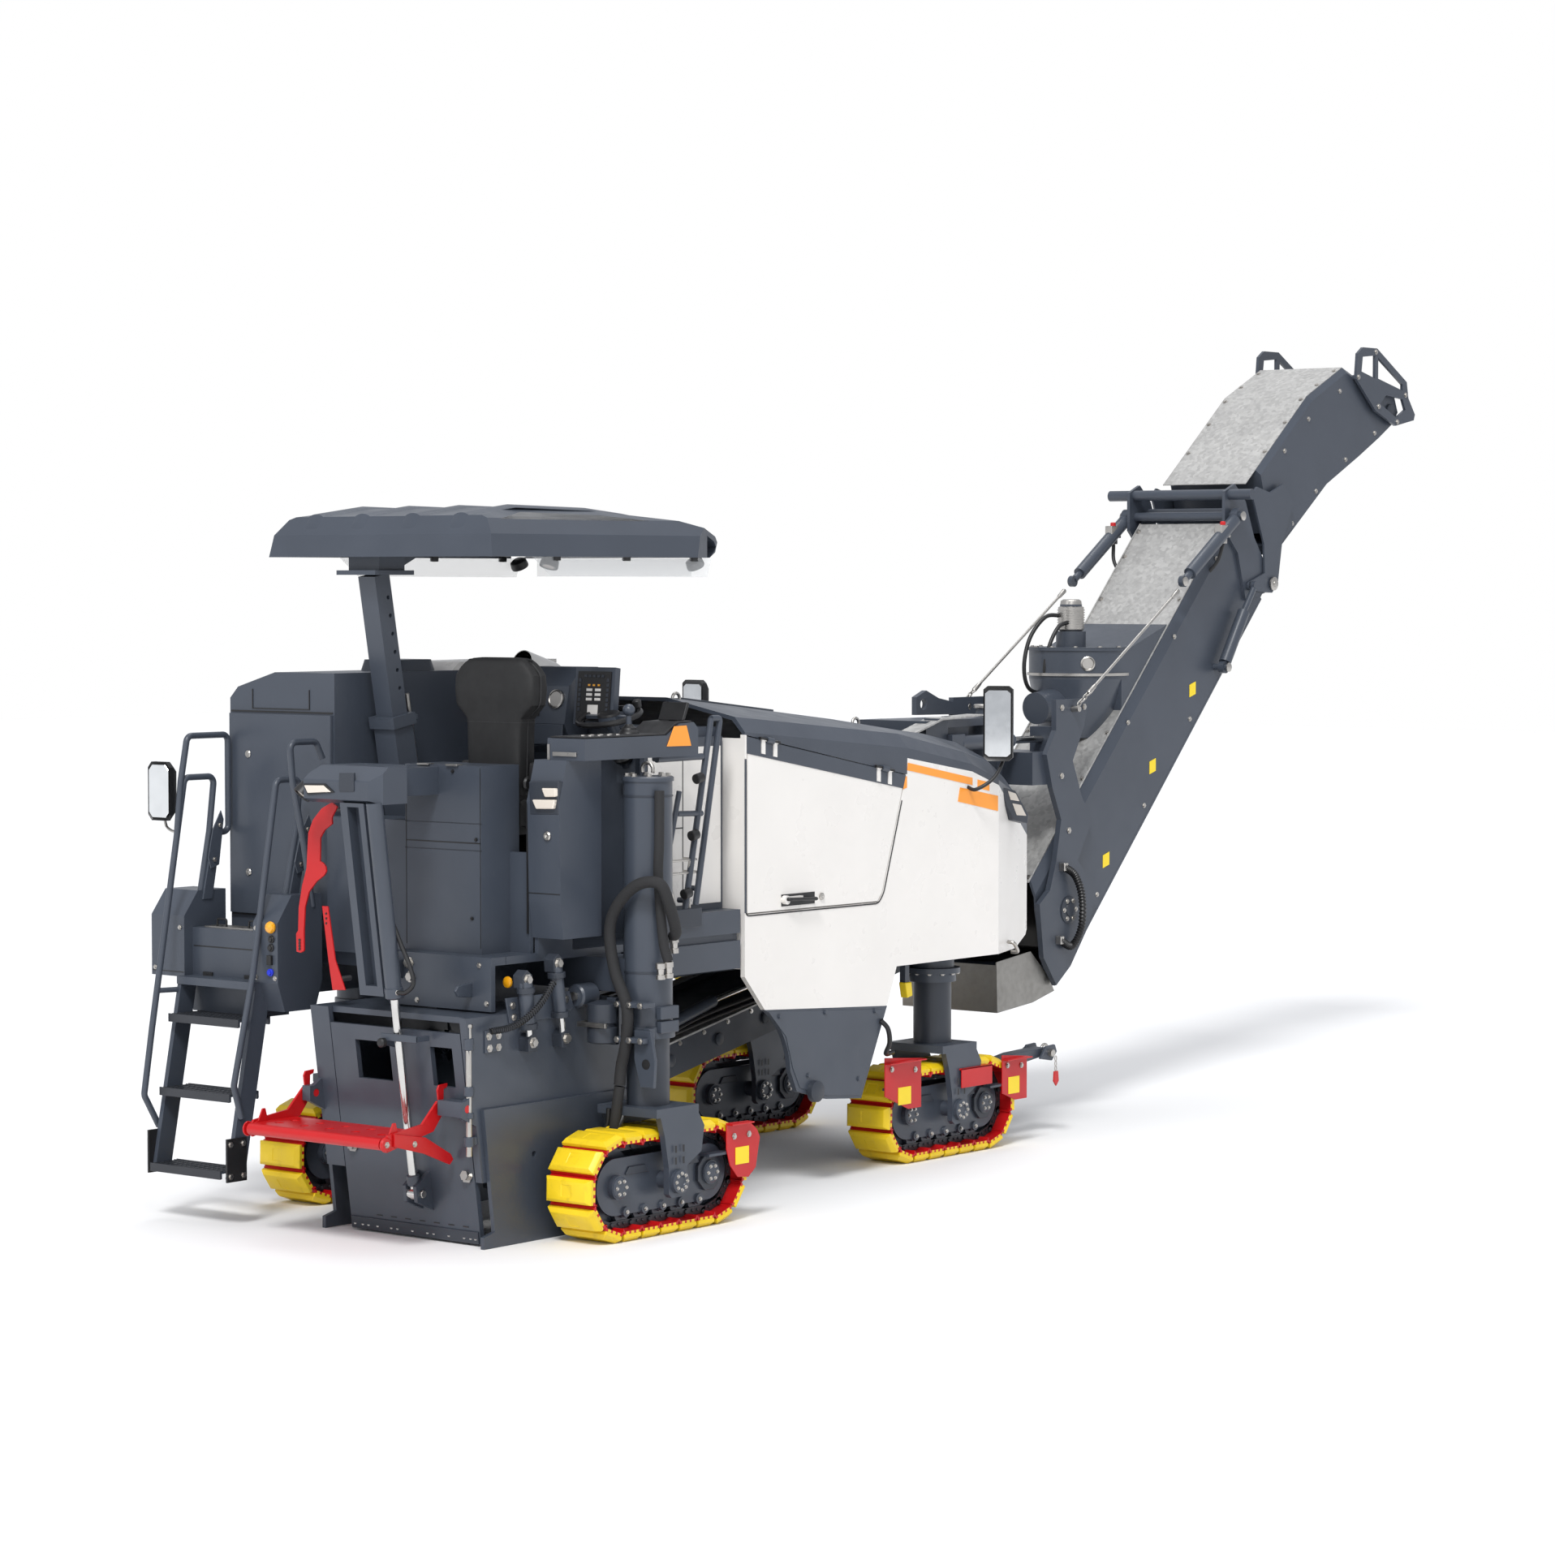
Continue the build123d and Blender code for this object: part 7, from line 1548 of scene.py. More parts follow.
def conveyor_flank():
    """Edge rails, roller stubs, a cylinder and two hoses on the flanks of the loading conveyor."""
    low, high = np.array([1.21, 0.47]), np.array([4.46, 1.14])
    along = unit(high - low)
    up = np.array([-along[1], along[0]])

    def at(run, rise, y):
        """X, Y and Z at a run along the conveyor and a rise off its sole."""
        spot = low + along * run + up * rise
        return (spot[0], y, spot[1])

    for side, word in SIDES:
        flat = [
            at(run, rise, 0)[::2] for run, rise in ((0.03, 0.19), (3.28, 0.19), (3.28, 0.202), (0.03, 0.202))
        ]
        piece("load_edge_" + word, side_sheet(flat, side, 0.36, 0.425), ZINC, 0.002)
        stub = [(0, 0.034), (0.014, 0.034), (0.018, 0.024), (0.018, 0.001)]
        spots = [at(run, 0.095, side * 0.4) for run in np.arange(0.25, 3.2, 0.42)]
        piece("load_stubs_" + word, turned_each(stub, spots, (0, side, 0), 16), SLATE_DARK)
        heads = bolts([at(run, 0.165, side * 0.4) for run in np.arange(0.14, 3.2, 0.21)], (0, side, 0), 0.01)
        piece("load_bolts_" + word, heads, STEEL)
        barrel = rod(at(0.3, 0.29, side * 0.44), at(1.05, 0.33, side * 0.44), 0.034)
        lugs = []
        for run in (0.3, 1.6):
            corners = ((-0.04, 0.195), (0.04, 0.195), (0.03, 0.33), (-0.03, 0.33))
            lugs.append(side_sheet([at(run + u, rise, 0)[::2] for u, rise in corners], side, 0.4, 0.412))
        piece("load_barrel_" + word, joined(barrel, *lugs), SLATE, 0.003)
        stem = rod(at(1.05, 0.33, side * 0.44), at(1.6, 0.32, side * 0.44), 0.017)
        piece("load_stem_" + word, stem, CHROME)
        lines = []
        for k in range(2):
            first = at(0.35 + 0.05 * k, 0.24, side * (0.43 + 0.02 * k))
            onward = ((0.9, 0.25, 0.455), (1.5, 0.23, 0.45), (2.3, 0.235, 0.43))
            route = [first] + [at(run, rise + 0.03 * k, side * y) for run, rise, y in onward]
            lines.append(tube(flowing(route), 0.011))
        piece("load_hoses_" + word, joined(*lines), BLACK)


leg_hoses()
leg_brackets()
conveyor_flank()
for leg_name in LEGS:
    wheel_gear(leg_name)
track_guards()


# ---------------------------------------------------------------- body sides and hood
def edge_height(x):
    """Height of the upper edge of the white side panels."""
    return 2.5 - (x - 1.76) * (0.265 / 1.44)


def side_trim():
    """Strips, leaves, pulls and gaps of the doors, stripes, apron skins and hooks on both sides."""
    y = -1.0
    strip = [
        (1.776, edge_height(1.776) - 0.006), (3.186, edge_height(3.186) - 0.006),
        (3.16, edge_height(3.16) - 0.085), (1.776, edge_height(1.776) - 0.098),
    ]
    piece("door_strips_right", slab(strip, y - 0.0035, y + 0.001), SLATE, 0.002, "door_right")
    piece("door_strips_left", slab(strip, -y - 0.001, -y + 0.0035), SLATE, 0.002, "door_left")
    for side, word in SIDES:
        leaf = []
        for x in (1.96, 2.98):
            z = edge_height(x)
            leaf.append(
                side_sheet(
                    [
                        (x - 0.085, z + 0.024), (x + 0.085, z - 0.008), (x + 0.085, z - 0.022),
                        (x - 0.085, z + 0.01),
                    ],
                    side, 1.004, 1.02,
                )
            )
        piece("door_leaves_" + word, joined(*leaf), BLACK, 0.003, "door_" + word)
        loop = [
            (x, side * y, z)
            for x, y, z in ((2.09, 1.01, 1.6), (2.09, 1.046, 1.6), (2.33, 1.046, 1.59), (2.33, 1.01, 1.59))
        ]
        grip = tube(bent(loop, 0.018), 0.01)
        plate = block((2.07, side * 1.0, 1.56), (2.36, side * 1.004, 1.625))
        piece("door_pull_" + word, joined(grip, plate), BLACK, 0.002, "door_" + word)
        lock = turned(
            [(0, 0.02), (0.008, 0.02), (0.012, 0.014), (0.012, 0.006), (0.006, 0.001)],
            (2.42, side * 1.0, 1.595), (0, side, 0),
        )
        piece("door_lock_" + word, lock, STEEL, body="door_" + word)
        rim = [(1.768, 2.36), (1.768, 1.528), (2.936, 1.524), (2.984, 1.58), (3.15, 2.09)]
        run = bent([(x, side * 1.0, z) for x, z in rim], 0.03)
        piece("door_gap_" + word, tube(run, 0.0042, 8), BLACK)
        seal = side_sheet([(1.757, 2.37), (1.772, 2.37), (1.772, 1.545), (1.757, 1.545)], side, 1.0, 1.004)
        piece("door_edge_" + word, seal, SLATE, 0.001)
        upper = [(3.206, 2.3), (3.82, 2.192), (3.82, 2.15), (3.2, 2.258)]
        upper_nose = [(3.87, 2.18), (3.985, 2.16), (3.985, 2.11), (3.87, 2.132)]
        lower = [(3.7, 2.142), (4.07, 2.078), (4.07, 1.99), (3.68, 2.062)]
        tip = [(3.178, 2.226), (3.196, 2.224), (3.196, 2.16), (3.16, 2.152)]
        bands = [side_sheet(band, side, 1.0, 1.0025) for band in (upper, upper_nose, lower, tip)]
        piece("stripes_" + word, joined(*bands), ORANGE)
        crook = [
            (x, side * y, z)
            for x, y, z in (
                (4.25, 0.945, 1.215), (4.25, 0.99, 1.215), (4.33, 0.965, 1.15), (4.33, 0.915, 1.15)
            )
        ]
        hook = tube(bent(crook, 0.025), 0.011)
        piece("tie_hook_" + word, hook, STEEL)
        skirt = [
            (1.955, 1), (2.11, 0.85), (2.17, 0.67), (2.23, 0.56), (2.47, 0.492), (2.765, 0.466), (2.975, 0.93)
        ]
        piece("apron_skin_" + word, side_sheet(skirt, side, 1.0, 1.004), SLATE, 0.002)
        rivets = [
            (2.05, side * 1.005, 0.965), (2.45, side * 1.005, 0.955), (2.9, side * 1.005, 0.925),
            (2.3, side * 1.005, 0.62), (2.75, side * 1.005, 0.56),
        ]
        piece("apron_bolts_" + word, bolts(rivets, (0, side, 0), 0.011), SLATE)
        box = turned(
            [(0, 0.06), (0.03, 0.058), (0.036, 0.046), (0.04, 0.02), (0.041, 0.001)],
            (2.35, side * 1.004, 0.53), (0, side, 0), 24,
        )
        piece("sensor_box_" + word, box, SLATE_DARK)
        hose = tube(
            flowing([
                (2.945, side * 1.01, 0.87), (2.985, side * 1.03, 0.82), (3.015, side * 1.02, 0.74),
                (3.06, side * 0.96, 0.67), (3.2, side * 0.9, 0.66),
            ]),
            0.014,
        )
        piece("steer_hose_" + word, hose, BLACK)


def nose_gear():
    """Bezel with two lenses, round marker, column flange and yellow block at the nose on both sides."""
    for side, word in SIDES:
        bezel = [
            (4.15, 2.128), (4.3, 2.098), (4.43, 1.955), (4.425, 1.9), (4.29, 1.925), (4.215, 2.01),
            (4.19, 2.06),
        ]
        piece("nose_bezel_" + word, side_sheet(bezel, side, 0.9, 0.962), SLATE_DARK, 0.005)
        lenses = joined(
            side_sheet([(4.222, 2.1), (4.298, 2.082), (4.336, 2.034), (4.25, 2.046)], side, 0.955, 0.967),
            side_sheet([(4.268, 2.026), (4.352, 2.012), (4.405, 1.946), (4.312, 1.954)], side, 0.955, 0.967),
        )
        piece("nose_lenses_" + word, lenses, LAMP, 0.003)
        mark = turned(
            [(0, 0.022), (0.006, 0.022), (0.01, 0.014), (0.011, 0.001)], (4.44, side * 0.87, 1.93),
            (0.42, 0.9 * side, 0),
        )
        piece("nose_marker_" + word, mark, BLACK)
        ring = turned(
            [(0, 0.13), (0, 0.162), (0.03, 0.162), (0.03, 0.13)], (FRONT_AXLE, side * FRONT_TRACK_Y, 1.06),
            (0, 0, 1), 40,
        )
        piece("front_flange_" + word, ring, SLATE)
        around = ring_of((FRONT_AXLE, side * FRONT_TRACK_Y, 1.06), 0.147, 12, level=True)
        piece("front_flange_bolts_" + word, bolts(around, (0, 0, -1), 0.01), STEEL)
        chock = side_sheet([(3.36, 1.04), (3.42, 1.04), (3.43, 0.96), (3.38, 0.95)], side, 0.82, 0.87)
        piece("yellow_block_" + word, chock, YELLOW_SIGN, 0.006)
        piece(
            "yellow_block_foot_" + word, block((3.37, side * 0.82, 1.035), (3.41, side * 0.86, 1.165)), SLATE,
            0.003,
        )


def side_mirrors():
    """Mirrors on black arms at the shoulders of the hood, one at either side."""
    for side, word in SIDES:
        y = side * 1.13
        corners = np.array([
            (-0.085, -0.195), (-0.06, -0.215), (0.06, -0.215), (0.085, -0.195), (0.085, 0.195), (0.06, 0.215),
            (-0.06, 0.215), (-0.085, 0.195),
        ])
        levels = [(-0.028, 0.93), (-0.036, 1), (0, 1), (0.035, 0.82), (0.05, 0.5), (0.053, 0.01)]
        turn = np.radians(25.0 if side < 0 else -4.0)
        swing = np.array([(np.cos(turn), np.sin(turn)), (-np.sin(turn), np.cos(turn))])

        def swung(stations):
            """Rings of the shell or the glass, turned about the upright through the mirror's middle."""
            rings = np.array([[(along, s * u, s * z) for u, z in corners] for along, s in stations])
            rings[..., :2] = rings[..., :2] @ swing
            return rings + (3.9, y, 2.505)

        piece("side_mirror_" + word, skin(swung(levels)[:, ::-1], closed=True, caps=True), BLACK)
        glass = swung([(-0.03, 0.9), (-0.038, 0.88)])
        piece("side_mirror_glass_" + word, skin(glass, closed=True, caps=True), MIRROR)
        arm = [
            (3.9, y, 2.5), (3.965, y, 2.46), (3.96, y, 2.33), (3.86, y, 2.2), (3.78, side * 1.06, 2.13),
            (3.78, side * 0.995, 2.14),
        ]
        piece("side_mirror_arm_" + word, tube(flowing(arm), 0.011), BLACK)


def hood_top():
    """Grille, its rims and lifting eyes on the sloping hood, and the grey shield in its valley."""
    tilt = (2.69 - 2.535) / 1.44
    slats = [block((2.0 + 0.055 * k, -0.34, 0), (2.03 + 0.055 * k, 0.34, 0.014)) for k in range(14)]
    bars = [block((1.985, y, 0), (2.8, y + 0.016, 0.018)) for y in (-0.36, 0.344)]
    for name, shapes, finish in (("hood_grille", slats, SLATE_DARK), ("hood_grille_rim", bars, SLATE)):
        points, faces = joined(*shapes)
        points[:, 2] += 2.69 - (points[:, 0] - 1.76) * tilt
        piece(name, (points, faces), finish, 0.003)
    eyes = []
    for x in (1.9, 3.5):
        z = 2.69 - (x - 1.76) * tilt if x < 3.2 else 2.535 - (x - 3.2) * 0.129
        for side in (-1, 1):
            eyes.append(tube(arc((x, side * 0.4, z + 0.004), 0.03, 0.03, -0.2, np.pi + 0.2, 12), 0.009))
    piece("hood_eyes", joined(*eyes), STEEL)
    shield = slab(
        [(4.2, 2.42), (4.48, 2.5), (4.9, 2.515), (4.9, 2.505), (4.48, 2.488), (4.2, 2.408)], -0.3, -0.17
    )
    piece("valley_shield", shield, ZINC, 0.002)
    foot = joined(
        block((4.44, -0.29, 2.485), (4.47, -0.19, 2.5)), block((4.6, -0.24, 2.485), (4.64, -0.2, 2.508))
    )
    piece("valley_shield_feet", foot, SLATE)


side_trim()
nose_gear()
side_mirrors()
hood_top()


# ---------------------------------------------------------------- discharge conveyor
BOOM_FOOT = np.array([5.57, 0.82])
BOOM_KNEE = np.array([8.06, 3.36])
BOOM_ALONG = unit(BOOM_KNEE - BOOM_FOOT)
BOOM_UP = np.array([-BOOM_ALONG[1], BOOM_ALONG[0]])


def on_boom(along, depth):
    """X and Z on the lower boom: foot plus a run along it and a rise from its sole."""
    return BOOM_FOOT + BOOM_ALONG * along + BOOM_UP * depth


def lifted(points, y):
    """Points in X and Z at one Y."""
    points = np.asarray(points, float)
    return np.insert(points, 1, y, axis=1)


def boom_bolts():
    """Bolt rows, edge rails, folded rims and blank placards along both booms."""
    up = (BOOM_UP[0], 0, BOOM_UP[1])
    for side, word in SIDES:
        runs = np.array([0.34, 0.78, 1.16, 1.55, 1.94, 2.33, 2.72, 3.11, 3.34])
        spots = [lifted([on_boom(run, 0.625)], side * 0.305)[0] for run in runs]
        piece("cover_bolts_" + word, bolts(spots, up, 0.012, 0.012), STEEL, body="boom_lower")
        low = [lifted([on_boom(run, 0.055)], side * 0.36)[0] for run in (0.7, 1.45, 2.2, 2.95)]
        mid = [lifted([on_boom(run, 0.56)], side * 0.36)[0] for run in (0.95, 1.7, 2.45, 3.15)]
        piece("side_bolts_" + word, bolts(low + mid, (0, side, 0), 0.012), STEEL, body="boom_lower")
        rim = side_sheet(
            [on_boom(0.3, 0.624), on_boom(3.41, 0.624), on_boom(3.41, 0.632), on_boom(0.3, 0.632)], side,
            0.318, 0.326,
        )
        piece("cover_rim_" + word, rim, ZINC, 0.001, "boom_lower")
        sole = side_sheet(
            [on_boom(0.26, -0.002), on_boom(3.35, -0.002), on_boom(3.35, -0.02), on_boom(0.26, -0.02)], side,
            0.33, 0.359,
        )
        piece("sole_rail_" + word, sole, SLATE, 0.002, "boom_lower")
        top = [(8.05, 4.174), (8.3, 4.374), (8.5, 4.533), (8.7, 4.636), (8.92, 4.738)]
        piece(
            "upper_cover_bolts_" + word, bolts([(x, side * 0.3, z) for x, z in top], (-0.55, 0, 0.83), 0.012),
            STEEL, body="boom_upper",
        )
        edge = [(8.3, 3.7), (8.6, 3.92), (8.98, 4.14), (9.36, 4.33), (8.2, 4.18), (8.5, 4.4), (8.9, 4.6)]
        piece(
            "upper_side_bolts_" + word, bolts([(x, side * 0.36, z) for x, z in edge], (0, side, 0), 0.012),
            STEEL, body="boom_upper",
        )
        placard = np.array([(-0.035, -0.05), (0.035, -0.03), (0.035, 0.05), (-0.035, 0.03)])
        places = ((7.1, 2.62), (6.64, 2.14), (6.12, 1.57))
        placards = [side_sheet(placard + spot, side, 0.36, 0.3625) for spot in places]
        piece("boom_placards_" + word, joined(*placards), YELLOW_SIGN, body="boom_lower")


def stay_ropes():
    """Two stay ropes with their shackles and end chains from the swivel's arms to the knee."""
    for side, word in SIDES:
        y = side * 0.44
        foot, head = np.array([5.676, y, 2.545]), np.array([6.86, y, 3.29])
        way = unit(head - foot)
        wire = [foot + way * 0.16, head - way * 0.1]
        piece("stay_rope_" + word, tube(wire, 0.009, 10), STEEL, body="boom_lower")
        chain = []
        for index in range(4):
            middle_point = foot + way * (0.035 + 0.036 * index)
            turn = np.arange(11) * 2 * np.pi / 10
            sideways = np.array([0.0, 1.0, 0.0]) if index % 2 else np.cross(way, (0, 1, 0))
            link = 0.024 * np.cos(turn)[:, None] * way + 0.013 * np.sin(turn)[:, None] * sideways
            chain.append(tube(middle_point + link, 0.0045, 8))
        socket = [(0, 0.01), (0.01, 0.016), (0.07, 0.014), (0.09, 0.01)]
        sockets = [turned(socket, foot + way * 0.15, way, 12), turned(socket, head - way * 0.06, -way, 12)]
        piece("rope_ends_" + word, joined(*chain, *sockets), STEEL, body="boom_lower")
        pin = rod((5.676, side * 0.372, 2.53), (5.676, side * 0.465, 2.53), 0.018)
        piece("rope_pin_" + word, pin, STEEL, body="swivel")


def knee_gear():
    """Pins, stay eye caps, valve blocks with red caps and short hoses at the knee."""
    for side, word in SIDES:
        pin = turned(
            [(0, 0.045), (0.01, 0.045), (0.014, 0.038), (0.014, 0.02), (0.02, 0.018), (0.021, 0.001)],
            (7.99, side * 0.411, 3.3), (0, side, 0), 28,
        )
        piece("knee_pin_cap_" + word, pin, STEEL, body="boom_upper")
        eye_cap = [(0, 0.03), (0.006, 0.03), (0.01, 0.022), (0.011, 0.001)]
        spots = [
            (x, side * y, z) for x, y, z in ((7.52, 0.47, 3.74), (7.36, 0.468, 2.76), (6.88, 0.444, 3.316))
        ]
        piece("stay_pins_" + word, turned_each(eye_cap, spots, (0, side, 0)), STEEL, body="boom_lower")
        valve = joined(
            block((7.29, side * 0.4, 3.6), (7.4, side * 0.455, 3.68)),
            block((7.315, side * 0.41, 3.56), (7.375, side * 0.445, 3.61)),
        )
        piece("knee_valve_" + word, valve, STEEL, 0.005, "boom_lower")
        cap = turned(
            [(0, 0.018), (0.02, 0.018), (0.024, 0.012), (0.025, 0.001)], (7.345, side * 0.428, 3.68),
            (0, 0, 1),
        )
        piece("valve_cap_" + word, cap, RED, body="boom_lower")
        line = flowing([
            (7.35, side * 0.428, 3.56), (7.32, side * 0.4, 3.44), (7.3, side * 0.3, 3.33),
            (7.34, side * 0.24, 3.28),
        ])
        piece("knee_hose_" + word, tube(line, 0.012), BLACK, body="boom_lower")


def fan_gear():
    """Silver motor, rim bolts, black cable loops and the round port of the dust extractor."""
    motor = turned(
        [(0, 0.074), (0.01, 0.082), (0.15, 0.082), (0.156, 0.07), (0.19, 0.066), (0.2, 0.05), (0.201, 0.001)],
        (6.28, 0.024, 3.002), (0, 0, 1), 28,
    )
    piece("fan_motor", motor, STEEL, body="boom_lower")
    spots = [(6.28, 0.024, z) for z in np.linspace(3.02, 3.13, 8)]
    fins = turned_each([(0, 0.08), (0.001, 0.088), (0.007, 0.088), (0.008, 0.08)], spots, (0, 0, 1), 28)
    piece("fan_fins", fins, STEEL, body="boom_lower")
    around = ring_of((6.34, 0, 2.9), 0.3, 12, level=True)
    piece("fan_bolts", bolts(around, (0, 0, 1), 0.012), STEEL, body="boom_lower")
    loops = [
        flowing([
            (6.225, 0.06, 3.1), (6.12, 0.11, 3.09), (6.01, 0.15, 2.96), (5.96, 0.16, 2.78), (6, 0.15, 2.64),
            (6.12, 0.1, 2.6),
        ]),
        flowing([
            (6.23, -0.01, 3.06), (6.14, 0.02, 3.03), (6.06, 0.04, 2.9), (6.03, 0.05, 2.74), (6.12, 0.06, 2.61)
        ]),
    ]
    piece("fan_cables", joined(*[tube(loop, 0.013) for loop in loops]), BLACK, body="boom_lower")
    port = turned(
        [(0, 0.046), (0.02, 0.046), (0.024, 0.038), (0.016, 0.034), (0.016, 0.001)], (6.12, -0.215, 2.8),
        (-0.75, -0.65, 0),
    )
    piece("fan_port", port, STEEL, body="boom_lower")
    band = [(0, 0.321), (0.001, 0.332), (0.018, 0.332), (0.019, 0.321)]
    piece("fan_band", turned(band, (6.34, 0, 2.72), (0, 0, 1), 48), STEEL, body="boom_lower")


def swivel_gear():
    """Slewing cylinders, pin cap, pivot covers and the ribbed hoses round the swivel."""
    for side, word in SIDES:
        y = side * 0.25
        barrel = rod((4.7, y, 2.345), (5.25, y, 2.345), 0.045)
        ears = block((4.59, y - 0.04, 2.29), (4.72, y + 0.04, 2.4))
        piece("slew_barrel_" + word, joined(barrel, ears), SLATE, 0.003)
        stem = rod((5.25, y, 2.345), (5.56, y, 2.345), 0.022)
        piece("slew_rod_" + word, stem, CHROME)
        pivot = turned(
            [(0, 0.084), (0.006, 0.086), (0.01, 0.078), (0.01, 0.044), (0.016, 0.042), (0.017, 0.001)],
            (5.64, side * 0.411, 1.29), (0, side, 0), 32,
        )
        piece("pivot_cover_" + word, pivot, SLATE_DARK, body="swivel")
        piece(
            "pivot_bolts_" + word, bolts(ring_of((5.64, side * 0.421, 1.29), 0.062, 6), (0, side, 0), 0.011),
            STEEL, body="swivel",
        )
        loop = flowing(
            [
                (5.56, side * 0.43, 1.56), (5.64, side * 0.46, 1.5), (5.7, side * 0.47, 1.36),
                (5.7, side * 0.465, 1.18), (5.62, side * 0.45, 1.07), (5.52, side * 0.43, 1.11),
            ],
            16,
        )
        ribs = 0.022 + 0.0035 * np.cos(np.arange(len(loop)) * np.pi)
        piece("ribbed_hose_" + word, tube(loop, ribs, 12), BLACK, body="swivel")
        ends = joined(
            block((5.535, side * 0.409, 1.535), (5.58, side * 0.45, 1.585)),
            block((5.5, side * 0.409, 1.085), (5.54, side * 0.45, 1.135)),
        )
        piece("ribbed_hose_ends_" + word, ends, STEEL, 0.004, "swivel")
        edge = [
            (5.56, side * 0.4115, 2.54), (5.8, side * 0.4115, 2.54), (5.56, side * 0.4115, 2.12),
            (5.64, side * 0.4115, 1.78),
        ]
        piece("arm_bolts_" + word, bolts(edge, (0, side, 0), 0.014), STEEL, body="swivel")
    cap = turned(
        [(0, 0.044), (0.004, 0.06), (0.02, 0.06), (0.026, 0.05), (0.027, 0.001)], (5.3, 0, 2.535), (0, 0, 1),
        28,
    )
    piece("slew_pin_cap", cap, STEEL, body="swivel")


def head_gear():
    """Bolts of the head guards, the roller's end caps and the ribs of the belt round it."""
    for side, word in SIDES:
        face = side * 0.404
        spots = [
            (9.07, face, 4.7), (9.34, face, 4.51), (9.59, face, 4.412), (9.3, face, 4.88), (9.7, face, 4.6)
        ]
        piece("guard_bolts_" + word, bolts(spots, (0, side, 0), 0.013), STEEL, body="boom_upper")
        cap = turned(
            [(0, 0.055), (0.014, 0.055), (0.02, 0.044), (0.02, 0.001)], (9.56, side * 0.36, 4.48),
            (0, side, 0), 28,
        )
        piece("roller_cap_" + word, cap, SLATE_DARK, body="boom_upper")
    roller = (9.56, 0, 4.48)
    rib = np.concatenate([arc(roller, 0.109, 0.109, -1.5, 1.5, 14), arc(roller, 0.106, 0.106, 1.5, -1.5, 14)])
    lagging = [slab(rib[:, ::2], y - 0.006, y + 0.006) for y in np.linspace(-0.3, 0.3, 13)]
    piece("belt_ribs", joined(*lagging), RUBBER, body="boom_upper")


def drawbar():
    """Tow bar on the right front leg with its ears, cross pin, small chain and red tag."""
    y = -0.73
    beam = joined(
        slab(
            [(4.42, 0.4), (4.42, 0.5), (4.56, 0.52), (4.88, 0.53), (4.88, 0.48), (4.6, 0.45)], y - 0.045,
            y + 0.045,
        ),
        slab([(4.78, 0.47), (4.84, 0.54), (4.93, 0.545), (4.95, 0.5), (4.9, 0.45)], y - 0.08, y - 0.06),
        slab([(4.78, 0.47), (4.84, 0.54), (4.93, 0.545), (4.95, 0.5), (4.9, 0.45)], y + 0.06, y + 0.08),
    )
    piece("tow_bar", beam, SLATE, 0.005, "leg_front_right")
    piece("tow_pin", rod((4.87, y - 0.11, 0.5), (4.87, y + 0.11, 0.5), 0.022), STEEL, body="leg_front_right")
    piece(
        "tow_ring", tube(arc((4.93, y, 0.505), 0.035, 0.035, 0.3, 2 * np.pi - 0.3, 16), 0.009), STEEL,
        body="leg_front_right",
    )
    hanging = [
        tube(arc((4.895, y - 0.108, 0.465 - 0.03 * k), 0.01, 0.016, 0, 2 * np.pi, 9), 0.003, 6)
        for k in range(3)
    ]
    piece("tow_chain", joined(*hanging), STEEL, body="leg_front_right")
    tag = [(4.875, 0.39), (4.915, 0.39), (4.922, 0.33), (4.895, 0.3), (4.868, 0.33)]
    piece("tow_tag", slab(tag, y - 0.114, y - 0.104), RED, 0.003, "leg_front_right")


boom_bolts()
stay_ropes()
knee_gear()
fan_gear()
swivel_gear()
head_gear()
drawbar()


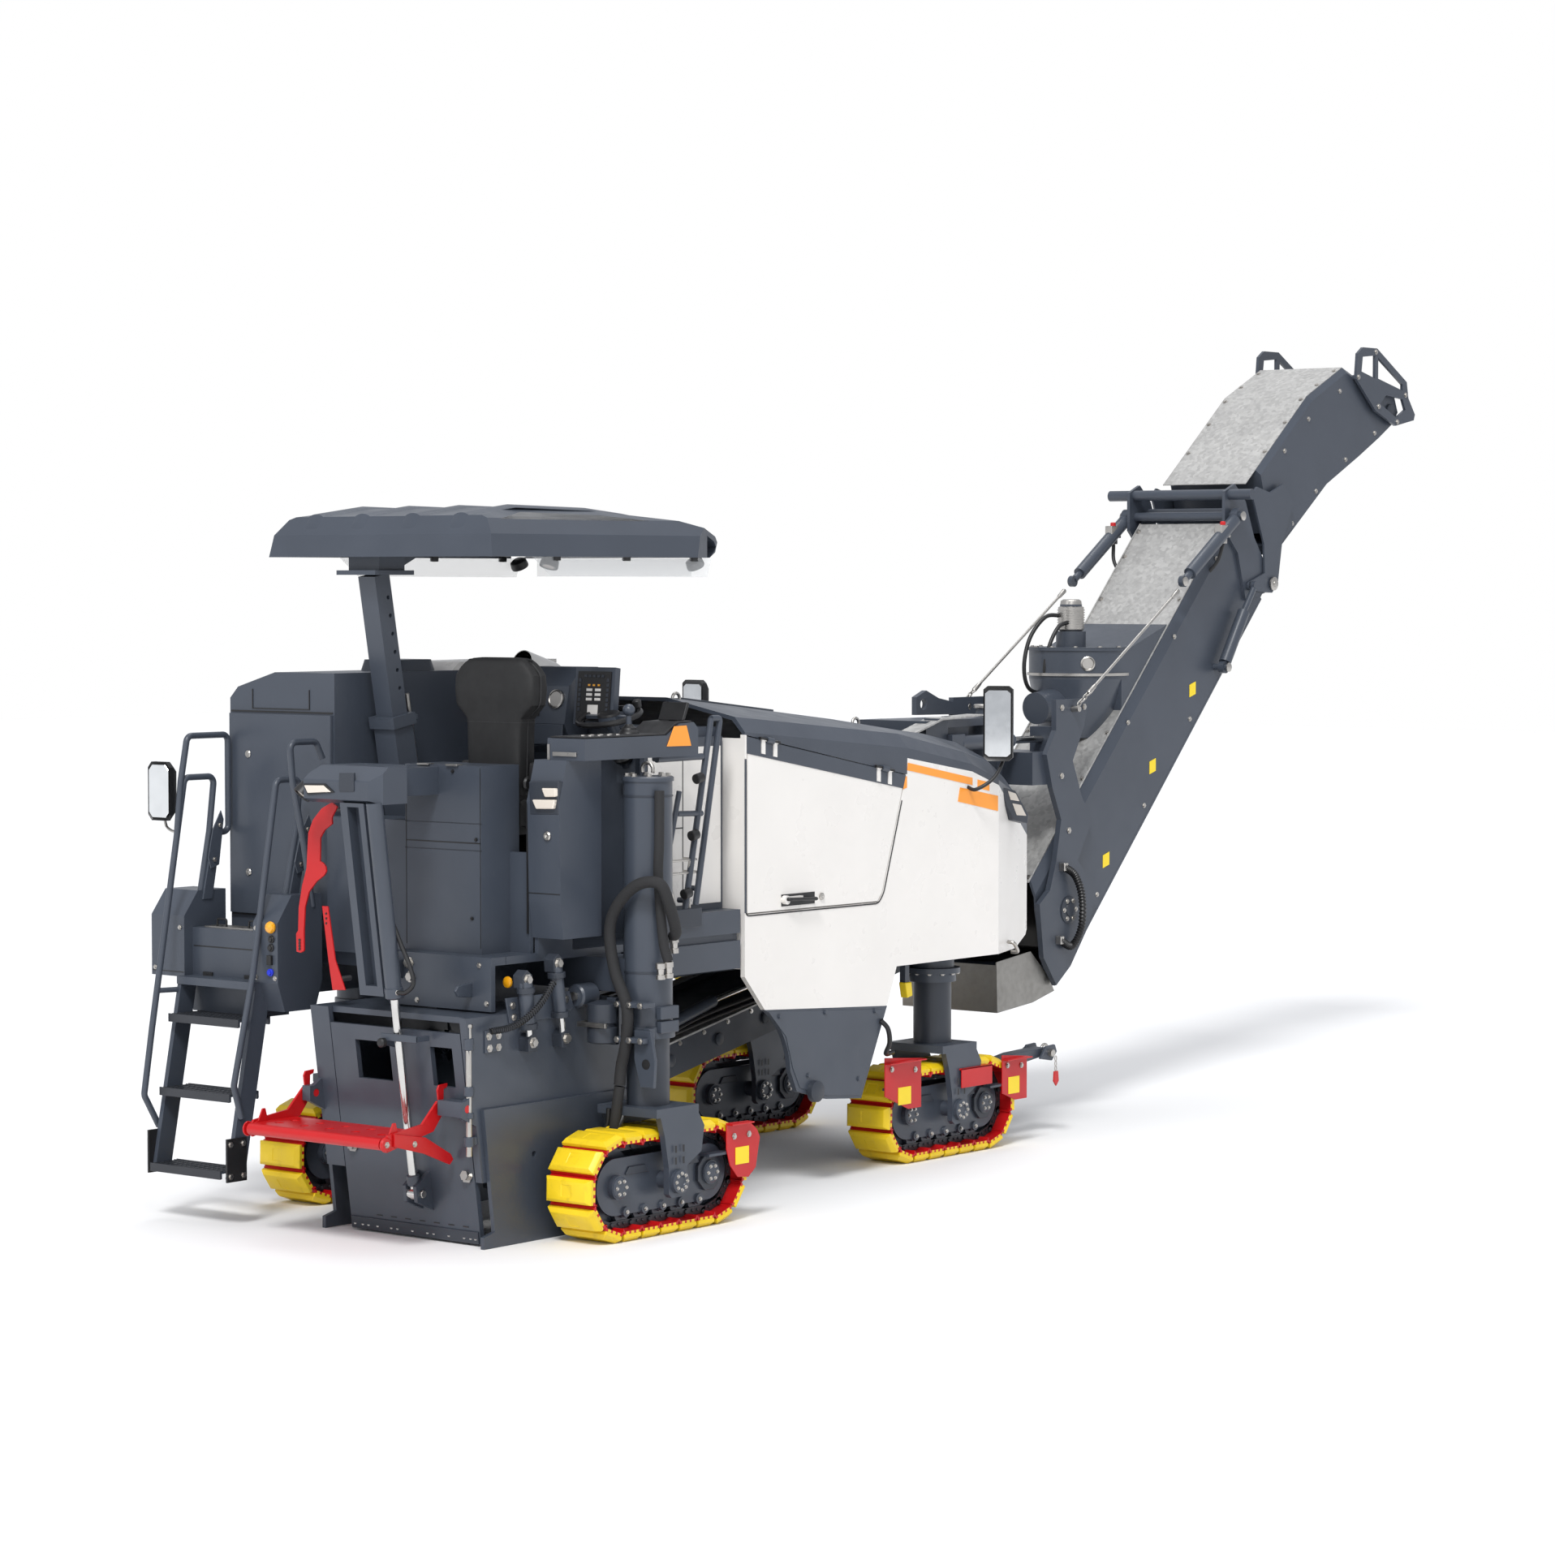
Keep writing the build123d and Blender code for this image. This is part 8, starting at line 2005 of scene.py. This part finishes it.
# ---------------------------------------------------------------- canopy
def canopy_gear():
    """Clear visor with its clamps, round work lamps, roof ribs and the spindle of the mast."""
    sheet = [(0.42, 3.445), (0.56, 3.345), (1.81, 3.34), (1.85, 3.445)]
    for side, word in SIDES:
        piece("visor_" + word, side_sheet(sheet, side, 0.692, 0.698), GLASS, body="canopy")
        clamps = [
            block((x - 0.025, side * 0.685, 3.425), (x + 0.025, side * 0.706, 3.455))
            for x in (0.6, 1.15, 1.7)
        ]
        piece("visor_clamps_" + word, joined(*clamps), BLACK, 0.004, "canopy")
        for index, (x, way) in enumerate(((0.62, -0.35), (1.76, 0.5))):
            start = (x, side * 0.64, 3.44)
            lamp = turned(
                [(0, 0.026), (0.012, 0.046), (0.044, 0.05), (0.052, 0.048), (0.052, 0.041), (0.044, 0.001)],
                start, (way, 0, -0.87),
            )
            piece("work_lamp_%d_%s" % (index, word), lamp, BLACK, body="canopy")
            lens = turned([(0.045, 0.04), (0.05, 0.034), (0.053, 0.001)], start, (way, 0, -0.87))
            piece("work_lens_%d_%s" % (index, word), lens, LAMP, body="canopy")
    ahead = slab([(-0.56, 3.44), (0.56, 3.44), (0.56, 3.345), (-0.56, 3.345)], 1.836, 1.842, 0)
    piece("visor_front", ahead, GLASS, body="canopy")
    knots = np.array([(0.018, 3.56), (0.07, 3.655), (0.42, 3.7), (1, 3.69), (1.56, 3.64), (1.95, 3.56)])
    stations = np.array([0.034, 0.05, 0.072, 0.11, 0.2, 0.42, 0.7, 1.0, 1.3, 1.5, 1.58])
    for index, y in enumerate((-0.52, -0.18, 0.18, 0.52)):
        share = np.linspace(-1, 1, 9)
        rise = 0.016 * np.cos(share * np.pi / 2) ** 0.8
        fade = np.clip(np.minimum((stations - 0.034) / 0.04, (1.58 - stations) / 0.2), 0.05, 1.0)
        ground = np.interp(stations, knots[:, 0], knots[:, 1]) - 0.004
        upper = np.stack(
            [
                np.repeat(stations[:, None], 9, 1), np.repeat((y + 0.055 * share)[None], len(stations), 0),
                ground[:, None] + rise * fade[:, None] + 0.003,
            ],
            axis=2,
        )
        lower = upper[:, ::-1] * (1, 1, 0) + np.stack([0 * ground, 0 * ground, ground], axis=1)[:, None]
        piece(
            "roof_rib_%d" % index, skin(np.concatenate([upper, lower], axis=1)[::-1], closed=True, caps=True),
            SLATE, body="canopy",
        )
    spindle = rod((0.64, 0.2, 1.47), (0.415, 0.2, 2.73), 0.014)
    piece("mast_spindle", spindle, STEEL)
    nuts = joined(
        block((0.56, 0.16, 1.445), (0.68, 0.24, 1.475)), block((0.29, 0.16, 2.59), (0.46, 0.24, 2.62))
    )
    piece("mast_spindle_nuts", nuts, SLATE, 0.004)


canopy_gear()
